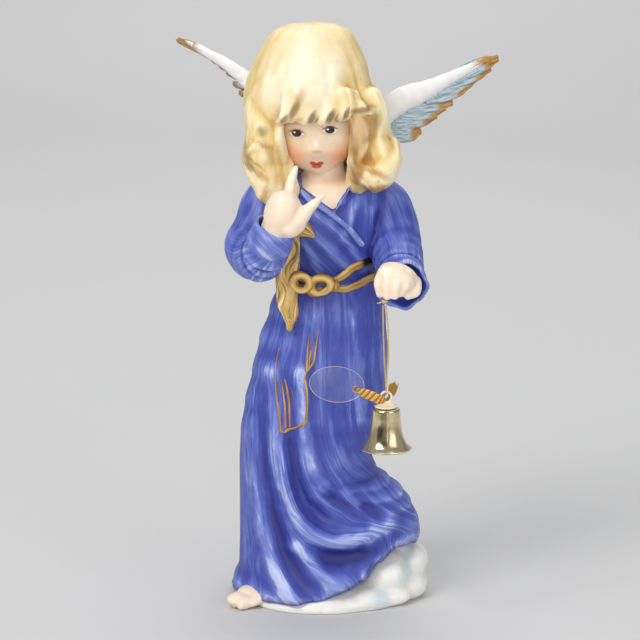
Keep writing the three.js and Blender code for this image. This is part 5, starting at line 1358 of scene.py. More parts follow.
def read_flow(strands: list[Strand], points: np.ndarray) -> Flow:
    """Finds the strand that each point lies on.

    Args:
        strands: the strands.
        points: rows in metres in the row's frame.

    Returns:
        The strands' numbers, places along, angles and reaches (1 on the surface).
    """
    local = FIGURE.local(points)
    best = np.full(len(local), np.inf)
    chosen, place, turned = np.zeros(len(local), int), np.zeros(len(local)), np.zeros(len(local))
    t = np.linspace(0, 1, FLOW_SAMPLES)
    for number, strand in enumerate(strands):
        centre, onward, first, second = strand.ways(t)
        wide, deep = along(strand.half_widths, t), along(strand.half_depths, t)
        length = float(np.sum(np.linalg.norm(np.diff(centre, axis=0), axis=1)))
        for start in range(0, len(local), FLOW_BATCH):
            rows = slice(start, start + FLOW_BATCH)
            away = np.linalg.norm(local[rows, None, :] - centre[None], axis=2)
            near = np.argmin(away, axis=1)
            delta = local[rows] - centre[near]
            x = np.sum(delta * first[near], axis=1) / wide[near]
            y = np.sum(delta * second[near], axis=1) / deep[near]
            z = np.sum(delta * onward[near], axis=1) / np.minimum(wide, deep)[near]
            reach = np.sqrt(x * x + y * y + z * z)
            better = reach < best[rows]
            spots = np.arange(start, start + len(near))[better]
            best[spots], chosen[spots] = reach[better], number
            step = z[better] * np.minimum(wide, deep)[near[better]] / length
            place[spots] = np.clip(t[near[better]] + np.clip(step, -0.7 / FLOW_SAMPLES, 0.7 / FLOW_SAMPLES), 0, 1)
            turned[spots] = np.arctan2(y[better], x[better])
    return Flow(chosen, place, turned, best)


def store_strokes(piece: Piece, across: np.ndarray, lengthwise: np.ndarray) -> None:
    """Keeps the stroke coordinates that brushed paint reads, in millimetres."""
    store(piece, "across", across)
    store(piece, "lengthwise", lengthwise)


def limb_strand(limb: Limb) -> Strand:
    """A finger, toe or wrist as a strand."""
    half = widths(limb.half)
    return Strand(scaled(limb.stations), half, half, (1.0, 0.0, 0.3), 24, 30)


def table_rings(table: tuple, levels: int, sides: int, grow: float = 0.0) -> np.ndarray:
    """Rings of a table of (height, left, right, front, back) in shares, in millimetres.

    Args:
        table: the rows, from one end to the other.
        levels: how many rings.
        sides: how many sides each has.
        grow: millimetres added all round.

    Returns:
        An array of rings, sides and x, y, z.
    """
    rows = np.array(table)
    spots = np.linspace(0, len(rows) - 1, levels)
    columns = [spline(tuple((row[0], row[column], 0.0) for row in rows), spots / (len(rows) - 1))[:, 1]
               for column in range(1, 5)]
    z = spline(tuple((row[0], row[0], 0.0) for row in rows), spots / (len(rows) - 1))[:, 0]
    left, right, front, back = columns
    angle = full_turn(sides)
    x = (left + right)[:, None] / 2 + (right - left)[:, None] / 2 * np.cos(angle) + grow / UNIT * np.cos(angle)
    y = np.where(np.sin(angle) < 0, front[:, None], back[:, None]) * np.abs(np.sin(angle)) + grow / UNIT * np.sin(angle)
    return np.stack([x, y, np.repeat(z[:, None], sides, axis=1)], axis=-1) * UNIT


def inside(outline: tuple, x: np.ndarray, z: np.ndarray) -> np.ndarray:
    """Whether each (x, z) lies inside an outline.

    Args:
        outline: the outline's corners.
        x: the places' x.
        z: their heights.

    Returns:
        True for each place that lies inside.
    """
    within = np.zeros(np.shape(x), bool)
    for (ax, az), (bx, bz) in zip(outline, outline[1:] + outline[:1]):
        crosses = (az > z) != (bz > z)
        with np.errstate(divide="ignore", invalid="ignore"):
            at = ax + (z - az) * (bx - ax) / (bz - az)
        within ^= crosses & (x < at)
    return within


def outline_distance(outline: tuple, x: np.ndarray, z: np.ndarray) -> np.ndarray:
    """The distance from each (x, z) to an outline, positive inside it."""
    far = track_distance(outline + outline[:1], x, z)
    return np.where(inside(outline, x, z), far, -far)


CHEST_FOLDS = (
    Fold(((-0.12, 1.72), (-0.02, 1.64), (0.08, 1.56), (0.15, 1.46)), 0.012, 0.018),
    Fold(((-0.18, 1.7), (-0.08, 1.6), (0.02, 1.52), (0.1, 1.43)), 0.01, 0.02),
    Fold(((0.14, 1.72), (0.1, 1.62), (0.07, 1.55)), 0.01, 0.02),
    Fold(((0.2, 1.66), (0.19, 1.55), (0.17, 1.43)), 0.01, 0.025),
    Fold(((-0.1, 1.56), (-0.05, 1.48), (-0.02, 1.41)), 0.009, 0.02),
    Fold(((-0.04, 1.66), (0.04, 1.58), (0.11, 1.49)), -0.01, 0.015),
)


@dataclass
class RobeTop:
    """The robe above the belt: bodice, sleeves, hollow cuffs and wrapped edges in one skin."""

    paint: Paint = Paint("robe_blue_top", *ROBE_TONES, flows=True, form=0.8, streaks=1.3)
    pitch: float = 0.55
    neckline_drop: float = 1.7
    seam_depth: float = 0.5

    def sleeve(self, arm: Arm) -> Strand:
        """One sleeve's strand."""
        return Strand(scaled(arm.stations), widths(arm.wide), widths(arm.deep), (1.0, 0.0, 0.0), 64, 90, 0.0)

    def cuff_rings(self, arm: Arm) -> np.ndarray:
        """The cuff's outside, its rim and the inside of its mouth.

        Args:
            arm: the arm that wears it.

        Returns:
            An array of rings, sides and x, y, z.
        """
        left = arm is ARMS["left"]
        half = widths(arm.cuff_half)
        outer = Strand(scaled(arm.cuff), half, half, (1.0, 0.0, 0.0), 96, 30, 0.0).rings()[6:-6]
        centre = outer.mean(axis=1, keepdims=True)
        turn = full_turn(96)[None, :, None]
        run = np.linspace(0, 1, len(outer))[:, None, None]
        ruffle = 0.055 * np.cos(5 * turn + 0.7) + 0.03 * np.cos(9 * turn) if left else 0.012 * np.cos(7 * turn)
        band = 0.0 if left else 0.05 * smooth_step((run - 0.35) / 0.08)
        outer = centre + (outer - centre) * (1 + ruffle * run ** 2 + band)
        inner = centre + (outer - centre) * 0.84
        return np.concatenate([outer, inner[::-1][:16]])

    def bodice(self, bm: Mesh) -> None:
        """Adds the bodice with its chest folds.

        Args:
            bm: where the bodice goes.
        """
        rings = table_rings(BODICE_SHARES, 70, 160)
        x, z = rings[..., 0] / UNIT, rings[..., 2] / UNIT
        rise = fold_rise(CHEST_FOLDS, x, z) * UNIT * (rings[..., 1] < 0)
        rings[..., 1] -= rise
        loft(bm, rings)

    def build(self) -> Piece:
        """Makes the robe's top.

        Returns:
            The robe's top.
        """
        bm = bmesh.new()
        self.bodice(bm)
        sleeves = [self.sleeve(ARMS[side]) for side in ("right", "left")]
        for side, strand in zip(("right", "left"), sleeves):
            strand.add_to(bm)
            part = bmesh.new()
            loft(part, self.cuff_rings(ARMS[side]))
            merge_into(bm, part)
        for table, half in ((WRAP_SHARES, 1.5), (COLLAR_SHARES, 1.4)):
            Strand(scaled(table), (half,) * 2, (0.8,) * 2, (0.7, 0.0, 0.7), 20, 50, 1.0).add_to(bm)
        piece = piece_from("robe_top", bm)
        remesh(piece, self.pitch, 8)
        points = points_of(piece)
        flow = read_flow(sleeves, points)
        on_sleeve = smooth_step((1.35 - flow.reach) / 0.25)
        local = FIGURE.local(points)
        wave = ripple(points / MM * np.array([1.0, 1.0, 0.35]), 7.5, 5) * 0.22
        place = local / UNIT
        bare = smooth_step((outline_distance(NECKLINE_SHARES, place[:, 0], place[:, 2]) + 0.004) / 0.012)
        wave = wave - self.neckline_drop * bare * (place[:, 1] < 0.0) * (flow.reach > 1.1)
        creases = np.sin(flow.along * 26 + np.sin(flow.angle * 2) * 1.6) * 0.16 * on_sleeve
        mask = hump(flow.along, 0.62, 0.16) * (flow.strand == 0)
        seam = hump(flow.along, 0.93, 0.022) * (1.0 + 0.5 * np.cos(flow.angle * 17)) * on_sleeve
        push_out(piece, wave + creases * mask - seam * self.seam_depth)
        store_relief(piece, 60, 0.4)
        slant = (local[:, 0] + local[:, 2]) * 0.7
        wrap = smooth_step((local[:, 2] - 166 + local[:, 0] * 1.05) / 4.0) * (local[:, 1] < 0)
        chest_across = slant * (1 - wrap) + local[:, 0] * wrap + 200.0 * (wrap > 0.5)
        chest_along = (local[:, 2] - local[:, 0]) * 0.7 * (1 - wrap) + local[:, 2] * wrap
        held = on_sleeve > 0.5
        store_strokes(piece, np.where(held, flow.angle * 10.0 + flow.strand * 90.0, chest_across),
                      np.where(held, flow.along * 50.0, chest_along))
        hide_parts("robe_bodice", "right_sleeve", "left_sleeve", "right_cuff", "left_cuff", "wrap_edge",
                    "collar_edge")
        return dress(piece, painted(self.paint), "figurine")


SKIN = Paint("skin_bisque_pale", srgb(240, 200, 164), srgb(252, 228, 202), srgb(255, 240, 222), srgb(255, 247, 236),
             streaks=0.06, form=0.7, rough=0.42, bump=0.03, sheen_under=0.12)


@dataclass
class Chest:
    """The bare neck and the chest in the V of the neckline."""

    pitch: float = 0.8
    inset: float = 1.1

    def build(self) -> Piece:
        """Makes the neck and chest.

        Returns:
            The neck and chest.
        """
        bm = bmesh.new()
        loft(bm, table_rings(BODICE_SHARES[3:], 40, 90, grow=-self.inset))
        Strand(scaled(NECK_SHARES), (9.0, 8.4, 8.2), (9.0, 8.4, 8.2), (1.0, 0.0, 0.0), 48, 30, 0.0).add_to(bm)
        piece = piece_from("neck", bm)
        remesh(piece, self.pitch, 12)
        store_relief(piece, 20, 0.3)
        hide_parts("neck_and_chest")
        return dress(piece, painted(SKIN), "figurine")


BACKS_OF_HANDS = {
    "bare_right_hand": (((-17.0, -42.6, 170.6), (6.4, 4.6, 8.4), (0.1, 0.25, 0.0)),
                        ((-13.4, -41.6, 166.4), (6.4, 4.4, 5.6), (0.0, -0.5, 0.0))),
    "bare_left_hand": (((28.2, -50.4, 145.7), (8.0, 4.7, 3.9), (0.5, 0.36, 0.0)),
                       ((32.2, -46.2, 143.2), (6.2, 5.0, 3.8), (0.2, 0.5, 0.0))),
}


@dataclass
class Hands:
    """Both hands: palm, wrist and fingers fused into one skin each."""

    pitch: float = 0.35

    def hand(self, name: str, table: Hand) -> Piece:
        """Makes one hand.

        Args:
            name: the piece's name.
            table: the hand's wrist, palm and fingers in shares.

        Returns:
            The piece.
        """
        bm = bmesh.new()
        palm = table.palm
        add_egg(bm, widths(palm.at), widths(palm.half), palm.turns)
        for limb in (table.wrist, *table.fingers):
            limb_strand(limb).add_to(bm)
        for at, half, turns in BACKS_OF_HANDS[name]:
            add_egg(bm, at, half, turns)
        piece = piece_from(name, bm)
        remesh(piece, self.pitch, 16)
        store_relief(piece, 25, 0.25)
        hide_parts(name.replace("bare_", ""))
        return dress(piece, painted(SKIN), "figurine")

    def build(self) -> None:
        """Makes both hands."""
        self.hand("bare_right_hand", RIGHT_HAND)
        self.hand("bare_left_hand", LEFT_HAND)


@dataclass
class Foot:
    """The bare foot with its toes under the hem."""

    pitch: float = 0.3

    def build(self) -> Piece:
        """Makes the foot.

        Returns:
            The foot.
        """
        bm = bmesh.new()
        Strand(scaled(FOOT_SHARES), widths(FOOT_WIDE_SHARES), widths(FOOT_DEEP_SHARES), (0.8, -0.6, 0.0), 40,
               30).add_to(bm)
        for toe in TOE_SHARES:
            limb_strand(toe).add_to(bm)
        add_egg(bm, (-34.6, -24.2, 3.0), (7.4, 6.0, 3.15), (0.0, 0.1, 0.72))
        add_egg(bm, (-30.0, -19.6, 3.9), (8.0, 6.4, 4.0), (0.0, 0.1, 0.72))
        piece = piece_from("bare_foot", bm)
        remesh(piece, self.pitch, 16)
        store_relief(piece, 25, 0.25)
        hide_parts("right_foot")
        return dress(piece, painted(SKIN), "figurine")


@dataclass
class Head:
    """The head with its modelled and painted face."""

    centre: Point = (-3.6, -3.0, 202.4)
    half: Point = (17.2, 19.0, 22.0)
    turns: Point = (0.3, -0.1, -0.08)
    jaw_taper: float = 0.1

    def build(self) -> Piece:
        """Makes the head.

        Returns:
            The head.
        """
        bm = bmesh.new()
        bmesh.ops.create_uvsphere(bm, u_segments=180, v_segments=140, radius=1.0,
                                  matrix=Matrix.Rotation(math.pi / 2, 4, "X"))
        piece = piece_from("face", bm)
        ball = points_of(piece)
        away = [np.linalg.norm(ball - np.array(swell.at), axis=1) for swell in FACE_SHARES]
        rise = sum(swell.rise * hump(reach, 0.0, swell.width) for swell, reach in zip(FACE_SHARES, away))
        shape = ball * (1 + rise)[:, None] * np.array(self.half)
        shape[:, 0] *= np.where(ball[:, 2] < 0, 1 - self.jaw_taper * ball[:, 2] ** 2, 1.0)
        shape = shape @ np.array(turn_matrix(self.turns)).T + np.array(self.centre)
        set_points(piece, FIGURE.array(shape))
        store_relief(piece, 30, 0.6)
        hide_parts("head")
        return dress(piece, painted(FACE), "figurine")


EYES = ((-11.6, 199.3), (1.9, 200.8))
LIPS = srgb(214, 84, 48)


def eye_spots(x: float, z: float, lean: float) -> tuple[Spot, ...]:
    """One painted eye, from the pale corners to the glint.

    Args:
        x: its x in millimetres.
        z: its height in millimetres.
        lean: how far it is turned.

    Returns:
        The eye's spots, first to last.
    """
    return (Spot((x, z + 0.1), (3.5, 2.0), srgb(206, 160, 124), lean, 0.5, 0.6),
            Spot((x, z), (2.95, 1.42), srgb(248, 240, 234), lean, 0.16),
            Spot((x, z + 0.1), (1.98, 1.5), srgb(38, 20, 18), lean, 0.14),
            Spot((x - 0.5, z - 0.6), (0.9, 0.5), srgb(92, 56, 40), lean, 0.6, 0.7),
            Spot((x - 1.9, z + 0.95), (1.35, 0.26), srgb(96, 58, 40), 0.42, 0.5, 0.85),
            Spot((x, z + 1.5), (1.7, 0.3), srgb(86, 50, 34), lean, 0.5, 0.9),
            Spot((x + 1.9, z + 0.95), (1.35, 0.26), srgb(96, 58, 40), -0.42, 0.5, 0.85),
            Spot((x - 0.85, z + 0.45), (0.46, 0.42), srgb(255, 255, 255), 0.0, 0.2))


FACE = Paint("face_bisque", srgb(240, 202, 162), srgb(252, 226, 194), srgb(255, 238, 212), srgb(255, 246, 230),
             streaks=0.06, form=0.5, rough=0.4, bump=0.02, sheen_under=0.06, spots=(
    # Painted shadow of the fringe across the forehead.
    Spot((-4.0, 210.0), (15.0, 5.0), srgb(222, 176, 136), soft=0.9, strength=0.45),
    Spot((-13.9, 189.6), (4.9, 4.4), srgb(242, 150, 100), soft=0.95, strength=0.72),
    Spot((6.3, 189.4), (4.7, 4.4), srgb(242, 150, 100), soft=0.95, strength=0.72),
    # Painted shade under the nose, then a painted highlight on its tip.
    Spot((-3.6, 192.0), (1.9, 0.8), srgb(206, 140, 100), soft=0.7, strength=0.55),
    Spot((-3.7, 195.6), (1.0, 1.3), srgb(255, 246, 232), soft=0.8, strength=0.7),
    Spot((-11.9, 203.4), (3.4, 0.35), srgb(200, 150, 104), 0.08, 0.8, 0.5),
    Spot((2.2, 204.6), (3.4, 0.35), srgb(200, 150, 104), -0.08, 0.8, 0.5),
    *eye_spots(*EYES[0], 0.05), *eye_spots(*EYES[1], -0.05),
    Spot((-4.8, 186.6), (1.6, 0.9), LIPS, -0.25, 0.25), Spot((-2.2, 186.6), (1.6, 0.9), LIPS, 0.25, 0.25),
    Spot((-3.5, 185.4), (2.0, 1.05), LIPS, soft=0.25),
    Spot((-3.5, 186.1), (2.3, 0.2), srgb(160, 44, 28), soft=0.5, strength=0.8),
    Spot((-3.4, 185.1), (0.9, 0.32), srgb(244, 150, 118), soft=0.8, strength=0.7),
))


# Taupe is the brown of the painted dabs; ochre marks strokes on the lower curls and sides that partly stand in for
# painted shade there; cream is painted highlight.
TAUPE, OCHRE, CREAM_HIGHLIGHT = srgb(136, 104, 58), srgb(188, 140, 66), srgb(255, 250, 232)
HAIR_SPOTS = (
    # Painted highlights on the crown.
    Spot((-8.0, 226.0), (8.0, 14.0), CREAM_HIGHLIGHT, soft=0.9, strength=0.75),
    Spot((2.0, 222.0), (4.0, 12.0), CREAM_HIGHLIGHT, -0.25, 0.9, 0.6),
    Spot((-20.0, 219.0), (4.0, 10.0), CREAM_HIGHLIGHT, 0.2, 0.9, 0.5),
    Spot((-10.8, 213.2), (1.7, 5.4), srgb(206, 168, 104), -0.4, 0.8, 0.75),
    Spot((-12.6, 209.6), (1.4, 4.0), TAUPE, -0.45, 0.55, 0.8),
    Spot((-16.6, 205.8), (1.0, 2.8), TAUPE, -0.6, 0.5, 0.75),
    Spot((-5.4, 206.6), (1.3, 2.9), TAUPE, -0.45, 0.5, 0.9),
    Spot((-3.6, 205.6), (0.6, 1.8), TAUPE, -0.5, 0.5, 0.7),
    Spot((2.4, 207.2), (1.2, 3.2), TAUPE, -0.4, 0.5, 0.9),
    Spot((4.2, 206.4), (0.6, 2.0), TAUPE, -0.5, 0.5, 0.7),
    Spot((8.4, 208.0), (0.9, 2.5), TAUPE, -0.3, 0.5, 0.85),
    Spot((15.0, 209.4), (4.8, 1.2), TAUPE, 0.12, 0.55, 0.85),
    Spot((20.4, 202.6), (1.7, 5.4), TAUPE, -0.25, 0.7, 0.7),
    Spot((17.6, 197.2), (3.0, 1.2), OCHRE, 0.4, 0.7, 0.7),
    Spot((14.0, 200.0), (3.2, 8.0), srgb(218, 176, 120), 0.0, 0.8, 0.85),
    Spot((-25.6, 200.4), (1.9, 2.1), TAUPE, 0.4, 0.7, 0.7),
    Spot((-25.0, 194.6), (4.0, 0.9), OCHRE, -0.5, 0.8, 0.7),
    Spot((-22.6, 191.0), (1.3, 4.8), OCHRE, 0.35, 0.8, 0.6),
    Spot((-32.0, 190.6), (1.6, 4.8), TAUPE, 0.2, 0.8, 0.7),
    Spot((-29.5, 184.6), (4.8, 0.9), TAUPE, -0.75, 0.75, 0.65),
    Spot((-28.0, 187.0), (4.2, 0.6), TAUPE, -0.65, 0.75, 0.5),
    Spot((-26.0, 183.0), (4.4, 0.7), OCHRE, -0.8, 0.75, 0.6),
    Spot((-25.5, 172.0), (1.2, 7.5), OCHRE, -0.25, 0.8, 0.65),
    Spot((15.0, 186.0), (1.5, 5.4), OCHRE, -0.3, 0.6, 0.9),
    Spot((20.0, 184.0), (5.2, 1.2), OCHRE, -0.45, 0.7, 0.8),
    Spot((21.0, 176.4), (7.8, 1.8), OCHRE, 0.1, 0.7, 0.9),
    # Painted shade in the hollow between the curl and the cheek.
    Spot((12.2, 186.0), (1.9, 9.0), srgb(160, 108, 50), 0.05, 0.7, 0.9),
)
TEMPLE_LOCKS = (
    Lock(((0.12, -0.19, 2.08), (0.142, -0.165, 2.0), (0.134, -0.13, 1.9), (0.128, -0.11, 1.78)),
         (0.03, 0.034, 0.044, 0.05),
         (0.05, 0.07, 0.07, 0.05)),
    Lock(((-0.085, -0.235, 2.17), (-0.094, -0.254, 2.115), (-0.11, -0.258, 2.076), (-0.137, -0.247, 2.046)),
         (0.04, 0.04, 0.032, 0.014),
         (0.018, 0.018, 0.02, 0.01)),
    Lock(((-0.185, -0.19, 2.07), (-0.192, -0.16, 1.98), (-0.185, -0.13, 1.9), (-0.17, -0.1, 1.8)),
         (0.024, 0.026, 0.03, 0.03),
         (0.05, 0.06, 0.06, 0.05)),)


@dataclass
class Hair:
    """The hair: cap, fringe and locks fused into one skin with grooves along the locks."""

    paint: Paint = Paint("hair_blond_painted", srgb(196, 148, 74), srgb(235, 205, 138), srgb(250, 232, 184),
                         srgb(255, 249, 228), streaks=0.85, form=0.8, bump=0.07, flows=True, ragged=5.0,
                         spots=HAIR_SPOTS, rough=0.46)
    across: Point = (1.0, 0.15, 0.0)
    crown: Egg = Egg((-4.8, -0.7, 239.3), (14.0, 9.0, 3.2))
    pitch: float = 0.6
    gilt_below: float = 172.0

    def worn_gilt(self, bench: Bench, colour: object) -> object:
        """Gilds the long lock, with dark lines between pale ones.

        Args:
            bench: the material's bench.
            colour: the hair's colour.

        Returns:
            The colour with the gilded lock.
        """
        lengthwise = bench.attribute("lengthwise")
        wave = bench.math("MULTIPLY", bench.math("SINE", bench.math("MULTIPLY", lengthwise, 0.34)), 1.4)
        ways = bench.joined({0: bench.math("ADD", bench.attribute("across"), wave), 1: lengthwise})
        lines = bench.noise(bench.stretched(ways, (1.1, 0.05, 1.0)), 1.0)
        gold = bench.mix(bench.span(lines, 0.36, 0.5), srgb(120, 80, 30), srgb(206, 166, 88))
        gold = bench.mix(bench.span(lines, 0.54, 0.66), gold, srgb(250, 232, 178))
        return bench.mix(bench.attribute("gilt"), colour, gold)

    def strands(self) -> list[Strand]:
        """Every lock as a strand.

        Returns:
            The strands.
        """
        made = []
        for locks, sides, steps in ((LOCKS, 40, 60), (TEMPLE_LOCKS, 30, 40)):
            for lock in locks:
                grooves = dict(grooves=5, groove_depth=0.1, twist=2.2) if lock.grooved else {}
                made.append(Strand(scaled(lock.stations), widths(lock.wide), widths(lock.deep), self.across, sides,
                                   steps, **grooves))
        return made

    def cap(self, bm: Mesh) -> None:
        """Adds the cap with the window for the face.

        Args:
            bm: where the cap goes.
        """
        rings = table_rings(HAIR_CAP_SHARES, 160, 280)
        window = inside(FACE_WINDOW_SHARES, rings[..., 0] / UNIT, rings[..., 2] / UNIT)
        rings[..., 1] = np.where(window & (rings[..., 1] < -2.0), -2.0, rings[..., 1])
        loft(bm, rings)

    def build(self) -> Piece:
        """Makes the hair.

        Returns:
            The hair.
        """
        bm = bmesh.new()
        self.cap(bm)
        strands = self.strands()
        for strand in strands:
            strand.add_to(bm)
        add_egg(bm, self.crown.at, self.crown.half)
        piece = piece_from("hair", bm)
        remesh(piece, self.pitch, 5)
        points = points_of(piece)
        flow = read_flow(strands, points)
        local = FIGURE.local(points)
        crown = np.arctan2(local[:, 1] - 2.0, local[:, 0] + 6.0) * 9.0
        on_lock = smooth_step((1.25 - flow.reach) / 0.3)
        across = crown + (flow.angle * 3.0 + flow.strand * 17.0 - crown) * (on_lock > 0.5)
        swell = ripple(local * np.array([1.0, 1.0, 0.55]), 16.0, 8)
        groove = swell * 0.5 + ripple(local * np.array([1.0, 1.0, 0.7]), 8.0, 11) * 0.22
        groove = groove + np.sin(across * 1.1 + swell * 2.6) * 0.2 + np.sin(across * 2.7 + swell * 3.4) * 0.1
        push_out(piece, groove * (0.25 + 0.75 * smooth_step((236.0 - local[:, 2]) / 20.0)))
        store_relief(piece, 60, 0.5)
        store_strokes(piece, across, local[:, 2])
        gilt = len(strands) - len(TEMPLE_LOCKS)
        chosen = (flow.strand == gilt - 2) | (flow.strand == gilt - 1)
        store(piece, "gilt", (chosen * on_lock * smooth_step((self.gilt_below - local[:, 2]) / 8.0)).astype(float))
        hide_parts("hair_cap", "hair_fall_right", "hair_curl_left", "hair_back", "hair_long_lock",
                    "hair_lock_tip")
        return dress(piece, painted(self.paint, self.worn_gilt), "figurine")


@dataclass
class Wings:
    """Both wings: an arm and long feathers with gold tips."""

    paint: Paint = Paint("wing_bisque", srgb(206, 212, 220), srgb(240, 240, 240), srgb(250, 249, 247),
                         srgb(255, 254, 251), streaks=0.3, form=0.4, flows=True)

    def tinted(self, bench: Bench, colour: object) -> object:
        """Washes the feathers blue and gilds their tips and the arm's end.

        Args:
            bench: the material's bench.
            colour: the white under the tints.

        Returns:
            The tinted colour.
        """
        ragged = bench.noise(bench.stretched(bench.stroke(), (2.2, 0.1, 1.0)), 1.0)
        end = bench.math("ADD", bench.attribute("end"),
                         bench.math("MULTIPLY", bench.math("SUBTRACT", ragged, 0.5), 0.7))
        blue = bench.mix(bench.span(ragged, 0.36, 0.58), srgb(120, 152, 168), srgb(196, 216, 224))
        blue = bench.mix(bench.span(bench.attribute("edge"), 0.75, 1.0), blue, srgb(104, 122, 128))
        washed = bench.mix(bench.math("MULTIPLY", bench.attribute("feather"), 0.92), colour, blue)
        gold = bench.mix(bench.span(ragged, 0.4, 0.62), srgb(150, 100, 34), srgb(216, 168, 90))
        return bench.mix(bench.span(end, 0.5, 0.58), washed, gold)

    def wing(self, side: str) -> Piece:
        """Makes one wing.

        Args:
            side: left or right.

        Returns:
            The wing.
        """
        table = WING_SHARES[side]
        bm = bmesh.new()
        half = widths(table.arm_half, 3.4)
        strands = [Strand(scaled(table.arm), half, widths(half, 0.75), table.chord, 40, 80)]
        for stations in table.feathers:
            strands.append(Strand(scaled(stations), (3.0, 3.4, 3.1, 1.5), (0.9, 0.8, 0.7, 0.5), table.blade, 32, 50))
        for strand in strands:
            strand.add_to(bm)
        piece = piece_from(f"{side}_feathers", bm)
        flow = read_flow(strands, points_of(piece))
        feather = (flow.strand > 0).astype(float)
        start = 0.72 if side == "left" else 0.52
        tip = np.clip((flow.along - start) / (1.0 - start), 0, 1)
        if side == "right":
            feather *= smooth_step((flow.along - 0.05) / 0.35)
        early = 0.0 if side == "left" else np.where(flow.strand < 5, 0.3, 0.14)
        store(piece, "end", np.where(flow.strand > 0, flow.along * 0.85 + early, tip * 0.9))
        store(piece, "edge", np.abs(np.cos(flow.angle)) * feather)
        store(piece, "feather", feather)
        store_strokes(piece, flow.angle * 2.0 + flow.strand * 8.0, flow.along * 30.0)
        store_relief(piece, 10, 0.3)
        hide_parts(f"{side}_wing")
        return dress(piece, painted(self.paint, self.tinted), "figurine")

    def build(self) -> None:
        """Makes both wings."""
        self.wing("left")
        self.wing("right")


CLOUD_LOBES = (
    ((25.5, -18.0, 11.5), (9.5, 8.0, 7.4)),
    ((37.4, -6.0, 14.5), (6.4, 7.5, 6.4)),
    ((35.4, -9.0, 6.5), (7.4, 8.0, 6.0)),
    ((26.5, -19.0, 3.5), (10.5, 8.5, 4.8)))


@dataclass
class Cloud:
    """The small cloud that the figure stands on."""

    pitch: float = 0.7
    paint: Paint = Paint("cloud_glazed", srgb(212, 208, 200), srgb(240, 238, 232), srgb(250, 249, 245),
                         srgb(255, 254, 250), streaks=0.06, form=0.5, rough=0.3, coat=0.5, bump=0.02, spots=(
        Spot((23.4, 5.0), (3.2, 3.4), srgb(178, 212, 222), 0.3, 0.95, 0.6),
        Spot((34.0, 15.0), (2.4, 6.0), srgb(190, 218, 222), -0.4, 0.95, 0.5)))

    def build(self) -> Piece:
        """Makes the cloud.

        Returns:
            The cloud.
        """
        bm = bmesh.new()
        for egg in BASE_SHARES:
            add_egg(bm, widths(egg.at), widths(egg.half), egg.turns, 48)
        for at, half in CLOUD_LOBES:
            add_egg(bm, at, half, detail=40)
        piece = piece_from("cloud", bm)
        remesh(piece, self.pitch, 22)
        bm = bmesh.new()
        bm.from_mesh(piece.data)
        bmesh.ops.bisect_plane(bm, geom=bm.verts[:] + bm.edges[:] + bm.faces[:], plane_co=(0, 0, 0),
                                     plane_no=(0, 0, -1), clear_outer=True)
        rims = [edge for edge in bm.edges if edge.is_boundary]
        bmesh.ops.holes_fill(bm, edges=rims, sides=0)
        bmesh.ops.recalc_face_normals(bm, faces=bm.faces[:])
        bm.to_mesh(piece.data)
        bm.free()
        store_relief(piece, 40, 0.6)
        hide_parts("cloud_base")
        return dress(piece, painted(self.paint), "figurine")


def as_stations(rows: np.ndarray) -> tuple[Point, ...]:
    """Rows of x, y and z as stations."""
    return tuple(map(tuple, rows))


def even_route(stations: tuple[Point, ...], spacing: float) -> np.ndarray:
    """Points spaced evenly along a smooth line through the stations, in millimetres.

    Args:
        stations: the places that the line passes.
        spacing: how far apart the points are.

    Returns:
        An array of points and x, y, z.
    """
    fine = spline(stations, np.linspace(0.0, 1.0, 3000))
    run = np.concatenate([[0.0], np.cumsum(np.linalg.norm(np.diff(fine, axis=0), axis=1))])
    spots = np.linspace(0.0, run[-1], max(int(run[-1] / spacing), 2) + 1)
    return np.stack([np.interp(spots, run, fine[:, column]) for column in range(3)], axis=1)


def tube(bm: Mesh, stations: tuple[Point, ...], radius: float, sides: int, steps: int) -> None:
    """Adds a round wire along the stations."""
    Strand(stations, (radius, radius), (radius, radius), (1.0, 0.15, 0.1), sides, steps).add_to(bm)


def ring_of(bm: Mesh, centre: Point, radii: Pair, section: Pair,
            first: Point, second: Point, steps: int, sides: int, uneven: float = 0.0) -> None:
    """Adds a closed ring: an oval wire round an oval line.

    Args:
        bm: where the ring goes.
        centre: its middle in millimetres in the figure's frame.
        radii: the line's half-sizes along the first and the second way.
        section: the wire's half-sizes, in the ring's plane and square to it.
        first: the first way across the ring.
        second: the second way, square to the first.
        steps: how many sections there are.
        sides: how many points each section has.
        uneven: how far a hand-shaped ring departs from an even one.
    """
    one, two = np.array(first, float), np.array(second, float)
    out_of_plane = np.cross(one, two)
    turn = full_turn(steps)
    line = (np.array(centre) + one * (radii[0] * np.cos(turn))[:, None] + two * (radii[1] * np.sin(turn))[:, None])
    tangent = unit_rows(-one * (radii[0] * np.sin(turn))[:, None] + two * (radii[1] * np.cos(turn))[:, None])
    outward = np.cross(tangent, out_of_plane)
    angle = full_turn(sides)
    broad = 1 + uneven * (0.8 * np.cos(turn - 2.2) + 0.6 * np.cos(2 * turn + 0.4)
                          + 0.35 * np.cos(5 * turn))[:, None, None]
    rings = (line[:, None, :] + outward[:, None, :] * broad * (section[0] * np.cos(angle))[None, :, None]
             + out_of_plane[None, None, :] * (section[1] * np.sin(angle))[None, :, None])
    part = bmesh.new()
    loft(part, rings, closed=True)
    merge_into(bm, part)


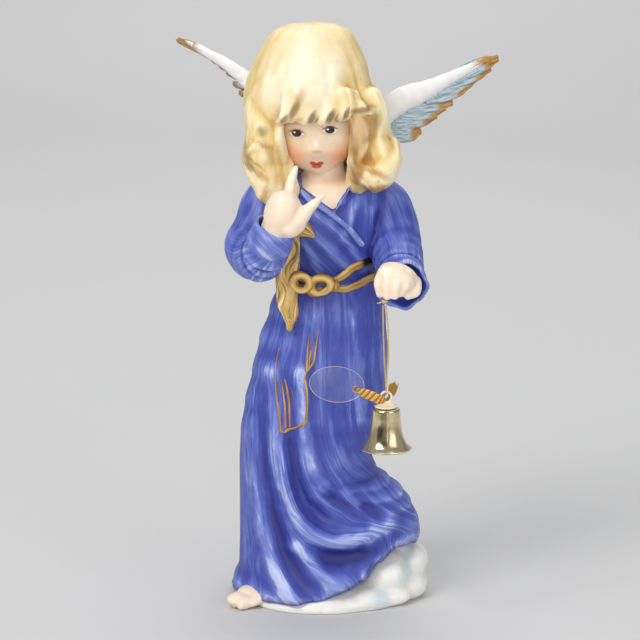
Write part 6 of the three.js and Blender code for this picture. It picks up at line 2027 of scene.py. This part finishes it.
def turned(bm: Mesh, profile: Track, axis: Pair, steps: int = 96) -> None:
    """Spins a closed profile of (radius, height) in millimetres round an upright axis.

    Args:
        bm: where the turned shape goes.
        profile: its outline, from which a full turn is made.
        axis: where the axis stands.
        steps: how many steps the turn has.
    """
    part = bmesh.new()
    foot = FIGURE.at((*axis, 0.0))
    verts = [part.verts.new(foot + Vector((radius, 0.0, height)) * MM) for radius, height in profile]
    edges = [part.edges.new((one, two)) for one, two in zip(verts, verts[1:])]
    bmesh.ops.spin(part, geom=verts + edges, cent=foot, axis=(0, 0, 1), dvec=(0, 0, 0), angle=2 * math.pi,
                   steps=steps, use_merge=True)
    bmesh.ops.remove_doubles(part, verts=part.verts, dist=1e-6)
    bmesh.ops.recalc_face_normals(part, faces=part.faces)
    merge_into(bm, part)


def smooth_profile(rows: Track, steps: int) -> Track:
    """A profile with a smooth line through its rows."""
    fine = spline(tuple((radius, height, 0.0) for radius, height in rows), np.linspace(0, 1, steps))
    return tuple((float(radius), float(height)) for radius, height, _ in fine)


@dataclass(frozen=True)
class Metal:
    """A polished or brushed metal: its colour, roughness and how uneven its polish is."""

    name: str
    colour: Colour
    shade: Colour
    rough: float
    wear: float
    scale: float
    bump: float
    share: float = 1.0

    def material(self) -> bpy.types.Material:
        """Makes the metal's material.

        Returns:
            The material.
        """
        material, bench, shader = new_material(self.name)
        place = bench.place()
        cloudy = bench.noise(bench.stretched(place, (1.0, 1.0, 0.8)), self.scale, detail=5.0, roughness=0.65)
        fine = bench.noise(place, self.scale * 5.0, detail=2.0)
        bench.fill(shader.inputs["Base Color"], bench.mix(bench.span(cloudy, 0.42, 0.7), self.colour, self.shade))
        bench.fill(shader.inputs["Roughness"],
                   bench.span(cloudy, 0.3, 0.75, self.rough, self.rough + self.wear, step=Step.STRAIGHT))
        bench.fill(shader.inputs["Normal"], bench.bump(bench.math("ADD", fine, cloudy), 0.6, self.bump))
        shader.inputs["Metallic"].default_value = self.share
        return material


BRASS = Metal("bell_brass_polished", srgb(236, 220, 180), srgb(216, 198, 150), 0.14, 0.12, 260.0, 0.003)
CORD_GOLD = Metal("cord_gold_thread", srgb(236, 208, 138), srgb(190, 154, 84), 0.34, 0.2, 2400.0, 0.03, 0.45)
TAG_GOLD = Metal("tag_pale_gold", srgb(232, 222, 196), srgb(206, 190, 150), 0.3, 0.2, 900.0, 0.01)
FOIL_GOLD = Metal("tie_gold_foil", srgb(232, 184, 88), srgb(204, 152, 60), 0.3, 0.15, 500.0, 0.02, 0.15)
GOLD_TONES = (srgb(92, 54, 18), srgb(184, 132, 56), srgb(234, 192, 112), srgb(252, 236, 180))


@dataclass
class BellCord:
    """The twisted gold cord, down from the knot, through the ear and up again, and the knot."""

    diameter: float = 0.6
    drop: float = 38.0
    foot: Point = (24.5, -51.0, 98.1)
    knot_at: Point = (23.6, -51.5, 136.1)
    twist_pitch: float = 1.5

    def cord(self, knot: Piece) -> Piece:
        """Args:
            knot: the knot that it hangs from; not used.

        Returns:
            The cord.
        """
        stations = tuple(tuple(value * self.drop + low for value, low in zip(row, self.foot)) for row in CORD_SHARES)
        route = even_route(stations, 0.6)
        length = float(np.sum(np.linalg.norm(np.diff(route, axis=0), axis=1)))
        half = self.diameter / 2
        bm = bmesh.new()
        Strand(as_stations(route), (half, half), (half, half), (1.0, 0.0, 0.0), 12, int(length * 8), 0.0,
               grooves=2, groove_depth=0.14, twist=2 * math.pi * length / self.twist_pitch).add_to(bm)
        piece = piece_from("gold_cord", bm)
        path = FIGURE.array(route)
        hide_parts("hanging_cord")
        return dress(piece, CORD_GOLD.material(), "cord")

    def knot(self) -> Piece:
        """Makes the overhand knot and its short end.

        Returns:
            The knot.
        """
        turn = np.linspace(0.0, 2 * np.pi, 37)[:-1]
        clover = np.stack([np.sin(turn) + 1.6 * np.sin(2 * turn), 0.7 * -np.sin(3 * turn),
                           0.8 * (np.cos(turn) - 1.5 * np.cos(2 * turn))], axis=1) * 0.42
        bm = bmesh.new()
        loops = as_stations(np.vstack([clover, clover[:1]]) + np.array(self.knot_at))
        tube(bm, loops, 0.3, 12, 160)
        end = tuple(tuple(value * 1.6 + middle for value, middle in zip(row, self.knot_at))
                    for row in ((-0.5, 0, 0), (-0.9, -0.05, -0.12), (-1.3, -0.12, -0.34), (-1.7, -0.2, -0.35)))
        tube(bm, end, 0.28, 12, 30)
        add_egg(bm, self.knot_at, (0.9, 0.7, 0.6), detail=20)
        piece = piece_from("knotted_cord", bm)
        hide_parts("cord_knot")
        return dress(piece, CORD_GOLD.material(), "knot")

    def build(self) -> None:
        """Makes the knot and the cord."""
        self.cord(self.knot())


IVORY = Paint("crown_ivory_enamel", srgb(206, 192, 150), srgb(236, 226, 196), srgb(246, 240, 216), srgb(254, 250, 236),
              streaks=0.12, form=0.6, rough=0.24, coat=0.4, bump=0.02)


@dataclass
class Bell:
    """The brass bell: shell, cast crown with its ear, staple, clapper and foil tie."""

    height: float = 17.0
    rim_radius: float = 10.5
    shoulder_radius: float = 5.6
    wall: float = 0.8
    rim_z: float = 75.35
    ear_hole_z: float = 96.85
    plate_z: float = 93.1
    clapper_z: float = 76.45
    clapper_radius: float = 1.98
    wire_radius: float = 0.34
    tie_reach: float = 18.0

    def shell(self) -> None:
        """Spins the shell: shoulder, waist, flared lip and the hollow inside."""
        spread = self.rim_radius - self.shoulder_radius
        rows = tuple((self.shoulder_radius + out * spread, self.rim_z + up * self.height)
                     for out, up in BELL_OUTLINE_SHARES)
        outer = smooth_profile(rows, 48)
        top = self.rim_z + self.height
        crown = ((1.1, top), (3.6, top), (4.9, top - 0.05), (5.4, top - 0.3), (5.62, top - 0.6))
        lip = ((10.5, self.rim_z + 0.45), (10.46, self.rim_z + 0.15), (10.3, self.rim_z), (10.05, self.rim_z + 0.02),
               (9.85, self.rim_z + 0.2))
        inner = tuple((radius - self.wall, height - self.wall * 0.4) for radius, height in outer[::-1][2:-1])
        roof = ((4.5, top - self.wall), (1.1, top - self.wall), (1.1, top))
        bm = bmesh.new()
        turned(bm, (*crown, *outer, *lip, *inner, *roof), BELL_AXIS)
        piece = piece_from("brass_shell", bm)
        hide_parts("bell_shell")
        dress(piece, BRASS.material(), "bell")

    def crown(self) -> None:
        """Casts the crown: a plate, a waisted foot, the ear's ring and the stud."""
        x, y = BELL_AXIS
        bm = bmesh.new()
        plate = ((0.0, -0.42), (4.3, -0.42), (4.66, -0.28), (4.68, 0.1), (4.45, 0.32), (3.9, 0.45), (0.0, 0.5))
        turned(bm, tuple((radius, self.plate_z + height) for radius, height in plate), BELL_AXIS, 64)
        levels = ((0.3, 4.25, 3.8), (0.7, 3.8, 2.7), (1.1, 3.4, 1.9), (1.5, 3.05, 1.35), (1.85, 2.8, 1.05),
                  (2.15, 2.6, 0.9))
        angle = full_turn(48)
        rings = np.array([np.stack([x + wide * np.cos(angle), y + deep * np.sin(angle),
                                    np.full(48, self.plate_z + up)], axis=1) for up, wide, deep in levels])
        part = bmesh.new()
        loft(part, rings)
        merge_into(bm, part)
        ring_of(bm, (x, y, self.ear_hole_z), (2.17, 2.17), (0.56, 0.8), (1, 0, 0), (0, 0, 1), 96, 24)
        tube(bm, ((x, y, 93.0), (x, y, 92.2), (x, y, 91.62)), 0.78, 24, 10)
        piece = piece_from("crown_cast", bm)
        remesh(piece, 0.13, 4, 0.5)
        store_relief(piece, 30, 0.2)
        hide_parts("bell_crown")
        dress(piece, painted(IVORY), "bell")

    def staple(self) -> None:
        """Makes the staple under the bell's roof."""
        x, y = BELL_AXIS
        bm = bmesh.new()
        washer = ((0.0, 91.22), (2.5, 91.22), (2.6, 91.12), (2.6, 90.68), (2.5, 90.56), (0.0, 90.56))
        turned(bm, washer, BELL_AXIS, 48)
        arc = tuple((x + 1.6 * math.cos(turn), y, 90.55 + 1.6 * math.sin(turn))
                    for turn in np.linspace(math.pi, 2 * math.pi, 13))
        tube(bm, arc, self.wire_radius, 12, 40)
        piece = piece_from("staple_wire", bm)
        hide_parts("clapper_staple")
        dress(piece, BRASS.material(), "bell")

    def clapper(self) -> None:
        """Makes the clapper's wire with its eye, and its ball."""
        x, y = BELL_AXIS
        bm = bmesh.new()
        ring_of(bm, (x, y, 88.25), (1.3, 1.3), (0.29, 0.29), (0, 1, 0), (0, 0, 1), 48, 12)
        tube(bm, ((x, y, 87.0), (x, y, 83.0), (x, y, 78.8)), self.wire_radius, 12, 20)
        piece = piece_from("clapper_rod", bm)
        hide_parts("clapper_wire")
        dress(piece, BRASS.material(), "clapper")
        bm = bmesh.new()
        add_egg(bm, (x, y, self.clapper_z), (self.clapper_radius,) * 3, detail=48)
        piece = piece_from("clapper_bead", bm)
        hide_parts("clapper_ball")
        dress(piece, BRASS.material(), "clapper")

    def tie(self) -> None:
        """Makes the ribbed foil tie that holds the tag."""
        ear = (*BELL_AXIS, self.ear_hole_z)
        stations = tuple(tuple(value * self.tie_reach + middle for value, middle in zip(row, ear))
                         for row in TIE_SHARES)
        half = widths((0.5, 0.28, 0.28, 0.4, 0.95, 1.05, 1.0, 0.75, 0.3, 0.3, 0.4), 1.95)
        x, y = BELL_AXIS
        bm = bmesh.new()
        Strand(stations[:11], half, (0.2, 0.2), (0.0, 0.0, 1.0), 24, 400).add_to(bm)
        leaf = ((x + 1.2, y + 1.25, 96.2), (x + 2.3, y + 1.6, 98.4), (x + 2.9, y + 1.8, 100.6),
                (x + 3.6, y + 1.9, 102.9))
        Strand(leaf, (0.4, 1.7, 1.95, 0.1), (0.16, 0.16), (1.0, -0.3, -0.2), 24, 200).add_to(bm)
        tube(bm, ((x + 1.4, y + 1.4, 97.0), (x + 4.0, y + 1.7, 99.6), (x + 5.0, y + 1.6, 102.0)), 0.16, 8, 40)
        piece = piece_from("foil_tie", bm)
        material = FOIL_GOLD.material()
        bench = Bench(material.node_tree)
        split = bench.node("ShaderNodeSeparateXYZ", inputs={0: bench.uv()})
        lean = bench.math("MULTIPLY", split.outputs[0], 12.0)
        ribs = bench.math("SINE", bench.math("ADD", bench.math("MULTIPLY", split.outputs[1], 100.0), lean))
        shader = material.node_tree.nodes["Principled BSDF"]
        bench.fill(shader.inputs["Normal"], bench.bump(ribs, 1.0, 0.2))
        bench.fill(shader.inputs["Base Color"],
                   bench.mix(bench.span(ribs, -0.9, 0.2), srgb(158, 106, 34), srgb(232, 180, 84)))
        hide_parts("tag_tie")
        dress(piece, material, "bell")

    def build(self) -> None:
        """Makes the bell and what hangs in and on it."""
        self.shell()
        self.crown()
        self.staple()
        self.clapper()
        self.tie()


@dataclass
class Tag:
    """The clear oval tag with its thin gold rim."""

    width: float = 22.5
    height: float = 15.2
    thickness: float = 0.5
    tilt: float = -0.1
    hole: Point = (7.95, -1.3, 1.1)
    pivot: Point = (12.4, -51.0, 100.0)
    rim_radius: float = 0.12

    def at(self, x: np.ndarray, y: np.ndarray, out: np.ndarray) -> np.ndarray:
        """Places on the tag, from its middle, in the figure's frame.

        Args:
            x: how far to the right.
            y: how far up.
            out: how far out of its plane.

        Returns:
            An array of places and x, y, z.
        """
        x, y = x - self.hole[0], y - self.hole[1]
        cos, sin = math.cos(self.tilt), math.sin(self.tilt)
        return np.stack([self.pivot[0] + cos * x - sin * y, self.pivot[1] - out, self.pivot[2] + sin * x + cos * y],
                        axis=-1)

    def plate(self) -> None:
        """Makes the clear plate with its hole."""
        angle = full_turn(128)
        half = self.thickness / 2
        oval = (self.width / 2 * np.cos(angle), self.height / 2 * np.sin(angle))
        hole = (self.hole[0] + self.hole[2] * np.cos(angle), self.hole[1] + self.hole[2] * np.sin(angle))
        rings = np.array([self.at(x, y, np.full(128, out)) for (x, y), out in
                          ((oval, half), (oval, -half), (hole, -half), (hole, half))])
        bm = bmesh.new()
        loft(bm, rings, closed=True)
        piece = piece_from("tag_plate", bm, smooth=False)
        material, bench, shader = new_material("tag_clear_film")
        haze = bench.noise(bench.place(), 120.0)
        bench.fill(shader.inputs["Roughness"], bench.span(haze, 0.3, 0.7, 0.04, 0.12))
        bench.fill(shader.inputs["Alpha"], bench.span(haze, 0.3, 0.7, 0.015, 0.05))
        shader.inputs["Base Color"].default_value = (*srgb(246, 246, 240), 1.0)
        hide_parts("tag")
        dress(piece, material, "name_tag")

    def rim(self) -> None:
        """Lays the gold rim along the edge."""
        bm = bmesh.new()
        inset, eye = self.thickness / 2, self.hole[2] + 0.2
        for middle, half, count in (((0.0, 0.0), (self.width / 2 - inset, self.height / 2 - inset), 97),
                                    (self.hole[:2], (eye, eye), 25)):
            angle = np.linspace(0, 2 * np.pi, count)
            line = self.at(middle[0] + half[0] * np.cos(angle), middle[1] + half[1] * np.sin(angle),
                           np.full(count, inset))
            tube(bm, as_stations(line), self.rim_radius, 8, 2 * (count - 1))
        piece = piece_from("tag_rim", bm)
        dress(piece, TAG_GOLD.material(), "name_tag")

    def build(self) -> None:
        """Makes the tag."""
        self.plate()
        self.rim()


GOLD_PAINT = Paint("gold_ochre_painted", *GOLD_TONES, rough=0.3, streaks=1.9, form=0.8, bump=0.1, flows=True, metal=0.3)
BELT_UPPER_LINE = ((-0.2, 1.41), (-0.06, 1.38), (0.047, 1.386), (0.081, 1.411), (0.118, 1.434), (0.151, 1.445),
                   (0.184, 1.455), (0.23, 1.45))
BELT_LOWER_LINE = ((-0.2, 1.37), (-0.06, 1.35), (0.047, 1.348), (0.09, 1.346), (0.135, 1.361), (0.172, 1.374),
                   (0.198, 1.383), (0.23, 1.385))


@dataclass
class Sash:
    """The painted belt strands, the bow, and the gold edged sash ends on the skirt."""

    paint: Paint = GOLD_PAINT
    waist_middle: float = 0.02

    def finish(self, name: str, strands: list[Strand], bm: Mesh, nodes: tuple[str, ...],
               extra: Extra | None = None) -> Piece:
        """Turns strands into one gold piece with strokes along them.

        Args:
            name: the piece's name.
            strands: the strands that its paint follows.
            bm: their surfaces.
            nodes: the solids that the piece replaces.
            extra: what else its colour gets.

        Returns:
            The piece.
        """
        piece = piece_from(name, bm)
        flow = read_flow(strands, points_of(piece))
        store_strokes(piece, flow.angle * 1.2 + flow.strand * 9.0, flow.along * 40.0)
        store(piece, "end", flow.along)
        # Painted highlight along the strand's upper front, and painted shade along its underside.
        rise = np.cos(flow.angle)
        store(piece, "crest_highlight", hump(rise, 0.55, 0.34) * (0.6 + 0.4 * np.sin(flow.along * 22.0)))
        store(piece, "rim", smooth_step((-0.62 - rise) / 0.3))
        store_relief(piece, 12, 0.4)
        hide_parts(*nodes)
        return dress(piece, painted(self.paint, extra), "figurine")

    def highlight_and_edge(self, bench: Bench, colour: object) -> object:
        """Paints a highlight on the gold's lit crests and a brown line along its edges, which on the belt strands is
        painted shade along the underside.
        """
        pale = bench.mix(bench.math("MULTIPLY", bench.attribute("crest_highlight"), 0.75), colour, srgb(252, 226, 160))
        return bench.mix(bench.math("MULTIPLY", bench.attribute("rim"), 0.6), pale, srgb(112, 68, 24))

    def sleeve_shade(self, bench: Bench, colour: object) -> object:
        """Adds painted shade, dark brown, where the strand runs under the sleeve, over the highlight and edge."""
        return bench.mix(bench.span(bench.attribute("end"), 0.8, 0.86), self.highlight_and_edge(bench, colour), srgb(40, 26, 16))

    def belt_strand(self, line: tuple, half: tuple[float, ...], depth: float) -> Strand:
        """A belt strand over the front of the waist, with both ends sunk into the robe.

        Args:
            line: its x and height over the front, in shares.
            half: its half-widths.
            depth: its half-depth.

        Returns:
            The strand.
        """
        stations = []
        for x in np.linspace(-0.17, 0.215, 16):
            z = float(look_up(line, np.array([x]))[0])
            front = 0.195 * math.sqrt(max(1.0 - ((x - self.waist_middle) / 0.215) ** 2, 0.0))
            stations.append((x * UNIT, -front * UNIT - 0.1, z * UNIT))
        return Strand(tuple(stations), half, (depth,) * 3, (0.0, 0.0, 1.0), 32, 90)

    def back_strand(self, height: float, half: float) -> Strand:
        """The belt across the back.

        Args:
            height: its height in millimetres.
            half: its half-width.

        Returns:
            The strand.
        """
        turn = np.linspace(-0.12 * math.pi, 1.12 * math.pi, 24)
        stations = tuple(((self.waist_middle + 0.205 * math.cos(angle)) * UNIT, 0.143 * UNIT * math.sin(angle), height)
                         for angle in turn)
        return Strand(stations, (half, half), (1.0, 1.0), (0.0, 0.0, 1.0), 24, 80)

    def belts(self) -> None:
        """Makes both belt strands."""
        upper = self.belt_strand(BELT_UPPER_LINE, (1.2, 1.1, 1.0, 1.3, 1.7, 1.75, 1.6), 1.0)
        lower = self.belt_strand(BELT_LOWER_LINE, (1.2, 1.0, 0.7, 1.1, 1.5, 1.7, 1.7), 0.9)
        for name, node, strand, back, extra in (("belt_top_strand", "belt_upper", upper, 141.5, self.sleeve_shade),
                                                ("belt_low_strand", "belt_lower", lower, 137.0, self.highlight_and_edge)):
            bm = bmesh.new()
            strands = [strand, self.back_strand(back, 1.4)]
            for part in strands:
                part.add_to(bm)
            self.finish(name, strands, bm, (node,), extra)

    def bow(self) -> None:
        """Makes the bow's two flat rings and its knot."""
        for name, node, centre, radii, section, lean in (
                ("bow_ring_right", "bow_loop_right", (-9.9, -24.2, 138.3), (3.5, 3.0), (1.65, 0.8), -0.6),
                ("bow_ring_left", "bow_loop_left", (-2.1, -23.6, 137.1), (4.4, 3.1), (1.75, 0.8), 0.4)):
            bm = bmesh.new()
            first = (math.cos(lean), 0.0, math.sin(lean))
            second = (-math.sin(lean), 0.0, math.cos(lean))
            ring_of(bm, centre, radii, section, first, second, 96, 24, uneven=0.2)
            piece = piece_from(name, bm)
            local = FIGURE.local(points_of(piece)) - np.array(centre)
            reach = np.hypot(local[:, 0] / radii[0], local[:, 2] / radii[1])
            round_place = np.arctan2(local[:, 2], local[:, 0])
            store_strokes(piece, reach * 3.2, round_place * 5.0)
            # Painted highlight on each ring's upper side, and a brown line along its inner and outer edges.
            lit = 0.35 + 0.65 * smooth_step((np.sin(round_place + 0.5) + 0.3) / 1.1)
            store(piece, "crest_highlight", hump(reach, 1.0, 0.2) * lit)
            store(piece, "rim", smooth_step((np.abs(reach - 1.0) - 0.36) / 0.1))
            store_relief(piece, 12, 0.4)
            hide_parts(node)
            dress(piece, painted(self.paint, self.highlight_and_edge), "figurine")
        for name, node, at, half in (("bow_middle", "bow_heart", (-6.3, -23.2, 138.2), (2.0, 1.4, 2.8)),
                                     ("belt_gather", "belt_knot", (4.3, -21.9, 136.8), (1.8, 1.3, 2.0))):
            bm = bmesh.new()
            add_egg(bm, at, half, detail=40)
            piece = piece_from(name, bm)
            local = points_of(piece) / MM
            store_strokes(piece, local[:, 0] * 2.0, local[:, 2])
            store_relief(piece, 12, 0.4)
            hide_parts(node)
            dress(piece, painted(self.paint), "figurine")

    def tails(self) -> None:
        """Draws the sash ends' gold edges and strokes as raised paint on the skirt."""
        for name, node, lines in (("sash_gold_long", "sash_long", SASH_LINES[:3] + SASH_LINES[6:]),
                                  ("sash_gold_short", "sash_short", SASH_LINES[3:6])):
            bm = bmesh.new()
            strands = []
            for track, half in lines:
                stations = tuple((x * UNIT, robe_front(x, z) * UNIT - 0.3, z * UNIT) for x, z in track)
                strands.append(Strand(stations, tuple(value * 0.9 for value in half), (0.3, 0.3), (1.0, 0.0, 0.0), 16,
                                      60))
            for strand in strands:
                strand.add_to(bm)
            self.finish(name, strands, bm, (node,))

    def build(self) -> None:
        """Makes belt, bow and sash."""
        self.belts()
        self.bow()
        self.tails()


@dataclass
class Studio:
    """The camera, the soft lights and the pale floor."""

    elevation: float = math.radians(12.0)
    distance: float = 1100.0
    millimetres_per_pixel: float = 0.42
    target: Point = (-2.11372, 0.0, 117.678)
    sensor: float = 36.0
    floor_bend: float = 0.735

    def camera(self) -> None:
        """Stands the camera at the photo's angle."""
        data = bpy.data.cameras.new("Camera")
        data.sensor_width = self.sensor
        data.lens = self.sensor * self.distance / (PICTURE_PIXELS * self.millimetres_per_pixel)
        camera = bpy.data.objects.new("Camera", data)
        target = FIGURE.at(self.target)
        away = Vector((0.0, -math.cos(self.elevation), math.sin(self.elevation))) * self.distance * MM
        camera.location = target + away
        camera.rotation_euler = (-away).to_track_quat("-Z", "Y").to_euler()
        bpy.context.scene.collection.objects.link(camera)
        bpy.context.scene.camera = camera

    def light(self, name: str, place: Point, size: float, power: float, colour: Colour = (1.0, 1.0, 1.0),
              target: Point = (0.0, 0.0, 0.12)) -> None:
        """Hangs a soft square lamp that faces the figure or another place.

        Args:
            name: the lamp's name.
            place: where it hangs.
            size: the side of its square.
            power: its watts.
            colour: its colour.
            target: the place that it faces.
        """
        data = bpy.data.lights.new(name, "AREA")
        data.size = size
        data.energy = power
        data.color = colour
        lamp = bpy.data.objects.new(name, data)
        lamp.location = Vector(place)
        lamp.rotation_euler = (Vector(target) - lamp.location).to_track_quat("-Z", "Y").to_euler()
        bpy.context.scene.collection.objects.link(lamp)

    def cover(self, piece: Piece, name: str, scale: float, tones: tuple[Colour, Colour], rough: float) -> None:
        """Covers a piece with a dull material of two close tones.

        Args:
            piece: the piece.
            name: the material's name.
            scale: the scale of its mottle.
            tones: the two tones.
            rough: how dull it is.
        """
        material, bench, shader = new_material(name)
        bench.fill(shader.inputs["Base Color"], bench.mix(bench.noise(bench.place(), scale), *tones))
        shader.inputs["Roughness"].default_value = rough
        piece.data.materials.append(material)

    def floor(self) -> None:
        """Lays the pale sweep that the figure stands on."""
        bm = bmesh.new()
        bmesh.ops.create_grid(bm, x_segments=4, y_segments=200, size=1.0)
        for vert in bm.verts:
            run = (vert.co.y + 1.0) / 2.0
            bend = (max(0.0, run - self.floor_bend) / (1.0 - self.floor_bend)) ** 2
            vert.co = Vector((vert.co.x * 4.5, -4.5 + run * 8.0 - bend * 1.5, bend * 3.0 - 0.0002))
        piece = piece_from("floor", bm)
        self.cover(piece, "pale_paper", 3.0, (srgb(206, 206, 206), srgb(212, 212, 212)), 0.85)

    def card(self) -> None:
        """Stands a dark card beside the camera that only polished metal mirrors."""
        bm = bmesh.new()
        stand = Matrix.Translation((-0.52, -0.62, 0.3)) @ Matrix.Rotation(math.pi / 2, 4, "X")
        bmesh.ops.create_grid(bm, x_segments=1, y_segments=1, size=1.0,
                              matrix=stand @ Matrix.Diagonal((0.6, 0.3, 1.0, 1.0)))
        piece = piece_from("dark_card", bm)
        for way in ("visible_camera", "visible_diffuse", "visible_shadow", "visible_transmission"):
            setattr(piece, way, False)
        self.cover(piece, "black_felt", 30.0, (srgb(22, 20, 18), srgb(34, 31, 28)), 0.9)

    def world(self) -> None:
        """Fills the room with even pale light."""
        world = bpy.data.worlds.new("Room")
        world.use_nodes = True
        world.node_tree.nodes["Background"].inputs["Color"].default_value = (*srgb(226, 228, 232), 1.0)
        world.node_tree.nodes["Background"].inputs["Strength"].default_value = 0.42
        bpy.context.scene.world = world

    def build(self) -> None:
        """Sets the whole studio up."""
        self.camera()
        self.world()
        self.floor()
        self.light("Key", (-0.75, -0.8, 1.15), 0.7, 11.0, (1.0, 0.985, 0.96))
        self.light("Fill", (0.9, -0.9, 0.6), 0.9, 3.5, (0.96, 0.98, 1.0))
        self.light("Top", (0.1, 0.35, 1.3), 0.8, 4.2)
        self.light("Backdrop", (0.0, 1.3, 1.6), 1.6, 13.0, (1.0, 0.99, 0.985), (0.0, 2.3, 0.0))
        self.light("Front", (-0.1, -1.5, 0.42), 0.6, 5.2, (1.0, 0.98, 0.95))
        self.card()
        bpy.context.scene.view_settings.view_transform = "Standard"


def main() -> None:
    """Builds the studio and dresses every piece."""
    logging.basicConfig(level=logging.INFO, format="%(name)s: %(message)s")
    Studio().build()
    BellCord().build()
    Bell().build()
    Tag().build()
    Skirt().build()
    Sash().build()
    RobeTop().build()
    Chest().build()
    Hands().build()
    Foot().build()
    Head().build()
    Hair().build()
    Wings().build()
    Cloud().build()


if __name__ == "__main__":
    main()
